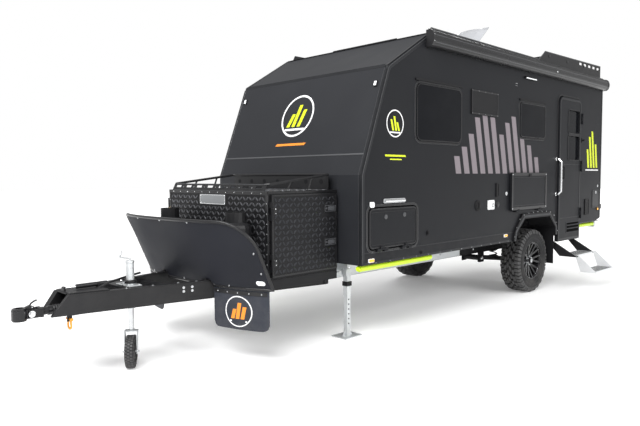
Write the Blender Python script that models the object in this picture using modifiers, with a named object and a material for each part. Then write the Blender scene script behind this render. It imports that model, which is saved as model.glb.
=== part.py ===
"""Hybrid caravan: off-road single-axle caravan on its own wheels, jockey wheel and front steady legs.

Blender 4.5, metres, +Z up, +X towards the coupling, +Y to the kerb side with the entry door.
The model is built about a point on the ground under the axle. The root empty then moves it so that
the world origin is on the ground under the middle of its overall box.
"""
import math

import bmesh
import bpy
from mathutils import Matrix, Vector

# Clearances and overruns shared by every piece
FIT = 0.0003
RUN = 0.005
OVER = 0.02
LAP = 0.004
FLAT_ANGLE = math.radians(0.5)

# Body shell
HALF_W = 1.03
WALL = 0.035
FRONT_X = 3.347
REAR_X = -2.056
SKIRT_Z = 0.70
NOSE_Z = 1.49
LEAN_X = 2.984
LEAN_Z = 2.468
ROOF_FRONT_X = 2.349
ROOF_Z = 2.85
SEAM_Z = 1.668
SEAM_GAP = 0.003
REAR_SKIRT_Z = 0.805
TAIL_Z = 0.84
TAIL_RUN = 0.20
EDGE_ROUND = 0.018
FLOOR_Z = 0.80
FLOOR_THICK = 0.03

# Running gear
AXLE_Z = 0.40
TYRE_R = 0.400
TYRE_W = 0.265
TYRE_OUT_Y = 0.99
RIM_R = 0.216
HUB_R = 0.045

# Openings in the left wall, as x front, x rear, z low, z high
DOOR_FRONT_X = -0.552
DOOR_REAR_X = -1.248
DOOR_LOW_Z = 0.60
DOOR_TOP_Z = 2.505
DOOR_ROUND = 0.09
DOOR_GAP = 0.008


def start_clean():
    """Remove whatever the scene starts with."""
    for ob in list(bpy.data.objects):
        bpy.data.objects.remove(ob, do_unlink=True)


start_clean()
PARTS = bpy.data.collections.new("hybrid_caravan")
GUIDES = bpy.data.collections.new("cutters_and_joined_pieces")
bpy.context.scene.collection.children.link(PARTS)
bpy.context.scene.collection.children.link(GUIDES)
ROOT = bpy.data.objects.new("caravan_origin", None)
PARTS.objects.link(ROOT)


def material(name, colour, rough, metal=0.0):
    """A Principled material of one colour."""
    mat = bpy.data.materials.new(name)
    mat.use_nodes = True
    shader = mat.node_tree.nodes["Principled BSDF"]
    shader.inputs["Base Color"].default_value = (*colour, 1.0)
    shader.inputs["Roughness"].default_value = rough
    shader.inputs["Metallic"].default_value = metal
    mat.diffuse_color = (*colour, 1.0)
    return mat


CHARCOAL = material("charcoal_skin", (0.030, 0.032, 0.036), 0.42)
BLACK = material("black_coat", (0.012, 0.012, 0.013), 0.45, 0.3)
CHEQUER = material("black_chequer_plate", (0.015, 0.015, 0.016), 0.35, 0.8)
GALV = material("galvanised_steel", (0.55, 0.57, 0.58), 0.45, 0.9)
CHROME = material("chrome", (0.75, 0.75, 0.76), 0.12, 1.0)
RUBBER = material("tyre_rubber", (0.020, 0.020, 0.020), 0.85)
FLAP = material("flap_rubber", (0.030, 0.034, 0.045), 0.6)
ALLOY = material("black_alloy", (0.02, 0.02, 0.021), 0.3, 0.8)
GLASS = material("tinted_acrylic", (0.02, 0.022, 0.026), 0.08)
YELLOW = material("signal_yellow", (0.75, 0.90, 0.05), 0.4)
ORANGE = material("orange_coat", (0.95, 0.42, 0.03), 0.4)
WHITE = material("white_plastic", (0.85, 0.86, 0.87), 0.4)
PLY = material("interior_board", (0.42, 0.36, 0.30), 0.6)
SHEET = material("guard_sheet", (0.045, 0.048, 0.055), 0.5)


def finish(bm):
    """Weld, turn the faces outwards and return the mesh."""
    bmesh.ops.remove_doubles(bm, verts=bm.verts, dist=0.00001)
    bmesh.ops.recalc_face_normals(bm, faces=bm.faces)
    mesh = bpy.data.meshes.new("shape")
    bm.to_mesh(mesh)
    bm.free()
    return mesh


def block(low, high):
    """A box between two corners."""
    low, high = Vector(low), Vector(high)
    bm = bmesh.new()
    bmesh.ops.create_cube(bm, size=1)
    bmesh.ops.scale(bm, vec=high - low, verts=bm.verts)
    bmesh.ops.translate(bm, vec=(low + high) / 2, verts=bm.verts)
    return finish(bm)


def rod(start, end, radius, sides=16, end_radius=None):
    """A cylinder or cone between two points."""
    start, end = Vector(start), Vector(end)
    bm = bmesh.new()
    tip = radius if end_radius is None else end_radius
    bmesh.ops.create_cone(bm, cap_ends=True, segments=sides, radius1=radius, radius2=tip,
                          depth=(end - start).length)
    turn = (end - start).to_track_quat("Z", "Y").to_matrix().to_4x4()
    bm.transform(Matrix.Translation((start + end) / 2) @ turn)
    return finish(bm)


def evaluated(data, modifiers=()):
    """The mesh that a curve or a mesh with modifiers gives, welded and facing out."""
    ob = bpy.data.objects.new("shape", data)
    bpy.context.scene.collection.objects.link(ob)
    for kind, settings in modifiers:
        mod = ob.modifiers.new(kind, kind)
        for key, value in settings.items():
            setattr(mod, key, value)
    bpy.context.view_layer.update()
    shape = bpy.data.meshes.new_from_object(ob.evaluated_get(bpy.context.evaluated_depsgraph_get()))
    bpy.data.objects.remove(ob, do_unlink=True)
    bm = bmesh.new()
    bm.from_mesh(shape)
    return finish(bm)


TO_PLANE = {
    "X": Matrix(((0, 0, 1, 0), (1, 0, 0, 0), (0, 1, 0, 0), (0, 0, 0, 1))),
    "Y": Matrix(((1, 0, 0, 0), (0, 0, 1, 0), (0, 1, 0, 0), (0, 0, 0, 1))),
    "Z": Matrix.Identity(4),
}


def plate(outline, low, high, axis):
    """A flat outline given its thickness from low to high along an axis."""
    curve = bpy.data.curves.new("outline", "CURVE")
    curve.dimensions = "2D"
    curve.fill_mode = "BOTH"
    curve.extrude = (high - low) / 2
    spline = curve.splines.new("POLY")
    spline.points.add(len(outline) - 1)
    for point, (a, b) in zip(spline.points, outline):
        point.co = (a, b, 0, 1)
    spline.use_cyclic_u = True
    bm = bmesh.new()
    bm.from_mesh(evaluated(curve))
    bmesh.ops.dissolve_limit(bm, angle_limit=FLAT_ANGLE, verts=bm.verts, edges=bm.edges)
    bm.transform(TO_PLANE[axis] @ Matrix.Translation((0, 0, (low + high) / 2)))
    return finish(bm)


def tube(points, radius, closed=False, smooth=2):
    """A round bar through points."""
    curve = bpy.data.curves.new("path", "CURVE")
    curve.dimensions = "3D"
    curve.bevel_depth = radius
    curve.bevel_resolution = smooth
    curve.use_fill_caps = True
    spline = curve.splines.new("POLY")
    spline.points.add(len(points) - 1)
    for point, place in zip(spline.points, points):
        point.co = (*place, 1)
    spline.use_cyclic_u = closed
    return evaluated(curve)


def turned(profile, steps=32, axis="Z"):
    """A profile of radius and height turned about an axis through zero."""
    bm = bmesh.new()
    verts = [bm.verts.new((radius, 0, height)) for radius, height in profile]
    for a, b in zip(verts, verts[1:]):
        bm.edges.new((a, b))
    if profile[0][0] and profile[-1][0]:
        bm.edges.new((verts[-1], verts[0]))
    mesh = bpy.data.meshes.new("profile")
    bm.to_mesh(mesh)
    bm.free()
    screw = {"steps": steps, "render_steps": steps, "use_merge_vertices": True,
             "merge_threshold": 0.00001, "use_smooth_shade": True}
    shape = evaluated(mesh, [("SCREW", screw)])
    if axis == "Y":
        shape.transform(Matrix.Rotation(-math.pi / 2, 4, "X"))
    if axis == "X":
        shape.transform(Matrix.Rotation(math.pi / 2, 4, "Y"))
    return shape


def moved(mesh, by):
    """The mesh shifted by a vector."""
    mesh.transform(Matrix.Translation(by))
    return mesh


def mirrored(mesh):
    """A copy of the mesh for the other side of the caravan."""
    other = mesh.copy()
    other.transform(Matrix.Scale(-1, 4, (0, 1, 0)))
    other.flip_normals()
    return other


def rounded(a0, a1, b0, b1, radius, steps=3):
    """The outline of a rectangle with round corners."""
    points = []
    for turn, (a, b) in enumerate(((a1, b1), (a0, b1), (a0, b0), (a1, b0))):
        ca = a - math.copysign(radius, a - (a0 + a1) / 2)
        cb = b - math.copysign(radius, b - (b0 + b1) / 2)
        for step in range(steps + 1):
            angle = math.pi / 2 * (turn + step / steps)
            points.append((ca + radius * math.cos(angle), cb + radius * math.sin(angle)))
    return points


def offset_path(path, depth):
    """The path of points moved sideways to its left by a depth, with mitred corners."""
    out = []
    for i, point in enumerate(path):
        here = Vector(point)
        before = (here - Vector(path[i - 1])).normalized() if i else None
        after = (Vector(path[i + 1]) - here).normalized() if i + 1 < len(path) else None
        first = before or after
        last = after or before
        normal = Vector((-first.y - last.y, first.x + last.x)).normalized()
        out.append(tuple(here + normal * depth / normal.dot(Vector((-first.y, first.x)))))
    return out


def strip(path, depth):
    """A closed outline as deep as a panel, whose outer face follows the path."""
    return list(path) + offset_path(path, depth)[::-1]


def piece(name, mesh, mat, pivot=(0, 0, 0), smooth=False):
    """A named sub-part, with its origin on the axis that it moves about."""
    mesh.transform(Matrix.Translation(-Vector(pivot)))
    mesh.name = name
    mesh.materials.clear()
    mesh.materials.append(mat)
    ob = bpy.data.objects.new(name, mesh)
    PARTS.objects.link(ob)
    ob.parent = ROOT
    ob.location = pivot
    if smooth:
        mesh.shade_smooth()
        mesh.set_sharp_from_angle(angle=math.radians(35))
    return ob


def combine(ob, meshes, operation, parent=None):
    """Join meshes to a piece, or cut them out of it."""
    for mesh in meshes:
        guide = bpy.data.objects.new(ob.name + "_" + operation.lower(), mesh)
        GUIDES.objects.link(guide)
        guide.parent = parent or ROOT
        guide.hide_render = True
        guide.display_type = "WIRE"
        mod = ob.modifiers.new(operation.title(), "BOOLEAN")
        mod.operation = operation
        mod.object = guide
        mod.solver = "EXACT"
    return ob


def join(ob, *meshes):
    """Fuse meshes into a piece."""
    return combine(ob, meshes, "UNION")


def cut(ob, *meshes):
    """Cut meshes out of a piece."""
    return combine(ob, meshes, "DIFFERENCE")


def join_own(ob, *meshes):
    """Fuse meshes that are given in the piece's own coordinates."""
    return combine(ob, meshes, "UNION", ob)


def both_sides(mesh):
    """The mesh and its mirror image."""
    return [mesh, mirrored(mesh)]


# Hinges: knuckles of one barrel, the middle one on the leaf and the outer ones on the frame
KNUCKLE_R = 0.008
KNUCKLE_LEN = 0.05
KNUCKLE_GAP = 0.0005
KNUCKLE_SIDES = 6
HINGE_OFF = 0.015
HINGE_TRIM = 0.9


def add_hinge(leaf, frame, at, along, to_leaf, to_frame):
    """Fuse an L-shaped knuckle to the leaf and two to the frame."""
    at, along = Vector(at), Vector(along)
    pitch = KNUCKLE_LEN + KNUCKLE_GAP
    half = along * KNUCKLE_LEN / 2
    for ob, spots, reach in ((leaf, (0,), to_leaf), (frame, (-pitch, pitch), to_frame)):
        for spot in spots:
            mid = at + along * spot
            join(ob, rod(mid - half, mid + half, KNUCKLE_R, KNUCKLE_SIDES))
            corners = [mid - half * HINGE_TRIM, mid + half * HINGE_TRIM + Vector(reach)]
            low = [min(pair) for pair in zip(*corners)]
            high = [max(pair) for pair in zip(*corners)]
            join(ob, block(low, high))


# Body panels
PROFILE = [
    (FRONT_X, SKIRT_Z), (FRONT_X, NOSE_Z), (LEAN_X, LEAN_Z), (ROOF_FRONT_X, ROOF_Z),
    (REAR_X, ROOF_Z), (REAR_X, TAIL_Z), (REAR_X + TAIL_RUN, REAR_SKIRT_Z),
    (DOOR_REAR_X - WALL, REAR_SKIRT_Z), (DOOR_REAR_X - WALL, SKIRT_Z),
]
INSIDE_Y = HALF_W - WALL

# Wheel arch corners, as distances ahead of and behind the axle, and heights
ARCH_LOW_FRONT = 0.600
ARCH_LOW_REAR = 0.485
ARCH_MID_Z = 0.806
ARCH_MID_FRONT = 0.575
ARCH_MID_REAR = 0.478
ARCH_TOP_Z = 0.965
ARCH_TOP_FRONT = 0.385
ARCH_TOP_REAR = 0.305
BOX_IN_Y = 0.69
BOX_WALL = 0.02


def arch(grow=0.0, below=OVER):
    """The wheel arch's outline, made larger all round and carried on below the skirt."""
    front = [(ARCH_LOW_FRONT + grow, SKIRT_Z), (ARCH_MID_FRONT + grow, ARCH_MID_Z),
             (ARCH_TOP_FRONT + grow, ARCH_TOP_Z + grow)]
    rear = [(-ARCH_TOP_REAR - grow, ARCH_TOP_Z + grow), (-ARCH_MID_REAR - grow, ARCH_MID_Z),
            (-ARCH_LOW_REAR - grow, SKIRT_Z)]
    drop = [(-ARCH_LOW_REAR - grow, SKIRT_Z - below), (ARCH_LOW_FRONT + grow, SKIRT_Z - below)]
    return front + rear + (drop if below else [])


# Windows and hatches, as x rear, x front, z low, z high and corner radius
WINDOW_FRONT = (1.790, 2.567, 1.810, 2.360, 0.07)
WINDOW_REAR = (-0.150, 0.514, 1.930, 2.345, 0.05)
WINDOW_RIGHT_REAR = (-1.450, -0.450, 1.860, 2.360, 0.07)
PANE_PROUD = 0.012
HATCH = (2.553, 3.250, 0.832, 1.195, 0.05)
HATCH_PROUD = 0.006
HATCH_GAP = 0.0095
HATCH_HINGE_X = (2.72, 3.08)
TABLE = (-0.171, 0.736, 1.067, 1.510, 0.012)
TABLE_THICK = 0.025
TABLE_HINGE_X = (0.0, 0.56)
DOOR_PROUD = 0.020
DOOR_DEPTH = 0.045
DOOR_HINGE_Z = (0.95, 1.60, 2.25)


def grown(rect, by):
    """The same rectangle outline made larger or smaller all round."""
    x0, x1, z0, z1, radius = rect
    return rounded(x0 - by, x1 + by, z0 - by, z1 + by, radius + by)


def door_outline(by=0.0, low=DOOR_LOW_Z):
    """The entry door's outline, round at its upper corners."""
    top = rounded(DOOR_REAR_X - by, DOOR_FRONT_X + by, low, DOOR_TOP_Z + by, DOOR_ROUND + by)
    half = len(top) // 2
    return top[:half] + [(DOOR_REAR_X - by, low), (DOOR_FRONT_X + by, low)]


def side_wall(name, sign, windows, extras):
    """One side wall as thick as the real panel, with its openings cut."""
    low, high = INSIDE_Y, HALF_W
    mesh = plate(PROFILE, low, high, "Y")
    bm = bmesh.new()
    bm.from_mesh(mesh)
    outer = [e for e in bm.edges if all(v.co.y > HALF_W - FIT for v in e.verts)
             and all(v.co.z > TAIL_Z - FIT for v in e.verts)]
    bmesh.ops.bevel(bm, geom=outer, offset=EDGE_ROUND, segments=2, profile=0.5, affect="EDGES")
    wall = piece(name, finish(bm), CHARCOAL)
    if sign < 0:
        wall.data.transform(Matrix.Scale(-1, 4, (0, 1, 0)))
        wall.data.flip_normals()
    cutters = [plate(arch(), low - OVER, high + OVER, "Y"),
               plate(grown(HATCH, HATCH_GAP), low - OVER, high + OVER, "Y")]
    cutters += [plate(grown(rect, FIT), low - OVER, high + OVER, "Y") for rect in windows]
    cutters += extras
    if sign < 0:
        cutters = [mirrored(mesh) for mesh in cutters]
    return cut(wall, *cutters)


def build_walls():
    """Both side walls with the panes in their windows."""
    door = plate(door_outline(DOOR_GAP, SKIRT_Z - OVER), INSIDE_Y - OVER, HALF_W + OVER, "Y")
    left = side_wall("wall_left", 1, (WINDOW_FRONT, WINDOW_REAR), [door])
    right = side_wall("wall_right", -1, (WINDOW_FRONT, WINDOW_RIGHT_REAR), [])
    panes = (("window_left_front", WINDOW_FRONT, 1), ("window_left_rear", WINDOW_REAR, 1),
             ("window_right_front", WINDOW_FRONT, -1), ("window_right_rear", WINDOW_RIGHT_REAR, -1))
    for name, rect, sign in panes:
        mesh = plate(grown(rect, 0), INSIDE_Y + PANE_PROUD, HALF_W + PANE_PROUD, "Y")
        piece(name, mesh if sign > 0 else mirrored(mesh), GLASS)
    return left, right


def build_panels():
    """Front, roof and rear panels between the side walls."""
    lean = Vector((LEAN_X - FRONT_X, LEAN_Z - NOSE_Z))
    seam = Vector((FRONT_X, NOSE_Z)) + lean * (SEAM_Z - NOSE_Z) / lean.y
    above = seam + lean.normalized() * SEAM_GAP
    span = INSIDE_Y - FIT
    lower = plate(strip([(FRONT_X, SKIRT_Z), (FRONT_X, NOSE_Z), tuple(seam)], WALL), -span, span, "Y")
    piece("front_lower_panel", lower, CHARCOAL)
    roof_break = (ROOF_FRONT_X - WALL, ROOF_Z)
    upper = plate(strip([tuple(above), (LEAN_X, LEAN_Z), (ROOF_FRONT_X, ROOF_Z), roof_break], WALL),
                  -span, span, "Y")
    piece("front_upper_panel", upper, CHARCOAL)
    roof = piece("roof_panel", block((REAR_X, -span, ROOF_Z - WALL), (roof_break[0] - FIT, span, ROOF_Z)),
                 CHARCOAL)
    vent_low = (VENT_X - VENT_HALF, VENT_Y - VENT_HALF, ROOF_Z - WALL - OVER)
    vent_high = (VENT_X + VENT_HALF, VENT_Y + VENT_HALF, ROOF_Z + OVER)
    cut(roof, block(vent_low, vent_high))
    rear = block((REAR_X, -span, TAIL_Z), (REAR_X + WALL, span, ROOF_Z - WALL - FIT))
    piece("rear_panel", rear, CHARCOAL)


def build_floor():
    """The floor with a wheel box at each side."""
    front = FRONT_X - WALL - FIT
    rear = REAR_X + WALL + FIT
    span = INSIDE_Y - FIT
    floor = piece("floor_pan", block((rear, -span, FLOOR_Z), (front, span, FLOOR_Z + FLOOR_THICK)), PLY)
    for sign in (1, -1):
        outer = plate(arch(BOX_WALL, 0)[1:-1], BOX_IN_Y - BOX_WALL, span - FIT, "Y")
        inner = plate(arch(), BOX_IN_Y, HALF_W, "Y")
        if sign < 0:
            outer, inner = mirrored(outer), mirrored(inner)
        join(floor, outer)
        cut(floor, inner)


# Wheel arch trims with the rear mud flaps
TRIM_PROUD = 0.024
TRIM_BAND = 0.05
TRIM_LIP = 0.012
REAR_FLAP_X = -0.467
REAR_FLAP_THICK = 0.008
REAR_FLAP_LOW_Z = 0.32
REAR_FLAP_IN_Y = 0.75


def build_arch_trims():
    """Arch trims that stand proud of the walls, each with its lip and mud flap."""
    for name, sign in (("arch_trim_left", 1), ("arch_trim_right", -1)):
        band = plate(arch(TRIM_BAND, 0), HALF_W + FIT, HALF_W + TRIM_PROUD, "Y")
        lip = plate(arch(-FIT, 0), INSIDE_Y, HALF_W + TRIM_PROUD / 2, "Y")
        hole = plate(arch(-TRIM_LIP), INSIDE_Y - OVER, HALF_W + TRIM_PROUD + OVER, "Y")
        flap = block((REAR_FLAP_X - REAR_FLAP_THICK, REAR_FLAP_IN_Y, REAR_FLAP_LOW_Z),
                     (REAR_FLAP_X, HALF_W - FIT, ARCH_MID_Z - LAP))
        if sign < 0:
            band, lip, hole, flap = (mirrored(mesh) for mesh in (band, lip, hole, flap))
        trim = piece(name, band, FLAP)
        join(trim, lip)
        cut(trim, hole)
        join(trim, flap)


# Entry door
DOOR_PANE = (-1.185, -0.822, 1.685, 2.345, 0.03)
PANE_LAP = 0.015
DOOR_BAR_LOW_Z = 2.003
DOOR_BAR_HIGH_Z = 2.043
DOOR_GRILLE = (-1.222, -0.819, 0.710, 0.845)
DOOR_SLATS = 3
LOCK_X = -0.645
LOCK_LOW_Z = 1.42
LOCK_HIGH_Z = 1.60
DOOR_AXIS_X = DOOR_REAR_X - 0.004
DOOR_AXIS_Y = HALF_W + DOOR_PROUD + HINGE_OFF


def build_entry_door(wall):
    """The entry door, hinged at its rear edge, with its pane and its handle."""
    outer = HALF_W + DOOR_PROUD
    inner = outer - DOOR_DEPTH
    pivot = (DOOR_AXIS_X, DOOR_AXIS_Y, 0)
    door = piece("entry_door", plate(door_outline(), inner, outer, "Y"), CHARCOAL, pivot)
    x0, x1, z0, z1, radius = DOOR_PANE
    upper = (x0, x1, DOOR_BAR_HIGH_Z, z1, radius)
    lower = (x0, x1, z0, DOOR_BAR_LOW_Z, radius)
    seat = outer - DOOR_DEPTH / 2
    rebate = (x0 - PANE_LAP, x1 + PANE_LAP, z0 - PANE_LAP, z1 + PANE_LAP, radius)
    cut(door, plate(grown(rebate, FIT), inner - OVER, seat, "Y"),
        plate(grown(upper, 0), inner, outer + OVER, "Y"), plate(grown(lower, 0), inner, outer + OVER, "Y"))
    piece("door_window", plate(grown(rebate, 0), inner + LAP, seat - FIT, "Y"), GLASS, pivot)
    gx0, gx1, gz0, gz1 = DOOR_GRILLE
    pitch = (gz1 - gz0) / DOOR_SLATS
    for slat in range(DOOR_SLATS):
        low = gz0 + pitch * slat
        cut(door, block((gx0, outer - LAP * 2, low), (gx1, outer + OVER, low + pitch * 0.7)))
    handle = [(LOCK_X - OVER, outer - LAP, LOCK_LOW_Z), (LOCK_X, outer + OVER * 1.5, LOCK_LOW_Z + OVER),
              (LOCK_X, outer + OVER * 1.5, LOCK_HIGH_Z - OVER), (LOCK_X + OVER, outer - LAP, LOCK_HIGH_Z)]
    join(door, tube(handle, LAP * 2))
    for z in DOOR_HINGE_Z:
        to_leaf = (KNUCKLE_R * 3, -HINGE_OFF - LAP, 0)
        to_frame = (-KNUCKLE_R * 3, -HINGE_OFF - DOOR_PROUD - LAP, 0)
        add_hinge(door, wall, (DOOR_AXIS_X, DOOR_AXIS_Y, z), (0, 0, 1), to_leaf, to_frame)


# Grab handle beside the door
GRAB_X = -0.500
GRAB_LOW_Z = 1.231
GRAB_HIGH_Z = 1.687
GRAB_OUT = 0.075
GRAB_R = 0.014
GRAB_FOOT_R = 0.024


def build_grab_handle():
    """A bent tube on two round feet."""
    y = HALF_W + FIT
    out = HALF_W + GRAB_OUT
    bend = GRAB_OUT / 2
    path = [(GRAB_X, y + LAP, GRAB_LOW_Z), (GRAB_X, out - bend, GRAB_LOW_Z),
            (GRAB_X, out, GRAB_LOW_Z + bend), (GRAB_X, out, GRAB_HIGH_Z - bend),
            (GRAB_X, out - bend, GRAB_HIGH_Z), (GRAB_X, y + LAP, GRAB_HIGH_Z)]
    handle = piece("grab_handle", tube(path, GRAB_R), CHROME, smooth=True)
    for z in (GRAB_LOW_Z, GRAB_HIGH_Z):
        join(handle, rod((GRAB_X, y, z), (GRAB_X, y + LAP * 2, z), GRAB_FOOT_R))


def build_hatches(walls):
    """A boot hatch in each wall, hinged along its lower edge."""
    axis_y = HALF_W + HATCH_PROUD + HINGE_OFF
    axis_z = HATCH[2] - LAP
    for name, sign, wall in (("boot_hatch_left", 1, walls[0]), ("boot_hatch_right", -1, walls[1])):
        mesh = plate(grown(HATCH, 0), INSIDE_Y + RUN, HALF_W + HATCH_PROUD, "Y")
        mesh = mesh if sign > 0 else mirrored(mesh)
        hatch = piece(name, mesh, CHARCOAL, (0, sign * axis_y, axis_z))
        for x in HATCH_HINGE_X:
            to_leaf = (0, -sign * (HINGE_OFF + LAP), KNUCKLE_R * 3)
            to_frame = (0, -sign * (HINGE_OFF + HATCH_PROUD + LAP), -KNUCKLE_R * 3)
            add_hinge(hatch, wall, (x, sign * axis_y, axis_z), (1, 0, 0), to_leaf, to_frame)


def build_table(wall):
    """The fold-down picnic table on the left wall."""
    low = HALF_W + RUN
    high = low + TABLE_THICK
    axis_y = high + HINGE_OFF / 2
    axis_z = TABLE[2] - KNUCKLE_R - LAP
    table = piece("picnic_table", plate(grown(TABLE, 0), low, high, "Y"), BLACK, (0, axis_y, axis_z))
    for x in TABLE_HINGE_X:
        to_leaf = (0, -HINGE_OFF / 2 - LAP, KNUCKLE_R * 3)
        to_frame = (0, -HINGE_OFF / 2 - TABLE_THICK - RUN - LAP, -KNUCKLE_R)
        add_hinge(table, wall, (x, axis_y, axis_z), (1, 0, 0), to_leaf, to_frame)


# Mesh vent high on the left wall
MESH_VENT = (1.040, 1.596, 2.130, 2.390, 0.01)
MESH_PROUD = 0.012
MESH_RIM = 0.02
MESH_SLATS = 9


def build_mesh_vent():
    """A framed vent with slats, on the face of the wall."""
    vent = piece("mesh_vent", plate(grown(MESH_VENT, 0), HALF_W + FIT, HALF_W + MESH_PROUD, "Y"), BLACK)
    x0, x1, z0, z1 = MESH_VENT[:4]
    pitch = (z1 - z0 - MESH_RIM * 2) / MESH_SLATS
    for slat in range(MESH_SLATS):
        low = z0 + MESH_RIM + pitch * slat
        cut(vent, block((x0 + MESH_RIM, HALF_W + MESH_PROUD - LAP, low),
                        (x1 - MESH_RIM, HALF_W + MESH_PROUD + OVER, low + pitch / 2)))


# Awning cassette
AWNING_FRONT_X = 2.41
AWNING_LOW_Z = 2.71
AWNING_H = 0.155
AWNING_OUT = 0.090
AWNING_CAP = 0.035


def awning_outline(grow=0.0):
    """The cassette's section, round on its outer side."""
    y0 = HALF_W + FIT
    z0, z1 = AWNING_LOW_Z - grow, AWNING_LOW_Z + AWNING_H + grow
    mid = (z0 + z1) / 2
    half = (z1 - z0) / 2
    points = [(y0, z1), (y0, z0)]
    for step in range(9):
        angle = math.radians(-80 + 20 * step)
        points.append((y0 + AWNING_OUT * 0.45 + (AWNING_OUT * 0.55 + grow) * math.cos(angle),
                       mid + half * math.sin(angle)))
    return points


def build_awning():
    """The wound-in awning along the top of the left wall."""
    awning = piece("awning_cassette", plate(awning_outline(), REAR_X + AWNING_CAP / 2,
                                            AWNING_FRONT_X - AWNING_CAP / 2, "X"), BLACK)
    for x in (REAR_X, AWNING_FRONT_X - AWNING_CAP):
        join(awning, plate(awning_outline(LAP), x, x + AWNING_CAP, "X"))


# Roof rack: side plates that are low in front and high at the rear, and cross bars
RACK_INSET = 0.045
RACK_Y = HALF_W - RACK_INSET
RACK_THICK = 0.008
RACK_FRONT_X = 2.30
RACK_LOW_TOP_Z = 2.925
RACK_STEP_X = -0.072
RACK_RISE_X = -0.235
RACK_HIGH_Z = 3.046
RACK_END_Z = 3.075
RACK_SLOTS = 5
RACK_SLOT_PITCH = 0.155
RACK_SLOT_H = 0.035
RACK_BARS_X = (-0.35, -0.90, -1.45, -1.98)
RACK_BAR_R = 0.016
RACK_FOOT = 0.05


def build_roof_rack():
    """Both side plates and the cross bars that hold them together."""
    outline = [
        (RACK_FRONT_X, ROOF_Z + FIT), (RACK_FRONT_X - OVER * 2, RACK_LOW_TOP_Z),
        (RACK_STEP_X, RACK_LOW_TOP_Z), (RACK_RISE_X, RACK_HIGH_Z), (REAR_X, RACK_END_Z),
        (REAR_X, ROOF_Z + FIT),
    ]
    sides = both_sides(plate(outline, RACK_Y - RACK_THICK, RACK_Y, "Y"))
    rack = piece("roof_rack", sides[0], BLACK)
    join(rack, sides[1])
    for x in RACK_BARS_X:
        z = RACK_HIGH_Z - OVER * 2.5
        join(rack, rod((x, -RACK_Y + RACK_THICK / 2, z), (x, RACK_Y - RACK_THICK / 2, z), RACK_BAR_R, 12))
    for slot in range(RACK_SLOTS):
        x = REAR_X + RACK_FOOT + RACK_SLOT_PITCH * slot
        z = RACK_END_Z - RACK_SLOT_H * 1.5
        cut(rack, block((x, -HALF_W, z - RACK_SLOT_H / 2), (x + RACK_SLOT_PITCH * 0.6, HALF_W,
                                                            z + RACK_SLOT_H / 2)))


# Roof front fairing with three slots
FAIR_X = 2.16
FAIR_HALF_W = 0.46
FAIR_H = 0.075
FAIR_THICK = 0.012
FAIR_SLOTS = 3


def build_fairing():
    """A low fairing across the front of the roof."""
    z0 = ROOF_Z + FIT
    outline = [(FAIR_X, z0), (FAIR_X + FAIR_THICK, z0), (FAIR_X - FAIR_H / 2 + FAIR_THICK, z0 + FAIR_H),
               (FAIR_X - FAIR_H / 2, z0 + FAIR_H)]
    fairing = piece("roof_fairing", plate(outline, -FAIR_HALF_W, FAIR_HALF_W, "Y"), BLACK)
    pitch = FAIR_HALF_W * 2 / FAIR_SLOTS
    for slot in range(FAIR_SLOTS):
        y = -FAIR_HALF_W + pitch * slot
        cut(fairing, block((FAIR_X - FAIR_H, y + pitch * 0.2, z0 + FAIR_H * 0.35),
                           (FAIR_X + FAIR_H, y + pitch * 0.8, z0 + FAIR_H * 0.7)))


# Roof vent: a frame round a square opening and a domed lid that stands open
VENT_X = 0.93
VENT_Y = 0.60
VENT_HALF = 0.18
VENT_RIM = 0.035
VENT_FRAME_H = 0.045
VENT_LID_HALF = 0.200
VENT_LID_H = 0.06
VENT_OPEN = math.radians(42)


def build_roof_vent():
    """The vent's frame and its lid, which is hinged along its front edge."""
    low = ROOF_Z + FIT
    outer = VENT_HALF + VENT_RIM
    hole = rounded(VENT_X - VENT_HALF, VENT_X + VENT_HALF, VENT_Y - VENT_HALF, VENT_Y + VENT_HALF, VENT_RIM)
    rim = rounded(VENT_X - outer, VENT_X + outer, VENT_Y - outer, VENT_Y + outer, VENT_RIM)
    frame = piece("roof_vent_frame", plate(rim, low, low + VENT_FRAME_H, "Z"), WHITE)
    cut(frame, plate(hole, low - OVER, low + VENT_FRAME_H + OVER, "Z"))
    axis = Vector((VENT_X + outer + KNUCKLE_R * 2, VENT_Y, low + VENT_FRAME_H + KNUCKLE_R))
    bm = bmesh.new()
    bmesh.ops.create_grid(bm, x_segments=6, y_segments=6, size=1)
    for vert in bm.verts:
        bulge = (1 - vert.co.x ** 2) * (1 - vert.co.y ** 2)
        vert.co = (vert.co.x * VENT_LID_HALF, vert.co.y * VENT_LID_HALF, VENT_LID_H * bulge ** 0.5)
    dome = bpy.data.meshes.new("dome")
    bm.to_mesh(dome)
    bm.free()
    lid_mesh = evaluated(dome, [("SOLIDIFY", {"thickness": LAP * 2, "offset": 1})])
    lid_mesh = moved(lid_mesh, (VENT_X, VENT_Y, low + VENT_FRAME_H + RUN))
    lid = piece("roof_vent_lid", lid_mesh, WHITE, axis)
    lid.rotation_euler = (0, VENT_OPEN, 0)
    pitch = KNUCKLE_LEN + KNUCKLE_GAP
    for y in (-pitch, pitch):
        mid = axis + Vector((0, y, 0))
        half = Vector((0, KNUCKLE_LEN / 2, 0))
        join(frame, rod(mid - half, mid + half, KNUCKLE_R, KNUCKLE_SIDES))
        join(frame, block(mid + Vector((-KNUCKLE_R * 3, -KNUCKLE_LEN * 0.45, -VENT_FRAME_H + LAP)),
                          mid + Vector((0, KNUCKLE_LEN * 0.45, 0))))
    half = Vector((0, KNUCKLE_LEN / 2, 0))
    arm_low = (-KNUCKLE_R * 3 - VENT_RIM, -KNUCKLE_LEN * 0.45, 0)
    arm_high = (0, KNUCKLE_LEN * 0.45, KNUCKLE_R * 0.9)
    join_own(lid, rod(-half, half, KNUCKLE_R, KNUCKLE_SIDES), block(arm_low, arm_high))


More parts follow.
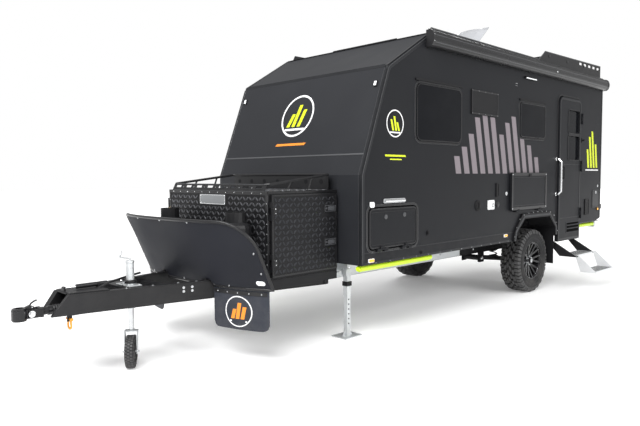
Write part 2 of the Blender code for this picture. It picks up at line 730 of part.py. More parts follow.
# Chassis: two main rails, cross members and brackets
RAIL_INSET = 0.43
RAIL_OUT_Y = HALF_W - RAIL_INSET
RAIL_W = 0.05
RAIL_LOW_Z = 0.53
RAIL_TOP_Z = 0.72
CHASSIS_FRONT_X = FRONT_X - WALL - FIT
CROSS_XS = (3.28, 3.00, 2.36, 1.50, 0.80, -0.62, -1.28, -1.98)
CROSS_W = 0.05
CROSS_LOW_Z = 0.705
CROSS_INSET = 0.05
CROSS_HALF = HALF_W - CROSS_INSET
TAPER_X = -1.22
TAPER_END_X = -1.55
TAIL_RAIL_LOW_Z = 0.735


def build_chassis():
    """Rails that taper up behind the door, with cross members under the floor."""
    tail_top = FLOOR_Z - OVER / 4
    rail = [(CHASSIS_FRONT_X, RAIL_LOW_Z), (CHASSIS_FRONT_X, RAIL_TOP_Z), (TAPER_X, RAIL_TOP_Z),
            (TAPER_END_X, tail_top), (REAR_X + WALL, tail_top), (REAR_X + WALL, TAIL_RAIL_LOW_Z),
            (TAPER_END_X, TAIL_RAIL_LOW_Z), (TAPER_X, RAIL_LOW_Z)]
    sides = both_sides(plate(rail, RAIL_OUT_Y - RAIL_W, RAIL_OUT_Y, "Y"))
    chassis = piece("chassis_frame", sides[0], GALV)
    join(chassis, sides[1])
    for x in CROSS_XS:
        join(chassis, block((x - CROSS_W / 2, -CROSS_HALF, CROSS_LOW_Z),
                            (x + CROSS_W / 2, CROSS_HALF, FLOOR_Z - FIT)))
    rear_rail = rod((CROSS_XS[7], REAR_RAIL_Y, REAR_RAIL_Z), (CROSS_XS[6], REAR_RAIL_Y, REAR_RAIL_Z),
                    REAR_RAIL_R, 12)
    join(chassis, *both_sides(rear_rail))
    front = block((CHASSIS_FRONT_X - CROSS_W, -RAIL_OUT_Y + OVER, RAIL_LOW_Z + LAP),
                  (CHASSIS_FRONT_X - LAP, RAIL_OUT_Y - OVER, RAIL_TOP_Z + LAP))
    join(chassis, front)
    for sign in (1, -1):
        arm_y = (ARM_IN_Y - BRACKET_T - FIT, ARM_IN_Y - FIT)
        for y0, y1 in (arm_y, (RAIL_OUT_Y - RAIL_W / 2, RAIL_OUT_Y + LAP)):
            low = (PIVOT_X - BRACKET_W, min(sign * y0, sign * y1), PIVOT_Z - BRACKET_W)
            high = (PIVOT_X + BRACKET_W, max(sign * y0, sign * y1), RAIL_LOW_Z + OVER)
            join(chassis, block(low, high))
        y0, y1 = arm_y[0], RAIL_OUT_Y - RAIL_W / 2
        join(chassis, block((PIVOT_X - BRACKET_W + LAP, min(sign * y0, sign * y1), RAIL_LOW_Z + LAP),
                            (PIVOT_X + BRACKET_W - LAP, max(sign * y0, sign * y1), RAIL_LOW_Z + OVER * 1.5)))
        seat_x = SPRING_X
        join(chassis, block((seat_x - SPRING_R - LAP, min(sign * (SPRING_Y - SPRING_R),
                                                          sign * RAIL_OUT_Y * 0.95),
                             SPRING_TOP_Z + FIT),
                            (seat_x + SPRING_R + LAP, max(sign * (SPRING_Y - SPRING_R),
                                                          sign * RAIL_OUT_Y * 0.95),
                             SPRING_TOP_Z + OVER)))
        for x, span in ((STEADY_X, 1), (REAR_STEADY_X, -1)):
            top = RAIL_TOP_Z if span > 0 else CROSS_LOW_Z + OVER
            y0, y1 = RAIL_OUT_Y - LAP, STEADY_Y - STEADY_HALF - FIT
            join(chassis, block((x - STEADY_HALF, min(sign * y0, sign * y1), STEADY_Z - STEADY_HALF * 1.6),
                                (x + STEADY_HALF, max(sign * y0, sign * y1), top)))
    return chassis


# Trailing arm suspension
PIVOT_X = 0.60
PIVOT_Z = 0.46
BRACKET_W = 0.05
BRACKET_T = 0.012
ARM_IN_Y = 0.36
ARM_R = 0.034
SPRING_X = 0.05
SPRING_Y = 0.455
SPRING_R = 0.055
SPRING_WIRE = 0.009
SPRING_TURNS = 4
SPRING_TOP_Z = 0.66
SPRING_LOW_Z = 0.43
DRUM_R = 0.135
DRUM_IN_Y = 0.665
DRUM_OUT_Y = 0.800
HUB_END_Y = 0.905
RIM_STEPS = 24
HUB_STEPS = 16
STUB_R = HUB_R * math.cos(math.pi / HUB_STEPS) - FIT


def build_suspension():
    """On each side a trailing arm with its brake drum, hub, coil spring and damper."""
    for name, sign in (("suspension_left", 1), ("suspension_right", -1)):
        y = lambda v: sign * v
        pivot = rod((PIVOT_X, y(ARM_IN_Y), PIVOT_Z), (PIVOT_X, y(RAIL_OUT_Y - RAIL_W / 2 - FIT), PIVOT_Z),
                    ARM_R)
        arm = piece(name, pivot, BLACK)
        join(arm, tube([(PIVOT_X, y(ARM_IN_Y + ARM_R), PIVOT_Z), (SPRING_X, y(SPRING_Y - OVER), AXLE_Z),
                        (0, y(DRUM_IN_Y + LAP), AXLE_Z)], ARM_R * 0.8, smooth=1))
        join(arm, tube([(PIVOT_X, y(RAIL_OUT_Y - RAIL_W - ARM_R), PIVOT_Z), (OVER * 4, y(RAIL_OUT_Y), AXLE_Z),
                        (0, y(DRUM_IN_Y + LAP), AXLE_Z + LAP)], ARM_R * 0.8, smooth=1))
        join(arm, rod((SPRING_X, y(SPRING_Y), AXLE_Z - OVER), (SPRING_X, y(SPRING_Y), SPRING_LOW_Z),
                      SPRING_R + LAP))
        coil = []
        steps = SPRING_TURNS * 6
        low, high = SPRING_LOW_Z + SPRING_WIRE * 0.5, SPRING_TOP_Z - SPRING_WIRE
        for step in range(steps + 1):
            angle = 2 * math.pi * SPRING_TURNS * step / steps
            reach = SPRING_R - SPRING_WIRE
            coil.append((SPRING_X + reach * math.cos(angle), y(SPRING_Y + reach * math.sin(angle)),
                         low + (high - low) * step / steps))
        join(arm, tube(coil, SPRING_WIRE, smooth=0))
        join(arm, rod((0, y(DRUM_IN_Y), AXLE_Z), (0, y(DRUM_OUT_Y), AXLE_Z), DRUM_R, 16))
        join(arm, rod((0, y(DRUM_OUT_Y - LAP), AXLE_Z), (0, y(HUB_END_Y), AXLE_Z), STUB_R, 14))


# Wheels
DISC_IN_Y = 0.848
DISC_OUT_Y = 0.880
BARREL_IN_Y = 0.745
BARREL_OUT_Y = 0.972
BARREL_WALL = 0.010
HUB_CAP_OUT_Y = 0.925
HUB_CAP_R = 0.070
RIM_SPOKES = 8
SPOKE_W = 0.026
SPOKE_RISE = 0.035
SPOKE_SPREAD = math.radians(10.5)
SPOKE_ROOT = math.radians(3)
SPOKE_START = math.radians(8)
SPOKE_THIN = 0.0015
SPOKE_TOP_SHARE = 0.7
LUG_COUNT = 20
LUG_RISE = 0.006
LUG_LOW_R = 0.352
LUG_IN_SHARE = 0.60
TYRE_STEPS = LUG_COUNT * 2


def tyre_profile(steps):
    """Half width and radius of the tyre's closed section, with a flat bead and a round shoulder."""
    half = TYRE_W / 2
    bead = (RIM_R + FIT) / math.cos(math.pi / steps)
    outer_shares = ((0.60, 0.00), (0.86, 0.03), (0.97, 0.22), (1.00, 0.52), (0.88, 0.90), (0.80, 1.00))
    side = [(half * a, TYRE_R - (TYRE_R - bead) * b) for a, b in outer_shares]
    return side + [(-a, r) for a, r in side[::-1]]


def lug_tyre(steps):
    """The tyre turned about its axle, with every other step of its shoulders cut back between the lugs."""
    tyre = turned([(r, h) for h, r in tyre_profile(steps)], steps, "Y")
    bm = bmesh.new()
    bm.from_mesh(tyre)
    half = TYRE_W / 2
    shoulder = []
    for face in bm.faces:
        mid = face.calc_center_median()
        reach = math.hypot(mid.x, mid.z)
        step = math.floor(math.atan2(mid.z, mid.x) / (2 * math.pi / steps))
        if reach > LUG_LOW_R and abs(mid.y) > half * LUG_IN_SHARE and step % 2:
            shoulder.append(face)
    bmesh.ops.inset_individual(bm, faces=shoulder, thickness=LUG_RISE / 2, depth=-LUG_RISE)
    bm.to_mesh(tyre)
    bm.free()
    return tyre


def build_wheels():
    """Tyres with shoulder lugs, and rims with split spokes, each about its axle."""
    mid = TYRE_OUT_Y - TYRE_W / 2
    half_in, half_out = BARREL_IN_Y - mid, BARREL_OUT_Y - mid
    disc_in, disc_out, cap = DISC_IN_Y - mid, DISC_OUT_Y - mid, HUB_CAP_OUT_Y - mid
    barrel = [(RIM_R, half_in), (RIM_R, half_out), (RIM_R - BARREL_WALL, half_out),
              (RIM_R - BARREL_WALL * 2, disc_out), (RIM_R - BARREL_WALL * 2, disc_in),
              (RIM_R - BARREL_WALL, half_in)]
    hub = [(HUB_CAP_R, disc_in), (HUB_CAP_R, disc_out), (HUB_CAP_R * 0.8, cap), (HUB_R, cap),
           (HUB_R, disc_in)]
    for side, sign in (("left", 1), ("right", -1)):
        axle = (0, sign * mid, AXLE_Z)
        tyre = lug_tyre(TYRE_STEPS)
        ob = piece("tyre_" + side, tyre if sign > 0 else mirrored(tyre), RUBBER, smooth=True)
        ob.location = axle
        rim = turned([(r, sign * h) for r, h in barrel], RIM_STEPS, "Y")
        ob = piece("rim_" + side, rim, ALLOY, smooth=True)
        ob.location = axle
        join(ob, moved(turned([(r, sign * h) for r, h in hub], HUB_STEPS, "Y"), axle))
        for spoke in range(RIM_SPOKES * 2):
            turn = SPOKE_START + 2 * math.pi * (spoke // 2) / RIM_SPOKES
            way = 1 if spoke % 2 else -1
            arm = spoke_arm(sign, turn + way * SPOKE_ROOT, turn + way * SPOKE_SPREAD,
                            SPOKE_THIN * (spoke % 2))
            join(ob, moved(arm, axle))


def spoke_arm(sign, root, tip, thin):
    """One arm of a split spoke: a tapered bar from the hub to the barrel, from one angle about the axle to another."""
    mid = TYRE_OUT_Y - TYRE_W / 2
    near, far = HUB_CAP_R - LAP, RIM_R - BARREL_WALL * 1.5
    start, end = (Vector((reach * math.cos(angle), 0, reach * math.sin(angle)))
                  for reach, angle in ((near, root), (far, tip)))
    ahead = (end - start).normalized()
    side = Vector((-ahead.z, 0, ahead.x))
    bm = bmesh.new()
    rings = []
    for middle, rise in ((start, 0.0), (end, SPOKE_RISE)):
        low = DISC_IN_Y - mid + LAP + rise + thin
        high = DISC_OUT_Y - mid - LAP + rise - thin
        rings.append([bm.verts.new(middle + side * (w * SPOKE_W / 2) + Vector((0, sign * h, 0)))
                      for w, h in ((-1, low), (1, low), (SPOKE_TOP_SHARE, high), (-SPOKE_TOP_SHARE, high))])
    for k in range(4):
        bm.faces.new((rings[0][k], rings[0][(k + 1) % 4], rings[1][(k + 1) % 4], rings[1][k]))
    bm.faces.new(rings[0])
    bm.faces.new(rings[1])
    return finish(bm)


# Drawbar
BAR_FRONT_X = 5.51
BAR_FRONT_Y = 0.137
BAR_SWEEP = 0.209
BAR_LOW_Z = 0.487
BAR_TOP_Z = 0.637
BAR_W = 0.05
BAR_NOSE = 0.12
BAR_REAR_X = CHASSIS_FRONT_X + FIT
NOSE_X = 5.36
NOSE_LEN = 0.30
NOSE_IN_X = 5.32
NOSE_IN_LEN = 0.26
NOSE_IN_Z = (0.56, 0.575)
MID_CROSS_X = 4.72
MID_CROSS_LEN = 0.06
MID_CROSS_Z = (0.52, 0.60)
TOP_PLATE_X = (5.22, 5.50)
TOP_PLATE_T = 0.008
DAMPER_X = (5.16, 5.40)
DAMPER_END_X = 5.50
DAMPER_R = 0.017
DAMPER_ROD_R = 0.007
DAMPER_Z = BAR_TOP_Z + TOP_PLATE_T + DAMPER_R + LAP
DAMPER_LUG_T = 0.016
DAMPER_LUG_HALF = 0.020
LEVER_R = 0.009
LEVER_PATH = ((5.25, 0.045, 0.641), (5.17, 0.045, 0.672), (4.98, -0.02, 0.690), (4.86, -0.03, 0.705))


def bar_y(x):
    """Outer face of the left drawbar rail at a place along the caravan."""
    return BAR_FRONT_Y + BAR_SWEEP * (BAR_FRONT_X - x)


def build_drawbar():
    """Two rails that meet at the coupling, with cross members, shelf and brake lever."""
    length = (BAR_FRONT_X - BAR_REAR_X) * math.hypot(1, BAR_SWEEP)
    side = [(BAR_NOSE, BAR_LOW_Z), (0, BAR_TOP_Z), (-length + OVER, BAR_TOP_Z), (-length + OVER, BAR_LOW_Z)]
    rail = plate(side, -BAR_W, 0, "Y")
    rail.transform(Matrix.Translation((BAR_FRONT_X, BAR_FRONT_Y,
                                       0)) @ Matrix.Rotation(-math.atan(BAR_SWEEP), 4, "Z"))
    rails = both_sides(rail)
    bar = piece("drawbar", rails[0], BLACK)
    join(bar, rails[1])
    rear_half = bar_y(BAR_REAR_X)
    join(bar, block((BAR_REAR_X, -rear_half, BAR_LOW_Z + LAP),
                    (BAR_REAR_X + BAR_W, rear_half, BAR_TOP_Z - LAP)))
    for x, low, high, wide in ((NOSE_X, BAR_LOW_Z - OVER / 2, BAR_LOW_Z + OVER / 4, NOSE_LEN),
                               (NOSE_IN_X, *NOSE_IN_Z, NOSE_IN_LEN),
                               (MID_CROSS_X, *MID_CROSS_Z, MID_CROSS_LEN)):
        half = bar_y(x + wide / 2) - BAR_W / 2
        join(bar, block((x - wide / 2, -half, low), (x + wide / 2, half, high)))
    x0, x1 = SHELF_X - SHELF_HALF_X, SHELF_X + SHELF_HALF_X
    join(bar, block((x0, -SHELF_HALF_Y, BAR_TOP_Z - LAP), (x1, SHELF_HALF_Y, SHELF_Z)))
    plate_half = bar_y(JOCKEY_X) - BAR_W / 2
    clamp = block((JOCKEY_X - JOCKEY_PLATE, -plate_half, BAR_TOP_Z - OVER),
                  (JOCKEY_X + JOCKEY_PLATE, plate_half,
                                                                          BAR_TOP_Z - LAP))
    join(bar, clamp)
    cut(bar, rod((JOCKEY_X, JOCKEY_Y, BAR_LOW_Z - OVER), (JOCKEY_X, JOCKEY_Y, BAR_TOP_Z + OVER),
                 JOCKEY_TUBE_R + FIT * 3, 16))
    lug_y = (SHACKLE_Y - LUG_T / 2, SHACKLE_Y + LUG_T / 2)
    join(bar, block((SHACKLE_X - LUG_HALF, lug_y[0], SHACKLE_PIN_Z - LUG_HALF),
                    (SHACKLE_X + LUG_HALF, lug_y[1], BAR_LOW_Z)))
    cut(bar, rod((SHACKLE_X, SHACKLE_Y - LUG_HALF, SHACKLE_PIN_Z),
                 (SHACKLE_X, SHACKLE_Y + LUG_HALF, SHACKLE_PIN_Z),
                 (SHACKLE_PIN_R + FIT) / math.cos(math.pi / SHACKLE_SIDES), SHACKLE_SIDES))
    x0, x1 = TOP_PLATE_X
    rear_y, front_y = bar_y(x0) - OVER, bar_y(x1) - OVER
    top = [(x0, -rear_y), (x1, -front_y), (x1, front_y), (x0, rear_y)]
    join(bar, plate(top, BAR_TOP_Z - LAP / 2, BAR_TOP_Z + TOP_PLATE_T, "Z"))
    join(bar, rod((DAMPER_X[0], 0, DAMPER_Z), (DAMPER_X[1], 0, DAMPER_Z), DAMPER_R, 12),
         rod((DAMPER_X[1] - LAP, 0, DAMPER_Z), (DAMPER_END_X, 0, DAMPER_Z), DAMPER_ROD_R, 8))
    for x in (DAMPER_X[0] + DAMPER_LUG_T * 4, DAMPER_END_X - DAMPER_LUG_T):
        join(bar, block((x, -DAMPER_LUG_HALF, BAR_TOP_Z + LAP),
                        (x + DAMPER_LUG_T, DAMPER_LUG_HALF, DAMPER_Z + DAMPER_ROD_R * 1.5)))
    join(bar, tube(LEVER_PATH, LEVER_R, smooth=1))


# Gas bottles and their shelf on the drawbar
SHELF_X = 4.2625
SHELF_HALF_X = 0.0975
SHELF_HALF_Y = 0.66
SHELF_Z = 0.646
BOTTLE_R = 0.125
BOTTLE_X = 4.292
BOTTLE_Y = 0.505
BOTTLE_H = 0.40
BOTTLE_DOME = 0.06
BOTTLE_FOOT = 0.02
VALVE_H = 0.07
VALVE_R = 0.022
COLLAR_R = 0.085
COLLAR_H = 0.095
COLLAR_T = 0.008


def build_bottles():
    """Two gas bottles with a foot ring, dome, collar and valve."""
    z0 = SHELF_Z + FIT
    top = BOTTLE_FOOT + BOTTLE_H
    profile = [(0, top + BOTTLE_DOME + VALVE_H), (VALVE_R, top + BOTTLE_DOME + VALVE_H),
               (VALVE_R, top + BOTTLE_DOME - LAP)]
    for step in range(5):
        angle = math.pi / 2 * (1 - step / 4)
        profile.append((BOTTLE_R * math.cos(angle) if step else VALVE_R * 1.5,
                        top + BOTTLE_DOME * math.sin(angle) - (LAP / 2 if not step else 0)))
    profile += [(BOTTLE_R, BOTTLE_FOOT * 2), (BOTTLE_R * 0.8, BOTTLE_FOOT), (BOTTLE_R * 0.8, 0), (0, 0)]
    for name, sign in (("gas_bottle_left", 1), ("gas_bottle_right", -1)):
        bottle = piece(name, turned(profile, 16), BLACK, smooth=True)
        bottle.location = (BOTTLE_X, sign * BOTTLE_Y, z0)
        ring = [(COLLAR_R, top + BOTTLE_DOME + COLLAR_H * 0.7), (COLLAR_R, top + BOTTLE_DOME * 0.4),
                (COLLAR_R - COLLAR_T, top + BOTTLE_DOME * 0.4),
                (COLLAR_R - COLLAR_T, top + BOTTLE_DOME + COLLAR_H * 0.7)]
        collar = moved(turned(ring, 16), (BOTTLE_X, sign * BOTTLE_Y, z0))
        join(bottle, collar)


# Coupling: fixed clevis and a head that tips about its bolt
COUPLING_Z = 0.52
COUPLING_TIP_X = 5.858
HEAD_PIVOT_X = 5.735
HEAD_HALF_W = 0.034
HEAD_HALF_H = 0.036
HEAD_R = 0.052
EAR_T = 0.012
EAR_HALF_H = 0.032
SHANK_R = 0.0275
BOLT_R = 0.016
PIN_R = 0.017
SHANK_X = (5.33, 5.665)
SEAT_X = (5.25, 5.45)
SEAT_HALF_Y = 0.07
YOKE_X = (5.655, 5.68)
BOLT_HALF = 0.062
BOOT_RS = (0.0375, 0.031)
BOOT_X = 5.53
BOOT_PITCH = 0.016
BOOT_RIBS = 3
HEAD_RIM_R = 0.047
HEAD_RIM_H = 0.009
HEAD_STEPS = 16
LOCK_OUT = ((-0.036, 0.030), (0.052, 0.030), (0.036, 0.046), (0.004, 0.058), (-0.022, 0.050))
LOCK_HALF_W = 0.012
LOCK_LEVER = ((0.004, 0.050), (-0.010, 0.070), (-0.030, 0.082), (-0.050, 0.088))
LOCK_LEVER_R = 0.006


def build_coupling():
    """The clevis with its bellows on the drawbar's nose plate, and the head with its pin hole and lock."""
    base = rod((SHANK_X[0], 0, COUPLING_Z), (SHANK_X[1], 0, COUPLING_Z), SHANK_R)
    coupling = piece("coupling", base, BLACK)
    join(coupling, block((SEAT_X[0], -SEAT_HALF_Y, COUPLING_Z), (SEAT_X[1], SEAT_HALF_Y, NOSE_IN_Z[0] - FIT)))
    join(coupling, block((YOKE_X[0], -HEAD_HALF_W - EAR_T - RUN / 5, COUPLING_Z - EAR_HALF_H),
                         (YOKE_X[1], HEAD_HALF_W + EAR_T + RUN / 5, COUPLING_Z + EAR_HALF_H)))
    boot = [(SHANK_R - LAP, 0)]
    for rib in range(BOOT_RIBS):
        boot += [(BOOT_RS[1], BOOT_PITCH * rib), (BOOT_RS[0], BOOT_PITCH * (rib + 0.5))]
    boot += [(BOOT_RS[1], BOOT_PITCH * BOOT_RIBS), (SHANK_R - LAP, BOOT_PITCH * BOOT_RIBS)]
    join(coupling, moved(turned(boot, 12, "X"), (BOOT_X, 0, COUPLING_Z)))
    for sign in (1, -1):
        y0 = HEAD_HALF_W + RUN / 10
        ear = block((YOKE_X[1] - OVER / 2, min(sign * y0, sign * (y0 + EAR_T)),
                     COUPLING_Z - EAR_HALF_H + LAP / 2),
                    (HEAD_PIVOT_X + BOLT_R * 1.25, max(sign * y0, sign * (y0 + EAR_T)),
                     COUPLING_Z + EAR_HALF_H - LAP / 2))
        join(coupling, ear)
    pivot = (HEAD_PIVOT_X, 0, COUPLING_Z)
    join(coupling, rod((HEAD_PIVOT_X, -BOLT_HALF, COUPLING_Z), (HEAD_PIVOT_X, BOLT_HALF, COUPLING_Z), BOLT_R))
    eye_x = COUPLING_TIP_X - HEAD_R
    head = rod((eye_x, 0, COUPLING_Z - HEAD_HALF_H), (eye_x, 0, COUPLING_Z + HEAD_HALF_H), HEAD_R, HEAD_STEPS)
    head = piece("coupling_head", head, BLACK, pivot)
    join(head, block((HEAD_PIVOT_X - BOLT_R * 2, -HEAD_HALF_W, COUPLING_Z - HEAD_HALF_H + LAP),
                     (eye_x, HEAD_HALF_W, COUPLING_Z + HEAD_HALF_H - LAP)))
    cut(head, rod((eye_x, 0, COUPLING_Z - HEAD_HALF_H - OVER), (eye_x, 0, COUPLING_Z + HEAD_HALF_H + OVER),
                  PIN_R * 1.5, 12))
    cut(head, rod((HEAD_PIVOT_X, -HALF_W, COUPLING_Z), (HEAD_PIVOT_X, HALF_W, COUPLING_Z),
                  BOLT_R + RUN / 10, 16))
    for way in (1, -1):
        low, high = sorted((way * (HEAD_HALF_H - LAP), way * (HEAD_HALF_H + HEAD_RIM_H)))
        rim = turned([(PIN_R * 1.5 + RUN, low), (HEAD_RIM_R, low), (HEAD_RIM_R, high),
                      (PIN_R * 1.5 + RUN, high)], HEAD_STEPS)
        join(head, moved(rim, (eye_x, 0, COUPLING_Z)))
    lock = [(HEAD_PIVOT_X + a, COUPLING_Z + b) for a, b in LOCK_OUT]
    join(head, plate(lock, -LOCK_HALF_W, LOCK_HALF_W, "Y"))
    join(head, tube([(HEAD_PIVOT_X + a, 0, COUPLING_Z + b) for a, b in LOCK_LEVER], LOCK_LEVER_R, smooth=1))


# Safety shackle under the drawbar's nose
SHACKLE_X = 5.48
SHACKLE_Y = 0.06
SHACKLE_TOP_Z = 0.455
SHACKLE_R = 0.008
SHACKLE_HALF = 0.022
SHACKLE_DROP = 0.055
SHACKLE_PIN_R = 0.0072
SHACKLE_PIN_Z = SHACKLE_TOP_Z - SHACKLE_R * 1.2
SHACKLE_SIDES = 10
LUG_T = 0.010
LUG_HALF = 0.018


def build_shackle():
    """A bow shackle with its cross pin."""
    points = []
    for step in range(13):
        angle = math.radians(-30 + 240 * step / 12)
        points.append((SHACKLE_X, SHACKLE_Y + SHACKLE_HALF * 1.3 * math.cos(angle),
                       SHACKLE_TOP_Z - SHACKLE_DROP - SHACKLE_HALF * 1.3 * math.sin(angle)))
    path = [(SHACKLE_X, SHACKLE_Y + SHACKLE_HALF, SHACKLE_TOP_Z - SHACKLE_R), *points,
            (SHACKLE_X, SHACKLE_Y - SHACKLE_HALF, SHACKLE_TOP_Z - SHACKLE_R)]
    shackle = piece("safety_shackle", tube(path, SHACKLE_R, smooth=1), ORANGE, smooth=True)
    z = SHACKLE_PIN_Z
    join(shackle, rod((SHACKLE_X, SHACKLE_Y - SHACKLE_HALF * 1.6, z),
                      (SHACKLE_X, SHACKLE_Y + SHACKLE_HALF * 1.6, z),
                      SHACKLE_PIN_R, SHACKLE_SIDES))


# Jockey wheel
JOCKEY_X = 5.02
JOCKEY_Y = 0.11
JOCKEY_TUBE_R = 0.030
JOCKEY_TUBE_LOW_Z = 0.46
JOCKEY_TUBE_TOP_Z = 0.83
JOCKEY_LEG_R = 0.022
JOCKEY_LEG_TOP_Z = 0.60
JOCKEY_SIDES = 12
JOCKEY_BORE_R = JOCKEY_LEG_R + FIT / math.cos(math.pi / JOCKEY_SIDES)
JOCKEY_PLATE = 0.07
FORK_TOP_Z = 0.290
FORK_T = 0.006
FORK_HALF_Y = 0.044
FORK_HALF_X = 0.022
JOCKEY_R = 0.1275
JOCKEY_PIN_R = 0.008
JOCKEY_STEPS = 16
JOCKEY_HALF_W = 0.034
JOCKEY_TRAIL = 0.035
JOCKEY_HEADING = math.radians(232)
CRANK_R = 0.007


def build_jockey():
    """Outer tube with crank, sliding leg, castor fork and wheel."""
    at = Vector((JOCKEY_X, JOCKEY_Y, 0))
    up = Vector((0, 0, 1))
    outer = piece("jockey_tube", rod(at + up * JOCKEY_TUBE_LOW_Z, at + up * JOCKEY_TUBE_TOP_Z,
                                     JOCKEY_TUBE_R, 16),
                  GALV, smooth=True)
    cut(outer, rod(at + up * (JOCKEY_TUBE_LOW_Z - OVER), at + up * (JOCKEY_TUBE_TOP_Z - LAP), JOCKEY_BORE_R,
                   12))
    join(outer, rod(at + up * (BAR_TOP_Z - LAP + FIT), at + up * (BAR_TOP_Z + OVER), JOCKEY_TUBE_R * 1.35,
                    12))
    cut(outer, rod(at + up * (BAR_TOP_Z - OVER), at + up * (BAR_TOP_Z + OVER * 2), JOCKEY_BORE_R, 12))
    crank = [at + up * (JOCKEY_TUBE_TOP_Z - LAP / 2), at + up * (JOCKEY_TUBE_TOP_Z + OVER),
             at + Vector((OVER, -JOCKEY_TUBE_R * 4, JOCKEY_TUBE_TOP_Z + OVER)),
             at + Vector((OVER, -JOCKEY_TUBE_R * 4, JOCKEY_TUBE_TOP_Z + OVER * 3))]
    join(outer, tube(crank, CRANK_R, smooth=1))
    knob = crank[-1]
    join(outer, rod(knob - up * OVER, knob + up * OVER, CRANK_R * 2.2, 12))
    leg = piece("jockey_leg", rod(at + up * (FORK_TOP_Z + FIT), at + up * JOCKEY_LEG_TOP_Z, JOCKEY_LEG_R,
                                  12), CHROME,
                smooth=True)
    heading = Matrix.Translation(at) @ Matrix.Rotation(JOCKEY_HEADING, 4, "Z")
    top = block((-JOCKEY_TRAIL - FORK_HALF_X, -FORK_HALF_Y - FORK_T, FORK_TOP_Z - FORK_T),
                (FORK_HALF_X, FORK_HALF_Y + FORK_T, FORK_TOP_Z))
    top.transform(heading)
    fork = piece("jockey_fork", top, GALV)
    for sign in (1, -1):
        y0, y1 = sorted((sign * FORK_HALF_Y, sign * (FORK_HALF_Y + FORK_T)))
        blade = plate([(-JOCKEY_TRAIL - FORK_HALF_X + LAP, FORK_TOP_Z - LAP),
                       (FORK_HALF_X - LAP, FORK_TOP_Z - LAP),
                       (-JOCKEY_TRAIL + FORK_HALF_X * 0.8, JOCKEY_R - OVER),
                       (-JOCKEY_TRAIL - FORK_HALF_X * 0.8,
                                                                              JOCKEY_R - OVER)], y0,
                                                                              y1 - LAP / 8, "Y")
        blade.transform(heading)
        join(fork, blade)
    pin = rod((-JOCKEY_TRAIL, -FORK_HALF_Y - OVER, JOCKEY_R), (-JOCKEY_TRAIL, FORK_HALF_Y + OVER, JOCKEY_R),
              JOCKEY_PIN_R, 12)
    pin.transform(heading)
    join(fork, pin)
    half = JOCKEY_HALF_W
    profile_shares = ((0.55, 1.0), (0.9, 0.96), (1.0, 0.82), (0.95, 0.62), (0.6, 0.55), (0.75, 0.34))
    side = [(half * a, JOCKEY_R * r) for a, r in profile_shares]
    bore = (JOCKEY_PIN_R + FIT) / math.cos(math.pi / JOCKEY_STEPS)
    section = [(r, a) for a, r in side] + [(bore, half * 0.9), (bore, -half * 0.9)] + [(r, -a) for a,
                                                                                       r in side[::-1]]
    wheel = turned(section, JOCKEY_STEPS, "Y")
    wheel.transform(Matrix.Rotation(JOCKEY_HEADING, 4, "Z"))
    ob = piece("jockey_wheel", wheel, RUBBER, smooth=True)
    ob.location = heading @ Vector((-JOCKEY_TRAIL, 0, JOCKEY_R))


# Steady legs that fold up about a bolt
STEADY_X = 3.187
STEADY_Y = 0.715
STEADY_Z = 0.64
STEADY_HALF = 0.022
STEADY_EYE = 0.03
FOOT_HALF_X = 0.115
FOOT_HALF_Y = 0.09
FOOT_T = 0.008
REAR_STEADY_X = -1.28
REAR_STEADY_LEN = 0.50


def build_steadies():
    """Front legs down on their feet, rear legs folded up under the floor."""
    for end, x, length in (("front", STEADY_X, STEADY_Z), ("rear", REAR_STEADY_X, REAR_STEADY_LEN)):
        for side, sign in (("left", 1), ("right", -1)):
            name = end + "_steady_" + side
            leg_mesh = block((-STEADY_HALF, -STEADY_HALF, -length + FOOT_T / 2),
                             (STEADY_HALF, STEADY_HALF, STEADY_EYE))
            leg = piece(name, leg_mesh, GALV)
            foot = block((-FOOT_HALF_X, -FOOT_HALF_Y, -length), (FOOT_HALF_X, FOOT_HALF_Y, -length + FOOT_T))
            gusset = plate([(-FOOT_HALF_X * 0.6, -length + FOOT_T * 0.3),
                            (FOOT_HALF_X * 0.6, -length + FOOT_T * 0.3),
                            (STEADY_HALF / 2, -length + FOOT_HALF_X * 0.8),
                            (-STEADY_HALF / 2, -length + FOOT_HALF_X * 0.8)], -LAP, LAP, "Y")
            join_own(leg, foot, gusset)
            leg.location = (x, sign * STEADY_Y, STEADY_Z)
            if end == "rear":
                leg.rotation_euler = (0, math.pi / 2, 0)


# Side rails under the skirt, and the bar across the rear
SIDE_RAIL_INSET = 0.055
SIDE_RAIL_Y = HALF_W - SIDE_RAIL_INSET
SIDE_RAIL_Z = 0.668
SIDE_RAIL_R = 0.022
SIDE_RAIL_XS = (2.233, 3.332)
SIDE_RAIL_POSTS = (2.36, 3.00)
REAR_RAIL_Y = 0.955
REAR_RAIL_Z = 0.752
REAR_RAIL_R = 0.018


def build_side_rails():
    """A bright tube under each side of the front boot."""
    for name, sign in (("side_rail_left", 1), ("side_rail_right", -1)):
        y = sign * SIDE_RAIL_Y
        rail = piece(name, rod((SIDE_RAIL_XS[0], y, SIDE_RAIL_Z), (SIDE_RAIL_XS[1], y, SIDE_RAIL_Z),
                               SIDE_RAIL_R),
                     YELLOW, smooth=True)
        for x in SIDE_RAIL_POSTS:
            join(rail, block((x - SIDE_RAIL_R / 2, y - SIDE_RAIL_R * 0.7, SIDE_RAIL_Z),
                             (x + SIDE_RAIL_R / 2, y - SIDE_RAIL_R * 0.1, CROSS_LOW_Z - FIT)))


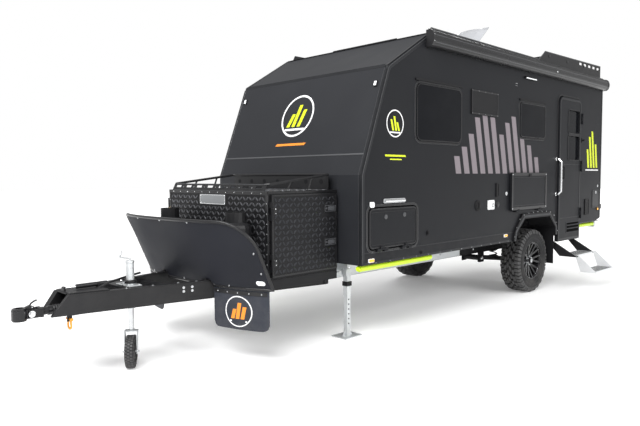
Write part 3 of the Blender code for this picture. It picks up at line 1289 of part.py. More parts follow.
REAR_BAR_X = -2.17
REAR_BAR_Z = 1.005
REAR_BAR_HALF_H = 0.035
REAR_BAR_HALF_W = HALF_W - RAIL_W * 0.6
REAR_BAR_T = 0.05
REAR_POST_Y = 0.45
LAMP_Y = 0.86
LAMP_HALF_W = 0.12
LAMP_HALF_H = 0.07
SPARE_X = -2.30
SPARE_Z = 1.25
SPARE_Y = 0.0
SPARE_STEPS = 18


def build_rear():
    """The rear bar with lamp boxes and spare wheel carrier, and the spare wheel on it."""
    bar = piece("rear_bar", block((REAR_BAR_X, -REAR_BAR_HALF_W, REAR_BAR_Z - REAR_BAR_HALF_H),
                                  (REAR_BAR_X + REAR_BAR_T, REAR_BAR_HALF_W, REAR_BAR_Z + REAR_BAR_HALF_H)),
                                  BLACK)
    face = REAR_X - FIT
    for sign in (1, -1):
        y0, y1 = sorted((sign * REAR_POST_Y, sign * (REAR_POST_Y + REAR_BAR_T)))
        join(bar, block((REAR_BAR_X + LAP, y0, FLOOR_Z + WALL + OVER / 2),
                        (face, y1, REAR_BAR_Z + REAR_BAR_HALF_H - LAP)))
        y0, y1 = sorted((sign * (LAMP_Y - LAMP_HALF_W), sign * (LAMP_Y + LAMP_HALF_W)))
        join(bar, block((REAR_BAR_X - LAP * 2, y0, REAR_BAR_Z - LAMP_HALF_H),
                        (REAR_BAR_X + REAR_BAR_T - LAP, y1,
                                                                          REAR_BAR_Z + LAMP_HALF_H)))
    join(bar, block((REAR_BAR_X + LAP, -REAR_BAR_T, REAR_BAR_Z), (REAR_BAR_X + REAR_BAR_T - LAP, REAR_BAR_T,
                                                               SPARE_Z + REAR_BAR_T)))
    join(bar, rod((REAR_BAR_X + LAP * 2, 0, SPARE_Z), (SPARE_X - OVER, 0, SPARE_Z), HUB_R * 0.8))
    half = TYRE_W / 2
    hub = (HUB_R * 0.8 + FIT) / math.cos(math.pi / SPARE_STEPS)
    disc = (half * 0.05, half * 0.3)
    section = [(r, a) for a, r in tyre_profile(SPARE_STEPS)[:6]]
    inner = [(RIM_R - BARREL_WALL, half * 0.8), (RIM_R - BARREL_WALL * 2, disc[1]), (hub, disc[1]),
             (hub, disc[0]), (RIM_R - BARREL_WALL * 2, disc[0]), (RIM_R - BARREL_WALL, -half * 0.8)]
    section = section + inner + [(r, -a) for r, a in section[::-1]]
    wheel = turned(section, SPARE_STEPS, "X")
    ob = piece("spare_wheel", wheel, RUBBER, smooth=True)
    ob.location = (REAR_BAR_X - half - FIT * 3, SPARE_Y, SPARE_Z)


# Toolbox on the drawbar, in front of the body
TOOL_FRONT_X = 4.150
TOOL_REAR_X = FRONT_X + LAP
TOOL_HALF_W = 0.742
TOOL_LOW_Z = BAR_TOP_Z + FIT
TOOL_TOP_Z = 1.360
TOOL_SHEET = 0.004
TOOL_SILL_LOW_Z = 0.565
TOOL_SILL_IN_Y = 0.64
TOOL_DOOR_T = 0.018
TOOL_DOOR_X = (3.372, 4.128)
TOOL_DOOR_Z = (0.660, 1.335)
TOOL_LIP = 0.02
TOOL_HINGE_Z = (0.78, 1.20)
TOOL_AXIS_X = TOOL_DOOR_X[1] + 0.009
TOOL_AXIS_Y = TOOL_HALF_W + RUN + TOOL_DOOR_T + KNUCKLE_R * 1.6


def build_toolbox():
    """A sheet metal box open at both sides, where its doors close it."""
    box = piece("toolbox", block((TOOL_REAR_X, -TOOL_HALF_W, TOOL_LOW_Z),
                                 (TOOL_FRONT_X, TOOL_HALF_W, TOOL_TOP_Z)), CHEQUER)
    inner_low = (TOOL_REAR_X + TOOL_SHEET, -TOOL_HALF_W + TOOL_SHEET, TOOL_LOW_Z + TOOL_SHEET)
    inner_high = (TOOL_FRONT_X - TOOL_SHEET, TOOL_HALF_W - TOOL_SHEET, TOOL_TOP_Z - TOOL_SHEET)
    cut(box, block(inner_low, inner_high))
    cut(box, block((TOOL_DOOR_X[0] + TOOL_LIP, -HALF_W, TOOL_DOOR_Z[0] + TOOL_LIP),
                   (TOOL_DOOR_X[1] - TOOL_LIP, HALF_W, TOOL_DOOR_Z[1] - TOOL_LIP)))
    for sign in (1, -1):
        y0, y1 = sorted((sign * TOOL_SILL_IN_Y, sign * (TOOL_HALF_W + LAP)))
        join(box, block((TOOL_REAR_X + LAP, y0, TOOL_SILL_LOW_Z),
                        (TOOL_FRONT_X - LAP, y1, TOOL_LOW_Z + TOOL_SHEET / 2)))
    for name, sign in (("toolbox_door_left", 1), ("toolbox_door_right", -1)):
        y0, y1 = sorted((sign * (TOOL_HALF_W + RUN), sign * (TOOL_HALF_W + RUN + TOOL_DOOR_T)))
        mesh = block((TOOL_DOOR_X[0], y0, TOOL_DOOR_Z[0]), (TOOL_DOOR_X[1], y1, TOOL_DOOR_Z[1]))
        door = piece(name, mesh, CHEQUER, (TOOL_AXIS_X, sign * TOOL_AXIS_Y, 0))
        for z in TOOL_HINGE_Z:
            to_leaf = (-KNUCKLE_R * 3, -sign * KNUCKLE_R * 1.8, 0)
            to_frame = (KNUCKLE_R * 0.6, -sign * (TOOL_AXIS_Y - TOOL_HALF_W + TOOL_SHEET / 2), 0)
            add_hinge(door, box, (TOOL_AXIS_X, sign * TOOL_AXIS_Y, z), (0, 0, 1), to_leaf, to_frame)
    return box


# Rack on the toolbox: slotted front strip, side tubes and rear plate
TRAY_H = 0.055
TRAY_LEAN = 0.03
TRAY_T = 0.004
TRAY_HALF = 0.69
TRAY_SLOTS = 8
RACK_TUBE_R = 0.0125
RACK_TUBE_Y = 0.70
TOOL_RACK_REAR_X = 3.40
TOOL_RACK_REAR_Z = 1.495
STRUT_XS = (3.62, 3.86)


def build_toolbox_rack():
    """Rails and strips that keep a load on the toolbox lid."""
    z0 = TOOL_TOP_Z + FIT
    lean = [(TOOL_FRONT_X - LAP, z0), (TOOL_FRONT_X - LAP - TRAY_LEAN, z0 + TRAY_H),
            (TOOL_FRONT_X - LAP - TRAY_LEAN - TRAY_T, z0 + TRAY_H), (TOOL_FRONT_X - LAP * 2 - TRAY_T, z0)]
    rack = piece("toolbox_rack", plate(lean, -TRAY_HALF, TRAY_HALF, "Y"), BLACK)
    pitch = TRAY_HALF * 2 / TRAY_SLOTS
    for slot in range(TRAY_SLOTS):
        y = -TRAY_HALF + pitch * slot
        cut(rack, block((TOOL_FRONT_X - TRAY_H * 2, y + pitch * 0.25, z0 + TRAY_H * 0.4),
                        (TOOL_FRONT_X + OVER, y + pitch * 0.75, z0 + TRAY_H * 0.75)))
    rear = block((TOOL_RACK_REAR_X, -TRAY_HALF, z0), (TOOL_RACK_REAR_X + TRAY_T, TRAY_HALF,
                                                      TOOL_RACK_REAR_Z - LAP))
    join(rack, rear)
    front_z = z0 + TRAY_H - LAP
    front_x = TOOL_FRONT_X - LAP - TRAY_LEAN
    for sign in (1, -1):
        y = sign * RACK_TUBE_Y
        path = [(front_x, sign * (TRAY_HALF - OVER), front_z), (front_x - OVER, y, front_z + LAP),
                (TOOL_RACK_REAR_X + OVER, y, TOOL_RACK_REAR_Z),
                (TOOL_RACK_REAR_X, sign * (TRAY_HALF - OVER), TOOL_RACK_REAR_Z)]
        join(rack, tube(path, RACK_TUBE_R, smooth=1))
        for x in STRUT_XS:
            share = (front_x - x) / (front_x - TOOL_RACK_REAR_X)
            top = front_z + (TOOL_RACK_REAR_Z - front_z) * share
            join(rack, tube([(x + OVER * 2, y, z0 + RACK_TUBE_R * 0.4), (x, y, top)], RACK_TUBE_R * 0.7,
                            smooth=1))
    join(rack, rod((TOOL_RACK_REAR_X, -TRAY_HALF + OVER, TOOL_RACK_REAR_Z),
                   (TOOL_RACK_REAR_X, TRAY_HALF - OVER,
                                                                          TOOL_RACK_REAR_Z), RACK_TUBE_R, 12))


# Stone guard: a sheet in a tube frame, bowed in plan and leaning forward
GUARD_X = 4.455
GUARD_BOW = 0.24
GUARD_HALF = 0.93
GUARD_TOP_HALF = 0.70
GUARD_LOW_Z = 0.602
GUARD_H = 0.538
GUARD_LEAN = 0.24
GUARD_ROUND = 0.42
GUARD_SHEET = 0.006
GUARD_TUBE_R = 0.013


def guard_half(height_share):
    """Half width of the guard at a share of its height, with a round upper corner."""
    past = max(0.0, (height_share - (1 - GUARD_ROUND)) / GUARD_ROUND)
    return GUARD_TOP_HALF + (GUARD_HALF - GUARD_TOP_HALF) * math.sqrt(max(0.0, 1 - past ** 2))


def guard_point(across_share, height_share):
    """A point of the guard at shares of its half width and its height."""
    y = across_share * guard_half(height_share)
    x = GUARD_X - GUARD_BOW * abs(y) ** 3 + GUARD_LEAN * height_share
    return Vector((x, y, GUARD_LOW_Z + GUARD_H * height_share))


def build_guard():
    """The guard's sheet with its tube frame, notched over the drawbar rails."""
    rows, columns = 5, 10
    bm = bmesh.new()
    bmesh.ops.create_grid(bm, x_segments=columns, y_segments=rows, size=1)
    for vert in bm.verts:
        share = (vert.co.y + 1) / 2
        share = 1 - (1 - share) ** 1.6
        vert.co = guard_point(vert.co.x, share)
    mesh = bpy.data.meshes.new("guard")
    bm.to_mesh(mesh)
    bm.free()
    sheet = evaluated(mesh, [("SOLIDIFY", {"thickness": GUARD_SHEET, "offset": 0})])
    guard = piece("stone_guard", sheet, SHEET, smooth=True)
    edge = [guard_point(-1 + 2 * step / 12, 0) for step in range(13)]
    edge += [guard_point(1, 1 - (1 - step / 6) ** 1.6) for step in range(1, 7)]
    edge += [guard_point(1 - 2 * step / 8, 1) for step in range(1, 8)]
    edge += [guard_point(-1, 1 - (1 - step / 6) ** 1.6) for step in range(6, 0, -1)]
    join(guard, tube([tuple(point) for point in edge], GUARD_TUBE_R, closed=True, smooth=0))
    for sign in (1, -1):
        x0, x1 = GUARD_X - OVER * 3, GUARD_X + OVER * 3
        inner, outer = bar_y(x1) - BAR_W - OVER / 2, bar_y(x0) + OVER / 2
        y0, y1 = sorted((sign * inner, sign * outer))
        cut(guard, block((x0, y0, GUARD_LOW_Z - OVER * 2), (x1, y1, BAR_TOP_Z + FIT)))


# Front mud flaps under the guard
FRONT_FLAP_Y = (0.40, 0.90)
FRONT_FLAP_LOW_Z = 0.27
FRONT_FLAP_T = 0.008


def build_front_flaps():
    """A rubber flap under each end of the guard, bent like it."""
    y0, y1 = FRONT_FLAP_Y
    for name, sign in (("front_flap_left", 1), ("front_flap_right", -1)):
        outline = []
        ys = [y0 + (y1 - y0) * step / 5 for step in range(6)]
        for y in ys:
            outline.append((GUARD_X - GUARD_BOW * y ** 3, y))
        for y in ys[::-1]:
            outline.append((GUARD_X - GUARD_BOW * y ** 3 - FRONT_FLAP_T, y))
        mesh = plate(outline, FRONT_FLAP_LOW_Z, GUARD_LOW_Z - GUARD_TUBE_R - FIT, "Z")
        piece(name, mesh if sign > 0 else mirrored(mesh), FLAP)


# Entry step: an upper tread on swing arms and a lower tread that folds onto it
STEP_X = (-1.20, -0.60)
STEP_PIVOT_Y = 0.90
STEP_PIVOT_Z = 0.62
STEP_TREAD_T = 0.022
UPPER_Y = (1.06, 1.262)
UPPER_Z = 0.43
LOWER_Y = (1.33, 1.53)
LOWER_Z = 0.245
STEP_ARM_T = 0.008
LOWER_PIVOT_Y = 1.285
LOWER_PIVOT_Z = 0.43


def build_steps(chassis):
    """The double entry step, folded out."""
    x0, x1 = STEP_X
    pin_z = STEP_PIVOT_Z
    upper = piece("step_upper", block((x0, UPPER_Y[0], UPPER_Z - STEP_TREAD_T), (x1, UPPER_Y[1], UPPER_Z)),
                  WHITE,
                  (0, STEP_PIVOT_Y, pin_z))
    lower = piece("step_lower", block((x0, LOWER_Y[0], LOWER_Z - STEP_TREAD_T), (x1, LOWER_Y[1], LOWER_Z)),
                  WHITE,
                  (0, LOWER_PIVOT_Y, LOWER_PIVOT_Z))
    wide = STEP_ARM_T * 2
    for sign, x in ((1, x1), (-1, x0)):
        a0, a1 = sorted((x - sign * LAP / 2, x + sign * STEP_ARM_T))
        join(upper, plate([(STEP_PIVOT_Y - wide, pin_z + wide), (STEP_PIVOT_Y + wide, pin_z + wide),
                           (UPPER_Y[1], UPPER_Z - LAP / 2), (LOWER_PIVOT_Y + wide, LOWER_PIVOT_Z + LAP / 2),
                           (LOWER_PIVOT_Y + wide, LOWER_PIVOT_Z - wide),
                           (UPPER_Y[0], UPPER_Z - STEP_TREAD_T + LAP / 2),
                           (STEP_PIVOT_Y - wide, pin_z - wide)], a0, a1, "X"))
        inset = LAP / 2 + FIT
        b0, b1 = sorted((x - sign * inset, x - sign * (inset + STEP_ARM_T)))
        join(lower, plate([(LOWER_PIVOT_Y - wide, LOWER_PIVOT_Z - wide * 0.8),
                           (LOWER_PIVOT_Y - wide, LOWER_PIVOT_Z + wide * 0.8),
                           (LOWER_PIVOT_Y + wide, LOWER_PIVOT_Z + wide * 0.8),
                           (LOWER_Y[1] - LAP, LOWER_Z - LAP),
                           (LOWER_Y[0] + LAP, LOWER_Z - STEP_TREAD_T + LAP)], b0, b1, "X"))
        hang = x + sign * (STEP_ARM_T + KNUCKLE_GAP)
        c0, c1 = sorted((hang, hang + sign * STEP_ARM_T))
        join(chassis, block((c0, STEP_PIVOT_Y - wide, pin_z - wide),
                            (c1, STEP_PIVOT_Y + wide, CROSS_LOW_Z + OVER)))
    for x in STEP_X:
        sign = 1 if x == x1 else -1
        hang = x + sign * (STEP_ARM_T + KNUCKLE_GAP)
        other = CROSS_XS[5] if sign > 0 else CROSS_XS[6]
        c0, c1 = sorted((hang + sign * STEP_ARM_T / 2, other))
        join(chassis, block((c0, STEP_PIVOT_Y - wide, CROSS_LOW_Z + LAP),
                            (c1, STEP_PIVOT_Y + wide, CROSS_LOW_Z + OVER + LAP)))


# Furniture inside the body: bed base over the boot, side lockers and galley
BED_X = (1.30, 3.10)
BED_Y = 0.70
BED_Z = 1.30
BED_T = 0.18
GALLEY_D = 0.50
GALLEY_Z = 1.68


def build_furniture():
    """Bed base and galley, joined as one run of furniture on the floor."""
    low = FLOOR_Z + FLOOR_THICK + FIT
    bed = piece("furniture", block((BED_X[0], -BED_Y, BED_Z - BED_T), (BED_X[1], BED_Y, BED_Z)), PLY)
    join(bed, block((BED_X[0], -BED_Y, low), (BED_X[0] + WALL / 2, BED_Y, BED_Z - LAP)))
    back = -INSIDE_Y + OVER
    join(bed, block((ARCH_LOW_FRONT + WALL, back, low), (BED_X[0] + LAP, back + GALLEY_D, GALLEY_Z)))
    join(bed, block((REAR_X + WALL * 2, back, low), (-ARCH_LOW_REAR - WALL, back + GALLEY_D, BED_Z)))
    join(bed, block((-ARCH_LOW_REAR - WALL * 2, back, ARCH_TOP_Z + WALL),
                    (ARCH_LOW_FRONT + WALL * 2, back + GALLEY_D, BED_Z - LAP)))


def main():
    walls = build_walls()
    build_panels()
    build_floor()
    build_arch_trims()
    build_entry_door(walls[0])
    build_grab_handle()
    build_hatches(walls)
    build_table(walls[0])
    build_mesh_vent()
    build_awning()
    build_roof_rack()
    build_fairing()
    build_roof_vent()
    chassis = build_chassis()
    build_suspension()
    build_wheels()
    build_drawbar()
    build_bottles()
    build_coupling()
    build_shackle()
    build_jockey()
    build_steadies()
    build_side_rails()
    build_rear()
    build_toolbox()
    build_toolbox_rack()
    build_guard()
    build_front_flaps()
    build_steps(chassis)
    build_furniture()
    rear_most = REAR_BAR_X - TYRE_W
    left_most = LOWER_Y[1]
    right_most = -HALF_W - HATCH_PROUD - HINGE_OFF - KNUCKLE_R
    ROOT.location = (-(COUPLING_TIP_X + rear_most) / 2, -(left_most + right_most) / 2, 0)


main()
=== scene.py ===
"""Looks for the hybrid caravan: finishes for its solids, and the trim, lamps, tread plate and glass.

Every shape is worked out in the caravan's own measures: x ahead of the axle, y to the kerb side and z above
the ground. place_shift then carries it to where the solids stand.
"""
import math

import bmesh
import bpy
import numpy as np
from mathutils import Matrix, Vector


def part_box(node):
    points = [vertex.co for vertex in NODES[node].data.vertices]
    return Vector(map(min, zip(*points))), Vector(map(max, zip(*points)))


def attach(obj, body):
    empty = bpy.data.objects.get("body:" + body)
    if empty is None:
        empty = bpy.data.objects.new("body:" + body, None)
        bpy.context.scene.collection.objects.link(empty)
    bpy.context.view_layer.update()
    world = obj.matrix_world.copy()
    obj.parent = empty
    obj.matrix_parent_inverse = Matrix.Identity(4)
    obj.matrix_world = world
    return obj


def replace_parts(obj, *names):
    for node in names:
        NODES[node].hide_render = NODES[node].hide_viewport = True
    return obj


bl_info = {
    "name": "Hybrid caravan looks",
    "version": (1, 0, 0),
    "blender": (4, 5, 0),
    "location": "View3D > Sidebar > Caravan",
    "description": "Finishes, trim, lamps, tread plate and glass for the hybrid caravan",
    "category": "Object",
}

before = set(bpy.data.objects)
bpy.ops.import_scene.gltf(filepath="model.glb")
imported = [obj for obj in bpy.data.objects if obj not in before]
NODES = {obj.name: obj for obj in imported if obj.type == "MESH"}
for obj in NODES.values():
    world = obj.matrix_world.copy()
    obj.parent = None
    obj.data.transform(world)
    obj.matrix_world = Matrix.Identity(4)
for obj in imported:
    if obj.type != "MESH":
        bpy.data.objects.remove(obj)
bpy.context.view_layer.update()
F = {}
GROUPS = {}

# Sizes of the solids that the pieces follow, in the caravan's own measures
AXLE = (0.0, 0.8575, 0.4)
HALF_W = 1.03
FRONT_X = 3.347
REAR_X = -2.056
SKIRT_Z = 0.7
NOSE_Z = 1.49
LEAN = (2.984, 2.468)
ROOF_FRONT_X = 2.349
ROOF_Z = 2.85
SEAM_Z = 1.668
FACE = HALF_W + 0.0004
TYRE_R = 0.4
TYRE_MID_Y = AXLE[1]
DOOR = (-1.248, -0.552, 0.6, 2.505)
STEP_HALF = 0.288
BAR_TOP = 0.637
BAR_SLOPE = 0.209
COUPLING_EYE = 5.858 - 0.052
JOCKEY = (5.02, 0.11)
HEADING = math.radians(232)
GUARD_POWER = 1.6
RACK_Y = 0.985
REAR_BAR_X = -2.17


def place_shift():
    """From the caravan's own measures to the frame: what carries the left tyre's middle to its solid."""
    low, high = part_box("tyre_left")
    return np.array((Vector(low) + Vector(high)) / 2) - np.array(AXLE)


SHIFT = place_shift()


# Shapes: each is a pair of an array of points and a list of faces


def whole(shape):
    """A shape as it is, or the one shape that a list of them makes."""
    return joined(shape) if isinstance(shape, list) else shape


def joined(shapes):
    """One shape from several, their points stacked and their face numbers moved on."""
    points, faces, start = [], [], 0
    for verts, quads in map(whole, shapes):
        points.append(verts)
        faces += [tuple(i + start for i in quad) for quad in quads]
        start += len(verts)
    return np.vstack(points), faces


def ring_faces(rings, count, wrap=False, ends=True):
    """Quads between rings of count points, round each ring, with the two ends closed by one face each."""
    i, j = np.meshgrid(np.arange(rings - (0 if wrap else 1)), np.arange(count), indexing="ij")
    k, n = (i + 1) % rings, (j + 1) % count
    faces = np.stack([i * count + j, i * count + n, k * count + n, k * count + j], -1).reshape(-1,
            4).tolist()
    if ends and not wrap:
        faces.append(list(range(count - 1, -1, -1)))
        faces.append(list(range((rings - 1) * count, rings * count)))
    return [tuple(face) for face in faces]


def thick_sheet(front, back):
    """A sheet between two grids of points, with walls between their four sides."""
    rows, columns = front.shape[:2]
    count = rows * columns
    i, j = np.meshgrid(np.arange(rows - 1), np.arange(columns - 1), indexing="ij")
    a = i * columns + j
    faces = [tuple(q) for q in np.stack([a, a + 1, a + columns + 1, a + columns], -1).reshape(-1,
            4).tolist()]
    rim = [i * columns for i in range(rows)] + [(rows - 1) * columns + j for j in range(1, columns)]
    rim += [i * columns + columns - 1 for i in range(rows - 2, -1, -1)] + list(range(columns - 2, 0, -1))
    walls = [(a, b, b + count, a + count) for a, b in zip(rim, rim[1:] + rim[:1])]
    return (np.vstack([front.reshape(-1, 3), back.reshape(-1, 3)]),
            faces + [tuple(i + count for i in f[::-1]) for f in faces] + walls)


AXES = {"X": (2, 0, 1), "Y": (0, 2, 1), "Z": (0, 1, 2)}


def full_turn(steps):
    """Angles evenly round a whole turn."""
    return np.linspace(0, 2 * math.pi, steps, endpoint=False)


def on_axis(a, b, c, axis):
    """Points with a and b in the plane across an axis and c along it."""
    return np.stack([(a, b, c)[k] for k in AXES[axis]], -1)


def inset(outline, by):
    """The closed outline moved inwards: each point goes along its corner's mitre."""
    p = np.asarray(outline, float)
    area = np.sum(p[:, 0] * np.roll(p[:, 1], -1) - np.roll(p[:, 0], -1) * p[:, 1])
    side = np.sign(area) or 1.0
    before, after = p - np.roll(p, 1, 0), np.roll(p, -1, 0) - p
    before /= np.linalg.norm(before, axis=1)[:, None] + 1e-12
    after /= np.linalg.norm(after, axis=1)[:, None] + 1e-12
    n1 = np.stack([-before[:, 1], before[:, 0]], -1) * side
    n2 = np.stack([-after[:, 1], after[:, 0]], -1) * side
    mitre = n1 + n2
    mitre /= np.maximum(np.sum(mitre * n1, 1), 0.35)[:, None] + 1e-12
    return p + mitre * by


def points_of(outline):
    """An outline's points; five or six plain numbers stand for a rectangle with round corners."""
    return rounded(*outline) if np.ndim(outline) == 1 else np.asarray(outline, float)


def slab(outline, low, high, axis="Y", edge=0.0015):
    """A flat outline between two planes, with both its rims cut back by a small edge."""
    p = points_of(outline)
    edge = min(edge, abs(high - low) / 2.01)
    rings = [(inset(p, edge), low), (p, low + edge), (p, high - edge), (inset(p, edge), high)]
    verts = np.vstack([on_axis(q[:, 0], q[:, 1], np.full(len(q), c), axis) for q, c in rings])
    return verts, ring_faces(len(rings), len(p))


def frame_slab(outline, width, low, high, axis="Y", edge=0.0015):
    """A flat closed band inside an outline: its section, a small rounded box, goes round the outline."""
    p = points_of(outline)
    edge = min(edge, abs(high - low) / 2.01, width / 2.01)
    section = [(edge, low), (0, low + edge), (0, high - edge), (edge, high), (width - edge, high),
            (width, high - edge), (width, low + edge), (width - edge, low)]
    rings = []
    for by, c in section:
        q = inset(p, by)
        rings.append(on_axis(q[:, 0], q[:, 1], np.full(len(q), c), axis))
    verts = np.stack(rings, 1).reshape(-1, 3)
    return verts, ring_faces(len(p), len(section), wrap=True)


def rounded(a0, a1, b0, b1, radius, steps=5):
    """The outline of a rectangle whose corners are quarter circles."""
    turn = np.repeat(np.arange(4), steps + 1) * math.pi / 2 + np.tile(np.linspace(0, math.pi / 2,
            steps + 1), 4)
    ca = np.repeat([a1 - radius, a0 + radius, a0 + radius, a1 - radius], steps + 1)
    cb = np.repeat([b1 - radius, b1 - radius, b0 + radius, b0 + radius], steps + 1)
    return np.stack([ca + radius * np.cos(turn), cb + radius * np.sin(turn)], -1)


def box(low, high, edge=0.0015):
    """A box between two corners with its upright rims cut back."""
    (x0, y0, z0), (x1, y1, z1) = low, high
    return slab([(x0, y0), (x1, y0), (x1, y1), (x0, y1)], z0, z1, "Z", edge)


def lathe(profile, at, axis="Y", steps=48, closed=False):
    """A profile of radius and height turned round an axis through a point; closed joins its two ends."""
    p = np.asarray(profile, float)
    turn = full_turn(steps)
    a = p[:, 0][:, None] * np.cos(turn)
    b = p[:, 0][:, None] * np.sin(turn)
    c = np.repeat(p[:, 1][:, None], steps, 1)
    verts = on_axis(a.ravel(), b.ravel(), c.ravel(), axis) + np.array(at)
    return verts, ring_faces(len(p), steps, wrap=closed, ends=not closed)


def curved(points, per=6):
    """More points on a smooth curve through the given ones, by the Catmull-Rom rule."""
    p = np.asarray(points, float)
    p = np.vstack([2 * p[0] - p[1], p, 2 * p[-1] - p[-2]])
    t = np.linspace(0, 1, per, endpoint=False)[None, :, None]
    a, b, c, d = (p[k:len(p) - 3 + k][:, None, :] for k in range(4))
    q = 0.5 * (2 * b + (c - a) * t + (2 * a - 5 * b + 4 * c - d) * t ** 2 + (3 * b - a - 3 * c + d)
            * t ** 3)
    return np.vstack([q.reshape(-1, p.shape[1]), p[-2]])


def bent(points, radius, steps=5):
    """The path with each corner replaced by a short curve that leaves and meets its sides a radius away."""
    p = np.asarray(points, float)
    before, after = np.roll(p, 1, 0), np.roll(p, -1, 0)
    ub = (before - p) / (np.linalg.norm(before - p, axis=1)[:, None] + 1e-12)
    ua = (after - p) / (np.linalg.norm(after - p, axis=1)[:, None] + 1e-12)
    t = np.linspace(0, 1, steps)[None, :, None]
    corner = ((1 - t) ** 2 * (p + ub * radius)[:, None] + 2 * t * (1 - t) * p[:, None] + t ** 2
            * (p + ua * radius)[:, None])
    return np.vstack([p[:1], corner[1:-1].reshape(-1, p.shape[1]), p[-1:]])


def carried(path, section, closed=False, up=None):
    """A closed section of points carried square along a path; up is what its second axis keeps to."""
    p = np.asarray(path, float)
    s = np.asarray(section, float)
    ahead = np.roll(p, -1, 0) - np.roll(p, 1, 0)
    if not closed:
        ahead[0], ahead[-1] = p[1] - p[0], p[-1] - p[-2]
    ahead /= np.linalg.norm(ahead, axis=1)[:, None] + 1e-12
    if up is None:
        spread = np.linalg.svd(p - p.mean(0))[2]
        up = spread[2] if len(p) > 2 else np.eye(3)[np.argmin(np.abs(ahead[0]))]
    side = np.cross(ahead, np.asarray(up, float))
    side /= np.linalg.norm(side, axis=1)[:, None] + 1e-12
    top = np.cross(side, ahead)
    verts = p[:, None] + side[:, None] * s[None, :, :1] + top[:, None] * s[None, :, 1:]
    return verts.reshape(-1, 3), ring_faces(len(p), len(s), wrap=closed)


def tube(path, radius, sides=10, closed=False):
    """A round bar along a path."""
    turn = full_turn(sides)
    section = np.stack([radius * np.cos(turn), radius * np.sin(turn)], -1)
    return carried(path, section, closed)


def copies(shape, places, turns=None):
    """A shape set down at each place, turned there by its own matrix where turns are given."""
    verts, faces = shape
    places = np.asarray(places, float)
    many = verts[None] if turns is None else np.einsum("kij,nj->kni", np.asarray(turns), verts)
    many = np.broadcast_to(many, (len(places),) + verts.shape) + places[:, None]
    offsets = range(0, len(places) * len(verts), len(verts))
    return many.reshape(-1, 3), [tuple(i + k for i in face) for k in offsets for face in faces]


def other_side(shape):
    """The mirror image of a shape across the caravan's middle."""
    verts, faces = whole(shape)
    return verts * np.array((1, -1, 1)), [tuple(reversed(face)) for face in faces]


def both(shape):
    """A shape and its mirror image."""
    return joined([shape, other_side(shape)])


def turn_about(axis, angle):
    """The matrix that turns by an angle about X, Y or Z."""
    return np.array(Matrix.Rotation(angle, 3, axis))


def moved(shape, by=(0, 0, 0), turn=None):
    """A shape turned about zero and then shifted."""
    verts, faces = whole(shape)
    return (verts if turn is None else verts @ np.asarray(turn).T) + np.array(by), faces


def dome(radius, height, steps=10, rings=3):
    """A low round head on the plane below it, as of a rivet or a bolt, pointing up."""
    lift = np.linspace(0, math.pi / 2, rings + 1)[:-1]
    profile = np.stack([radius * np.cos(lift), height * np.sin(lift)], -1)
    profile = np.vstack([[radius * 0.96, -height * 0.3], profile, [radius * 0.12, height]])
    return lathe(profile, (0, 0, 0), "Z", steps)


def hex_head(radius, height):
    """A six-sided bolt head with a washer under it, pointing up."""
    washer = lathe([(radius * 1.35, -0.0003), (radius * 1.35, height * 0.2), (radius * 0.6, height * 0.2)],
            (0, 0, 0), "Z", 14)
    nut = lathe([(radius, height * 0.15), (radius, height * 0.85), (radius * 0.8, height)], (0, 0, 0), "Z",
            6)
    return joined([washer, nut])


def same_side(shape):
    """A shape as it is, beside other_side."""
    return shape


SIDES = (("left", same_side), ("right", other_side))
FACING = {"+X": turn_about("Y", math.pi / 2), "-X": turn_about("Y", -math.pi / 2),
        "+Y": turn_about("X", -math.pi / 2), "-Y": turn_about("X", math.pi / 2), "+Z": np.eye(3),
        "-Z": turn_about("X", math.pi)}


def heads(shape, places, facing):
    """Copies of an upright head that all face one way."""
    return copies(shape, places, [FACING[facing]] * len(places))


def piece(name, shape, finish, body="caravan", smooth=35.0):
    """A finished object at the origin that rides on a body: doubles merged, faces turned outwards."""
    verts, faces = whole(shape)
    mesh = bpy.data.meshes.new(name)
    mesh.from_pydata((verts + SHIFT).tolist(), [], faces)
    bm = bmesh.new()
    bm.from_mesh(mesh)
    bmesh.ops.remove_doubles(bm, verts=bm.verts, dist=0.00002)
    bmesh.ops.recalc_face_normals(bm, faces=bm.faces)
    bm.to_mesh(mesh)
    bm.free()
    mesh.materials.append(F[finish])
    if smooth:
        mesh.shade_smooth()
        mesh.set_sharp_from_angle(angle=math.radians(smooth))
    ob = bpy.data.objects.new(name, mesh)
    bpy.context.scene.collection.objects.link(ob)
    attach(ob, body)
    return ob


# Finishes: node groups that several materials share, and the materials


def socket_kind(label):
    """Colour and Tint are colours, and every other named socket holds a number."""
    return "NodeSocketColor" if label in ("Colour", "Tint") else "NodeSocketFloat"


def new_group(name, inputs, outputs):
    """An empty shader node group with named sockets and its two end nodes."""
    group = bpy.data.node_groups.new(name, "ShaderNodeTree")
    for label, value in inputs.items():
        group.interface.new_socket(label, in_out="INPUT",
                socket_type=socket_kind(label)).default_value = value
    for label in outputs:
        group.interface.new_socket(label, in_out="OUTPUT", socket_type=socket_kind(label))
    return group, group.nodes.new("NodeGroupInput"), group.nodes.new("NodeGroupOutput")


def add_node(tree, kind, settings=None, **inputs):
    """A node with its settings and its inputs, each either a value or a socket to link from."""
    node = tree.nodes.new(kind)
    for key, value in (settings or {}).items():
        setattr(node, key, value)
    for key, value in inputs.items():
        by_number = key[0] == "i" and key[1:].isdigit()
        socket = node.inputs[int(key[1:]) if by_number else key.replace("_", " ")]
        if isinstance(value, bpy.types.NodeSocket):
            tree.links.new(value, socket)
        else:
            socket.default_value = value
    return node


def maths(tree, operation, *values):
    """What a Math node makes of values or sockets."""
    inputs = {f"i{k}": value for k, value in enumerate(values)}
    return add_node(tree, "ShaderNodeMath", {"operation": operation}, **inputs).outputs[0]


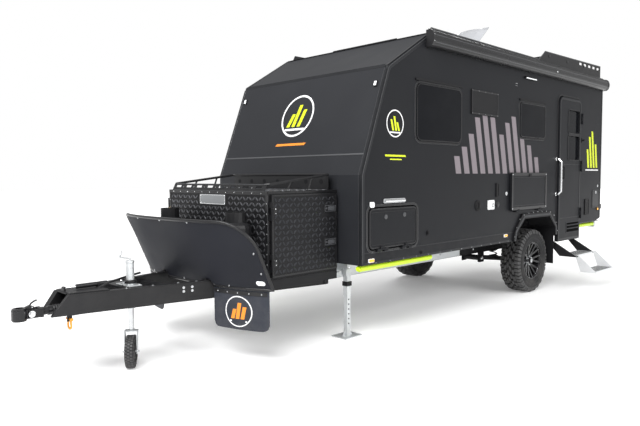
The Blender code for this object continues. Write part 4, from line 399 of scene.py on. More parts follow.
def blended(tree, share, base, other):
    """A colour drawn towards another by a share."""
    return add_node(tree, "ShaderNodeMix", {"data_type": "RGBA"}, i0=share, i6=base, i7=other).outputs[2]


def object_place(tree):
    """The object's own coordinates."""
    return tree.nodes.new("ShaderNodeTexCoord").outputs["Object"]


def object_noise(tree, scale, detail=3.0, rough=0.55, stretch=None):
    """Noise on the object's own coordinates, drawn out along an axis where stretch is given."""
    place = object_place(tree)
    if stretch:
        place = add_node(tree, "ShaderNodeMapping", Vector=place, Scale=stretch).outputs["Vector"]
    noise = add_node(tree, "ShaderNodeTexNoise", Vector=place, Detail=detail, Roughness=rough, Scale=scale)
    return noise.outputs["Fac"]


def spread(tree, value, low, high, to_low=0.0, to_high=1.0):
    """A value's range stretched onto another and held there."""
    return add_node(tree, "ShaderNodeMapRange", Value=value, From_Min=low, From_Max=high, To_Min=to_low,
            To_Max=to_high).outputs["Result"]


def build_mottle():
    """Soft patches: colour and roughness drift with a coarse noise."""
    group, start, end = new_group("mottle", {"Colour": (0.5, 0.5, 0.5, 1), "Tint": (0.6, 0.6, 0.6, 1),
            "Roughness": 0.5, "Amount": 0.3, "Rough Amount": 0.08, "Scale": 2.0}, ("Colour", "Roughness"))
    patch = spread(group, object_noise(group, start.outputs["Scale"]), 0.35, 0.65)
    share = maths(group, "MULTIPLY", patch, start.outputs["Amount"])
    mix = blended(group, share, start.outputs["Colour"], start.outputs["Tint"])
    lift = maths(group, "MULTIPLY_ADD", patch, start.outputs["Rough Amount"], start.outputs["Roughness"])
    group.links.new(mix, end.inputs["Colour"])
    group.links.new(lift, end.inputs["Roughness"])
    return group


def build_grain():
    """A fine even grain as a height in millimetres, for paint, powder coat, rubber and cast plastic."""
    group, start, end = new_group("grain", {"Scale": 400.0, "Height": 0.1}, ("Height",))
    fine = object_noise(group, start.outputs["Scale"], 2.0, 0.6)
    group.links.new(maths(group, "MULTIPLY", fine, start.outputs["Height"]), end.inputs["Height"])
    return group


def build_dust():
    """Road dust: a pale film that thins out with height above the ground and lies in patches."""
    group, start, end = new_group("road_dust", {"Colour": (0.5, 0.5, 0.5, 1), "Roughness": 0.5,
            "Amount": 0.3, "Top": 0.9}, ("Colour", "Roughness"))
    place = object_place(group)
    height = add_node(group, "ShaderNodeSeparateXYZ", Vector=place).outputs["Z"]
    low = spread(group, height, start.outputs["Top"], 0.1)
    patch = spread(group, object_noise(group, 9.0, 5.0, 0.65), 0.4, 0.7)
    share = maths(group, "MULTIPLY", maths(group, "MULTIPLY", low, patch), start.outputs["Amount"])
    mix = blended(group, share, start.outputs["Colour"], (0.3, 0.28, 0.26, 1))
    rough = add_node(group, "ShaderNodeMix", {"data_type": "FLOAT"}, i0=share,
            i2=start.outputs["Roughness"], i3=0.9)
    group.links.new(mix, end.inputs["Colour"])
    group.links.new(rough.outputs[0], end.inputs["Roughness"])
    return group


def use_group(tree, group, **inputs):
    """A group placed in a material with its own values."""
    return add_node(tree, "ShaderNodeGroup", {"node_tree": group}, **inputs)


def finish(name, colour, rough, metal=0.0, tint=None, amount=0.35, rough_amount=0.08, patch=2.2,
        grain=420.0, grain_height=0.05, dust=0.0, dust_top=0.95, coat=0.0, extra_height=None, alpha=1.0,
        glow=None, specular=0.3):
    """A material: patches of tint, fine grain and road dust on one Principled shader."""
    mat = bpy.data.materials.new(name)
    mat.use_nodes = True
    tree = mat.node_tree
    shader = tree.nodes["Principled BSDF"]
    base = (*colour, 1.0)
    other = (*(tint or [min(1.0, c * 1.35 + 0.006) for c in colour]), 1.0)
    mottled = use_group(tree, GROUPS["mottle"], Colour=base, Tint=other, Roughness=rough, Amount=amount,
            Rough_Amount=rough_amount, Scale=patch)
    out = mottled
    if dust:
        out = use_group(tree, GROUPS["dust"], Colour=mottled.outputs["Colour"],
                Roughness=mottled.outputs["Roughness"], Amount=dust, Top=dust_top)
    tree.links.new(out.outputs["Colour"], shader.inputs["Base Color"])
    tree.links.new(out.outputs["Roughness"], shader.inputs["Roughness"])
    shader.inputs["Metallic"].default_value = metal
    shader.inputs["Coat Weight"].default_value = coat
    shader.inputs["Coat Roughness"].default_value = 0.15
    shader.inputs["Alpha"].default_value = alpha
    shader.inputs["Specular IOR Level"].default_value = specular
    height = use_group(tree, GROUPS["grain"], Scale=grain, Height=grain_height).outputs["Height"]
    if extra_height:
        height = maths(tree, "ADD", height, extra_height(tree))
    bump = add_node(tree, "ShaderNodeBump", Height=height, Distance=0.001, Strength=1.0)
    tree.links.new(bump.outputs["Normal"], shader.inputs["Normal"])
    # A glow is painted light: the surface shines as if lit, though it is no working lamp.
    if glow:
        shader.inputs["Emission Color"].default_value = (*glow[:3], 1.0)
        shader.inputs["Emission Strength"].default_value = glow[3]
    mat.diffuse_color = base
    return mat


def dark_ends(mat, axis, middle, half, side="GREATER_THAN"):
    """The material drawn black past a distance either way from a place along an axis, or within it. On the
    step arms that is their own black; on the frame by the axle it is painted shade.
    """
    tree = mat.node_tree
    place = object_place(tree)
    along = add_node(tree, "ShaderNodeSeparateXYZ", Vector=place).outputs[axis]
    away = maths(tree, "ABSOLUTE", maths(tree, "SUBTRACT", along, middle))
    colour = tree.nodes["Principled BSDF"].inputs["Base Color"]
    black = (0.012, 0.012, 0.013, 1)
    tree.links.new(blended(tree, maths(tree, side, away, half), colour.links[0].from_socket, black), colour)
    return mat


def spangle(tree):
    """Zinc spangle: flat cells of slightly different height."""
    place = object_place(tree)
    cells = add_node(tree, "ShaderNodeTexVoronoi", Vector=place, Scale=75.0)
    return maths(tree, "MULTIPLY", cells.outputs["Distance"], 0.12)


def ripple(tree):
    """The slow waviness of a large sandwich panel, seen only in its reflections."""
    return maths(tree, "MULTIPLY", object_noise(tree, 1.6, 1.0, 0.4), 2.2)


def scuffs(tree):
    """Long faint scratches along the sheet."""
    lines = object_noise(tree, 16.0, 4.0, 0.7, stretch=(1.0, 1.0, 9.0))
    return maths(tree, "MULTIPLY", lines, 0.25)


def weave(tree):
    """A woven screen: two sets of fine waves across each other."""
    place = object_place(tree)
    up = add_node(tree, "ShaderNodeTexWave", {"bands_direction": "Z"}, Vector=place,
            Scale=90.0).outputs["Fac"]
    along = add_node(tree, "ShaderNodeTexWave", {"bands_direction": "X"}, Vector=place,
            Scale=90.0).outputs["Fac"]
    return maths(tree, "MULTIPLY", up, along)


def build_finishes(looks):
    """Every material of the caravan by name; the colours that a user may change come from the panel."""
    skin = tuple(looks.skin_colour)
    accent = tuple(looks.accent_colour)
    F = {}
    F["skin"] = finish("charcoal_composite_skin", skin, 0.4, tint=[c * 1.18 + 0.002 for c in skin],
            patch=0.9, amount=0.5, grain=900, grain_height=0.03, dust=0.12, extra_height=ripple,
            specular=0.12)
    F["front"] = finish("charcoal_front_skin", [c * 1.55 for c in skin], 0.46, patch=0.9, grain=900,
            grain_height=0.03, extra_height=ripple, specular=0.22)
    F["trim"] = finish("charcoal_corner_trim", [c * 1.1 for c in skin], 0.34, 0.2, patch=3.0,
            grain_height=0.03)
    F["edge"] = finish("bright_trim_edge", (0.11, 0.113, 0.118), 0.3, 0.6, grain_height=0.02)
    F["black"] = finish("black_powder_coat", (0.01, 0.01, 0.011), 0.38, grain=520, grain_height=0.12,
            dust=0.06, dust_top=0.8)
    F["black_gloss"] = finish("black_gloss_paint", (0.009, 0.009, 0.01), 0.26, coat=0.12, grain_height=0.02)
    F["plastic"] = finish("black_moulded_plastic", (0.006, 0.006, 0.007), 0.5, grain=650, grain_height=0.12,
            specular=0.2)
    # Near black with hardly any sheen: painted shade for openings that are not cut.
    F["void_painted_shade"] = finish("painted_shade_recess", (0.002, 0.002, 0.002), 0.8, grain_height=0.02, specular=0.05)
    F["grey"] = finish("grey_moulded_plastic", (0.055, 0.057, 0.062), 0.5, grain=650, grain_height=0.12)
    F["chequer"] = finish("black_chequer_sheet", (0.007, 0.007, 0.008), 0.4, rough_amount=0.14, patch=6.0,
            grain=700, grain_height=0.08, specular=0.2)
    worn = dict(metal=0.9, rough_amount=0.16, patch=8.0, amount=0.6, grain=900, grain_height=0.06)
    # Two tones of one tread metal: the brighter, on the front and the lid, is painted highlight over patches
    # of real wear; the darker, on the door sides, is painted shade.
    F["lozenge"] = finish("tread_lozenges_wear_and_painted_highlight", (0.11, 0.112, 0.12), 0.34, **worn)
    F["lozenge_painted_shade"] = finish("shaded_tread_lozenges", (0.035, 0.036, 0.04), 0.38, **worn)
    F["arch"] = finish("arch_flange_face", (0.034, 0.035, 0.038), 0.45, grain=650, grain_height=0.08)
    galvanised = dict(colour=(0.62, 0.64, 0.65), rough=0.4, metal=0.75, tint=(0.78, 0.8, 0.81), patch=26.0,
            rough_amount=0.2, extra_height=spangle, dust=0.15)
    F["zinc"] = finish("galvanised_zinc", **galvanised)
    # The frame is drawn black within 1.275 m of a point near the axle: painted shade where it runs under the
    # body by the wheel arches.
    F["frame"] = dark_ends(finish("galvanised_frame_painted_shade_middle", **galvanised), "X", -0.175 + SHIFT[0], 1.275,
            "LESS_THAN")
    F["bright"] = finish("bright_plated_steel", (0.78, 0.79, 0.8), 0.16, 1.0, grain_height=0.01)
    F["brass"] = finish("brass_valve", (0.62, 0.42, 0.16), 0.28, 1.0, grain_height=0.02)
    F["steel"] = finish("stainless_hardware", (0.55, 0.56, 0.57), 0.26, 0.95, grain_height=0.02)
    F["rubber"] = finish("tyre_rubber_side", (0.013, 0.013, 0.014), 0.6, tint=(0.02, 0.02, 0.02), patch=7.0,
            rough_amount=0.1, grain=500, grain_height=0.1, dust=0.16, dust_top=0.6)
    # The tread blocks are a lighter grey than the carcass between them: painted highlight on the block tops,
    # with real road dust over it.
    F["tread"] = finish("tyre_tread_painted_highlight", (0.046, 0.046, 0.047), 0.5, tint=(0.06, 0.059, 0.058),
            patch=18.0, rough_amount=0.1, grain=420, grain_height=0.08, dust=0.1, dust_top=0.6,
            specular=0.5)
    F["flap"] = finish("flap_rubber", (0.02, 0.023, 0.032), 0.52, patch=4.0, grain=500, grain_height=0.08,
            dust=0.1)
    F["alloy"] = finish("gloss_black_alloy", (0.008, 0.008, 0.009), 0.2, coat=0.5, grain_height=0.02)
    F["glass"] = finish("dark_tinted_acrylic", (0.006, 0.0065, 0.008), 0.07, grain_height=0.0,
            rough_amount=0.02, specular=0.08)
    F["gasket"] = finish("black_window_seal", (0.014, 0.014, 0.015), 0.55, grain_height=0.06)
    F["screen"] = finish("woven_screen", (0.006, 0.006, 0.007), 0.7, extra_height=weave)
    F["white"] = finish("white_plastic", (0.8, 0.81, 0.82), 0.38, amount=0.2, grain_height=0.03)
    F["pale"] = finish("pale_step_tread", (0.7, 0.71, 0.72), 0.5, amount=0.3, grain_height=0.08, dust=0.1)
    F["step"] = dark_ends(finish("step_tread_and_arms", (0.7, 0.71, 0.72), 0.5, amount=0.3,
            grain_height=0.08), "X", (DOOR[0] + DOOR[1]) / 2 + SHIFT[0], STEP_HALF)
    # The white and amber lenses glow though no lamp in them is lit: painted light caught in the lenses and
    # reflectors.
    F["lens"] = finish("lamp_lens_painted_glow", (0.86, 0.88, 0.9), 0.12, coat=0.5, grain_height=0.0,
            glow=(1, 1, 1, 0.15))
    F["amber"] = finish("amber_lens_painted_glow", (0.95, 0.42, 0.02), 0.15, coat=0.5, grain_height=0.0,
            glow=(1, 0.4, 0.0, 0.25))
    F["red"] = finish("red_lens", (0.55, 0.02, 0.02), 0.15, coat=0.5, grain_height=0.0)
    F["rail"] = finish("bright_side_rail", tuple(looks.rail_colour), 0.32, coat=0.3, grain_height=0.03,
            amount=0.15, dust=0.1)
    F["orange"] = finish("orange_shackle_paint", (0.85, 0.33, 0.03), 0.35, coat=0.2, grain_height=0.05)
    F["guard"] = finish("guard_sheet", (0.012, 0.013, 0.017), 0.44, tint=(0.022, 0.023, 0.029), patch=1.6,
            amount=0.8, rough_amount=0.2, grain=300, grain_height=0.05, extra_height=scuffs, specular=0.12)
    F["accent"] = finish("accent_film", accent, 0.4, amount=0.1, grain_height=0.02)
    F["white_film"] = finish("white_film", (0.8, 0.8, 0.8), 0.4, amount=0.1, grain_height=0.02)
    F["mauve_film"] = finish("mauve_film", tuple(looks.band_colour), 0.42, amount=0.15, grain_height=0.02)
    F["orange_film"] = finish("orange_film", (0.8, 0.26, 0.03), 0.4, amount=0.1, grain_height=0.02)
    F["board"] = finish("laminated_board", (0.42, 0.37, 0.31), 0.5, patch=3.0, grain_height=0.06)
    F["dome"] = finish("smoked_white_dome", (0.42, 0.43, 0.45), 0.2, coat=0.4, grain_height=0.01,
            alpha=0.85)
    F["plate"] = finish("blank_maker_plate", (0.3, 0.31, 0.32), 0.35, 0.8, grain=300, grain_height=0.05)
    return F


# Places on the body


def solid(node):
    """The low and high corners of a solid in the caravan's own measures."""
    low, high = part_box(node)
    return np.array(low) - SHIFT, np.array(high) - SHIFT


def bar(width, thick, edge=0.0008):
    """A flat bar's section with its corners cut back, centred on its path."""
    a, b = width / 2, thick / 2
    e = min(edge, a * 0.9, b * 0.9)
    return [(e - a, -b), (a - e, -b), (a, e - b), (a, b - e), (a - e, b), (e - a, b), (-a, b - e),
            (-a, e - b)]


def strip(path, width, thick, up, edge=0.0008):
    """A flat bar along a path; up, an axis or a direction, is square to its broad side."""
    if isinstance(up, str):
        up = np.eye(3)["XYZ".index(up)]
    return carried(path, bar(width, thick, edge), up=up)


def circle(a, b, radius, steps=32):
    """A round outline."""
    turn = full_turn(steps)
    return np.stack([a + radius * np.cos(turn), b + radius * np.sin(turn)], -1)


def grown(rect, by):
    """A rounded rectangle of x rear, x front, z low, z high and corner radius, made larger all round."""
    x0, x1, z0, z1, radius = rect
    return rounded(x0 - by, x1 + by, z0 - by, z1 + by, max(radius + by, 0.001), 8)


def on_face(shape):
    """A shape drawn as x, z and height above the wall, set on the left wall's face."""
    verts, faces = whole(shape)
    return np.stack([verts[:, 0], FACE + verts[:, 2], verts[:, 1]], -1), faces


def face_slab(outline, high, low=-0.0002, edge=0.0008):
    """A flat outline on the left wall's face."""
    return slab(outline, FACE + low, FACE + high, "Y", edge)


def face_ring(outline, width, high, low=-0.0002, edge=0.0008):
    """A flat band inside an outline on the left wall's face."""
    return frame_slab(outline, width, FACE + low, FACE + high, "Y", edge)


NOSE_RUN = np.array((LEAN[0] - FRONT_X, LEAN[1] - NOSE_Z))
NOSE_RUN /= np.linalg.norm(NOSE_RUN)


def on_nose(shape, z_start):
    """A shape drawn as y, distance up the leaning front and height off it, set there from a height up."""
    verts, faces = whole(shape)
    start = (z_start - NOSE_Z) / NOSE_RUN[1]
    up = start + verts[:, 1]
    x = FRONT_X + NOSE_RUN[0] * up + NOSE_RUN[1] * verts[:, 2]
    z = NOSE_Z + NOSE_RUN[1] * up - NOSE_RUN[0] * verts[:, 2]
    return np.stack([x, verts[:, 0], z], -1), faces


def wall_path(by):
    """The wall's outline from the front skirt over the roof to the tail, moved inwards."""
    outline = [(FRONT_X, SKIRT_Z), (FRONT_X, NOSE_Z), LEAN, (ROOF_FRONT_X, ROOF_Z), (REAR_X, ROOF_Z),
            (REAR_X, 0.84), (-1.856, 0.805)]
    moved_in = inset(outline, by)
    return bent(moved_in[:-1], 0.03, 5)


WINDOW_FRONT = (1.79, 2.567, 1.81, 2.36, 0.07)
WINDOW_REAR = (-0.15, 0.514, 1.93, 2.345, 0.05)
WINDOW_RIGHT_REAR = (-1.45, -0.45, 1.86, 2.36, 0.07)
HATCH = (2.553, 3.25, 0.832, 1.195, 0.05)
TABLE = (-0.171, 0.736, 1.067, 1.51, 0.012)
MESH_VENT = (1.04, 1.596, 2.13, 2.39, 0.01)
DOOR_FACE = 1.0504
DOOR_PANE = (-1.185, -0.822, 1.685, 2.345, 0.03)
ARCH = [(0.6, 0.7), (0.575, 0.806), (0.385, 0.965), (-0.305, 0.965), (-0.478, 0.806), (-0.485, 0.7)]


def push_lock(x, z, face=HALF_W + 0.0064):
    """A round push lock: flange, button and slot, standing off a hatch."""
    flange = lathe([(0.021, 0), (0.021, 0.0025), (0.0185, 0.0045), (0.0135, 0.0045), (0.0125, 0.002)],
            (x, face, z), "Y", 28)
    button = lathe([(0.0118, 0.001), (0.0118, 0.0062), (0.0105, 0.0075)], (x, face, z), "Y", 24)
    # The slot is a thin black slab on the button: painted shade for the key slot, which is not cut.
    slot = slab((x - 0.0012, x + 0.0012, z - 0.006, z + 0.006, 0.001, 2), face + 0.0076, face + 0.0082, "Y",
            0.0002)
    return joined([flange, button]), slot


def screws(places, radius=0.0045, height=0.0022, facing="+Y"):
    """Low round screw heads."""
    return heads(dome(radius, height, 8, 2), places, facing)


def make_trims(looks):
    """Corner angles along the front, roof and tail of both walls, the belt line and the front seam.

    Each is a flat bar carried along the wall's outline, a little way in from its edge.
    """
    edge = [(x, FACE + 0.0009, z) for x, z in wall_path(looks.trim_width / 2 + 0.016)]
    piece("corner_angles", both(strip(edge, looks.trim_width, 0.0022, "Y")), "trim")
    bead = [(x, FACE + 0.0014, z) for x, z in wall_path(0.0145)]
    piece("corner_beads", both(strip(bead, 0.0035, 0.0024, "Y")), "edge")
    angle = [(FRONT_X + 0.0012, 1.012, SKIRT_Z + 0.004), (FRONT_X + 0.0012, 1.012, NOSE_Z)]
    lower = strip(angle, 0.026, 0.002, "X")
    upper = on_nose(strip([(1.012, 0.0, 0.0012), (1.012, 1.02, 0.0012)], 0.026, 0.002, "Z"), NOSE_Z)
    slope = [(LEAN[0], 1.012, LEAN[1]), (ROOF_FRONT_X, 1.012, ROOF_Z)]
    slope = [(x + 0.0006, y, z + 0.0011) for x, y, z in slope]
    piece("front_corner_angles", both([lower, upper, strip(slope, 0.026, 0.002, (0.5, 0, 0.86))]), "trim")
    bead = strip([(0.9985, 0.0, 0.0014), (0.9985, 1.02, 0.0014)], 0.003, 0.002, "Z")
    bead_low = strip([(FRONT_X + 0.0014, 0.9985, SKIRT_Z + 0.004), (FRONT_X + 0.0014, 0.9985, NOSE_Z)],
            0.003, 0.002, "X")
    piece("front_corner_beads", both([on_nose(bead, NOSE_Z), bead_low]), "edge")
    seam = strip([(-0.998, 0.006, 0.0012), (0.998, 0.006, 0.0012)], 0.014, 0.0028, "Z")
    piece("front_seam", on_nose(seam, SEAM_Z), "edge")
    break_bar = strip([(-0.998, 0, 0.0008), (0.998, 0, 0.0008)], 0.03, 0.0024, "Z")
    piece("front_break", on_nose(break_bar, LEAN[1]), "trim")
    roof_bar = strip([(ROOF_FRONT_X - 0.004, -0.998, ROOF_Z + 0.0008), (ROOF_FRONT_X - 0.004, 0.998,
            ROOF_Z + 0.0008)], 0.04, 0.0024, "Z")
    piece("roof_front_bar", roof_bar, "trim")
    belt = [strip([(a, FACE + 0.001, 0.806), (b, FACE + 0.001, 0.806)], 0.011, 0.003, "Y")
            for a, b in ((3.333, 0.62), (-1.262, -2.03))]
    foot = [strip([(3.333, FACE + 0.0008, SKIRT_Z + 0.011), (0.655, FACE + 0.0008, SKIRT_Z + 0.011)], 0.022,
            0.0026, "Y")]
    piece("belt_line", both(belt + foot), "trim")
    places = [(x, FACE + 0.0018, SKIRT_Z + 0.011) for x in np.arange(0.75, 3.3, 0.2)]
    places += [(x, FACE + 0.0018, ROOF_Z - 0.034) for x in np.arange(-1.95, 2.3, 0.25)]
    piece("trim_screws", both(screws(places)), "steel")
    rear = [(REAR_X - 0.0012, 1.012, 0.85), (REAR_X - 0.0012, 1.012, ROOF_Z - 0.01)]
    across = [(REAR_X - 0.0012, -0.998, ROOF_Z - 0.02), (REAR_X - 0.0012, 0.998, ROOF_Z - 0.02)]
    piece("rear_corner_angles", [both(strip(rear, 0.03, 0.002, "X")), strip(across, 0.03, 0.002, "X")],
            "trim")
    roof_edge = strip([(ROOF_FRONT_X - 0.02, 0.994, ROOF_Z + 0.0012),
            (REAR_X + 0.004, 0.994, ROOF_Z + 0.0012)], 0.034, 0.0022, "Z")
    piece("roof_edge_angles", both(roof_edge), "trim")


def make_windows(looks):
    """Seals, bright beads, pane rims and hinge rails of the four windows.

    The seal and the bead are flat bands that follow each pane's rounded outline.
    """
    panes = {"left": (WINDOW_FRONT, WINDOW_REAR), "right": (WINDOW_FRONT, WINDOW_RIGHT_REAR)}
    for side, turn in SIDES:
        rects = panes[side]
        seal = [face_ring(grown(r, looks.seal_width), looks.seal_width - 0.0006, 0.006) for r in rects]
        piece("window_seals_" + side, turn(seal), "gasket")
        bead = [face_ring(grown(r, looks.seal_width + 0.003), 0.0026, 0.0035) for r in rects]
        piece("window_beads_" + side, turn(bead), "edge")
        rim = [frame_slab(grown(r, -0.004), 0.01, HALF_W + 0.0118, HALF_W + 0.0145, "Y") for r in rects]
        piece("pane_rims_" + side, turn(rim), "black_gloss")
        rails = [face_slab((r[0] - 0.012, r[1] + 0.012, r[3] + 0.02, r[3] + 0.04, 0.004), 0.013)
                for r in rects]
        piece("window_hinge_rails_" + side, turn(rails), "plastic")


def make_hatches():
    """Double frames and push locks of the boot hatches on both sides."""
    for side, turn in SIDES:
        body = "hatch_" + side
        piece("hatch_surround_" + side, turn(face_ring(grown(HATCH, 0.03), 0.019, 0.0045)), "black_gloss")
        piece("hatch_bead_" + side, turn(face_ring(grown(HATCH, 0.0335), 0.003, 0.003)), "edge")
        top = HALF_W + 0.0064
        rim = frame_slab(grown(HATCH, -0.004), 0.012, top - 0.0004, top + 0.0035, "Y")
        inner = frame_slab(grown(HATCH, -0.034), 0.004, top - 0.0004, top + 0.0014, "Y")
        piece("hatch_rim_" + side, turn([rim, inner]), "black_gloss", body)
        locks, slots = zip(*[push_lock(x, z) for x, z in ((3.017, 1.113), (2.743, 1.121))])
        piece("hatch_locks_" + side, turn(list(locks)), "edge", body)
        piece("hatch_lock_slots_" + side, turn(list(slots)), "plastic", body)


def make_fittings():
    """Lamps, sockets, inlets, markers and the small catches on the walls and the front."""
    piece("boot_lamp_base", face_slab((2.736, 3.052, 1.236, 1.276, 0.012), 0.01), "steel")
    lens = carried([(2.748, FACE + 0.016, 1.256), (3.04, FACE + 0.016, 1.256)],
            [(0.013 * math.cos(t), 0.0085 * math.sin(t)) for t in full_turn(13)], up=(0, 1, 0))
    piece("boot_lamp_bar", lens, "bright")
    socket = [face_slab((3.184, 3.236, 1.202, 1.252, 0.008), 0.011),
            face_slab((1.098, 1.23, 1.098, 1.204, 0.01), 0.012)]
    flap = [face_slab((3.186, 3.234, 1.206, 1.246, 0.006), 0.017, 0.0105, 0.002),
            face_slab((1.105, 1.161, 1.106, 1.196, 0.006), 0.019, 0.0115, 0.002),
            face_slab((1.167, 1.223, 1.106, 1.196, 0.006), 0.019, 0.0115, 0.002)]
    piece("white_sockets", socket + flap, "white")
    piece("socket_screws", screws([(x, FACE + 0.0118, z) for x in (1.1025, 1.2255) for z in (1.102, 1.2)],
            0.003), "steel")
    mark = [(0.0225, 0), (0.0225, 0.0008), (0.015, 0.0008), (0.015, 0)]
    piece("socket_ring", lathe(mark, (1.139, FACE + 0.0188, 1.146), "Y", 24, True), "plastic")
    markers = [(3.217, 0.735), (0.814, 0.78)]
    base = joined([face_slab((x - 0.04, x + 0.04, z - 0.017, z + 0.017, 0.008), 0.006) for x, z in markers])
    piece("marker_bases", both(base), "white")
    lens = joined([face_slab((x - 0.03, x + 0.03, z - 0.011, z + 0.011, 0.006), 0.016, 0.0055, 0.004)
            for x, z in markers])
    piece("marker_lenses", both(lens), "amber")
    inlet = lathe([(0.06, 0), (0.06, 0.006), (0.054, 0.011), (0.046, 0.011), (0.043, 0.006)],
            (1.435, FACE, 1.151), "Y", 40)
    cap = lathe([(0.0425, 0.003), (0.0425, 0.013), (0.038, 0.016), (0.012, 0.016)], (1.435, FACE, 1.151),
            "Y", 32)
    grip = face_slab((1.429, 1.441, 1.117, 1.185, 0.004), 0.025, 0.0158, 0.002)
    piece("water_inlet", [inlet, cap, grip], "plastic")
    lamp = lathe([(0.034, 0), (0.034, 0.007), (0.028, 0.012), (0.01, 0.014)], (1.011, FACE, 1.152), "Y", 28)
    piece("round_wall_lamp", lamp, "black_gloss")
    tall = [face_slab((0.986, 1.054, 1.234, 1.394, 0.012), 0.008),
            face_ring((0.992, 1.048, 1.24, 1.388, 0.01), 0.01, 0.012)]
    piece("tall_wall_port", tall, "plastic")
    flange = lathe([(0.024, 0), (0.024, 0.004), (0.018, 0.008), (0.01, 0.008)], (0.805, FACE, 1.268), "Y",
            28)
    piece("wall_lock", flange, "steel")
    catch = [face_slab((2.345, 2.385, 0.897, 0.945, 0.01), 0.006),
            face_slab((2.357, 2.373, 0.905, 0.937, 0.006), 0.014, 0.0055, 0.002)]
    piece("boot_catch", both(catch), "plastic")
    knob = lathe([(0.016, 0), (0.016, 0.004), (0.011, 0.006), (0.011, 0.018), (0.006, 0.02)],
            (2.47, FACE, 0.74), "Y", 20)
    piece("skirt_knob", both(knob), "plastic")
    port = [face_slab((-1.606, -1.46, 0.91, 1.136, 0.014), 0.006),
            face_ring((-1.606, -1.46, 0.91, 1.136, 0.014), 0.012, 0.01)]
    lines = [face_slab((-1.588, -1.478, z - 0.004, z + 0.004, 0.003, 3), 0.0095, 0.0055, 0.001)
            for z in np.linspace(0.945, 1.1, 8)]
    piece("rear_wall_port", port + lines, "plastic")
    piece("rear_wall_button", lathe([(0.02, 0), (0.02, 0.004), (0.012, 0.008), (0.004, 0.009)],
            (-1.925, FACE, 1.318), "Y", 24), "steel")
    piece("tail_marker_bases", both(face_slab((-1.955, -1.907, 0.955, 0.999, 0.01), 0.006)), "plastic")
    tail = face_slab((-1.949, -1.913, 0.961, 0.993, 0.008), 0.013, 0.0055, 0.003)
    piece("tail_marker_lenses", both(tail), "amber")
    hatch = [face_ring((-1.985, -1.735, 1.000, 1.26, 0.02), 0.016, 0.0045),
            face_slab((-1.965, -1.755, 1.02, 1.24, 0.012), 0.003)]
    piece("rear_service_door", hatch, "trim")
    lock, slot = push_lock(-1.86, 1.222, FACE + 0.003)
    piece("rear_service_lock", lock, "steel")
    piece("rear_service_lock_slot", slot, "plastic")
    top = [slab((-0.022, 0.022, -0.03, 0.03, 0.008), 0, 0.009, "Z", 0.002),
            slab((-0.014, 0.014, -0.022, 0.022, 0.006), 0.0088, 0.016, "Z", 0.003)]
    piece("front_marker_bases", both(on_nose(moved(top[0], (0.94, 0.0, 0.0)), 2.305)), "plastic")
    piece("front_marker_lenses", both(on_nose(moved(top[1], (0.94, 0.0, 0.0)), 2.305)), "lens")
    dots = [(0.6 + a, FACE, 2.537 + b) for a in (-0.012, 0.012) for b in (-0.012, 0.012)]
    piece("speaker_dots", heads(dome(0.0045, 0.002, 10), dots, "+Y"), "steel")
    right = [face_slab((a, b, c, d, 0.012), 0.007, -0.0002, 0.002)
            for a, b, c, d in ((-0.1, 0.42, 1.05, 1.36), (1.1, 1.52, 1.42, 1.72), (-1.9, -1.66, 1.05, 1.4))]
    slats = [face_slab((a + 0.03, b - 0.03, z - 0.006, z + 0.006, 0.004, 3), 0.013, 0.0068, 0.002)
            for a, b, c, d in ((-0.1, 0.42, 1.05, 1.36), (1.1, 1.52, 1.42, 1.72))
            for z in np.arange(c + 0.04, d - 0.03, 0.026)]
    piece("fridge_and_heater_vents", other_side(right + slats), "plastic")


def door_slab(outline, high, edge=0.0015):
    """A flat outline on the door's face."""
    return slab(outline, DOOR_FACE - 0.0004, DOOR_FACE + high, "Y", edge)


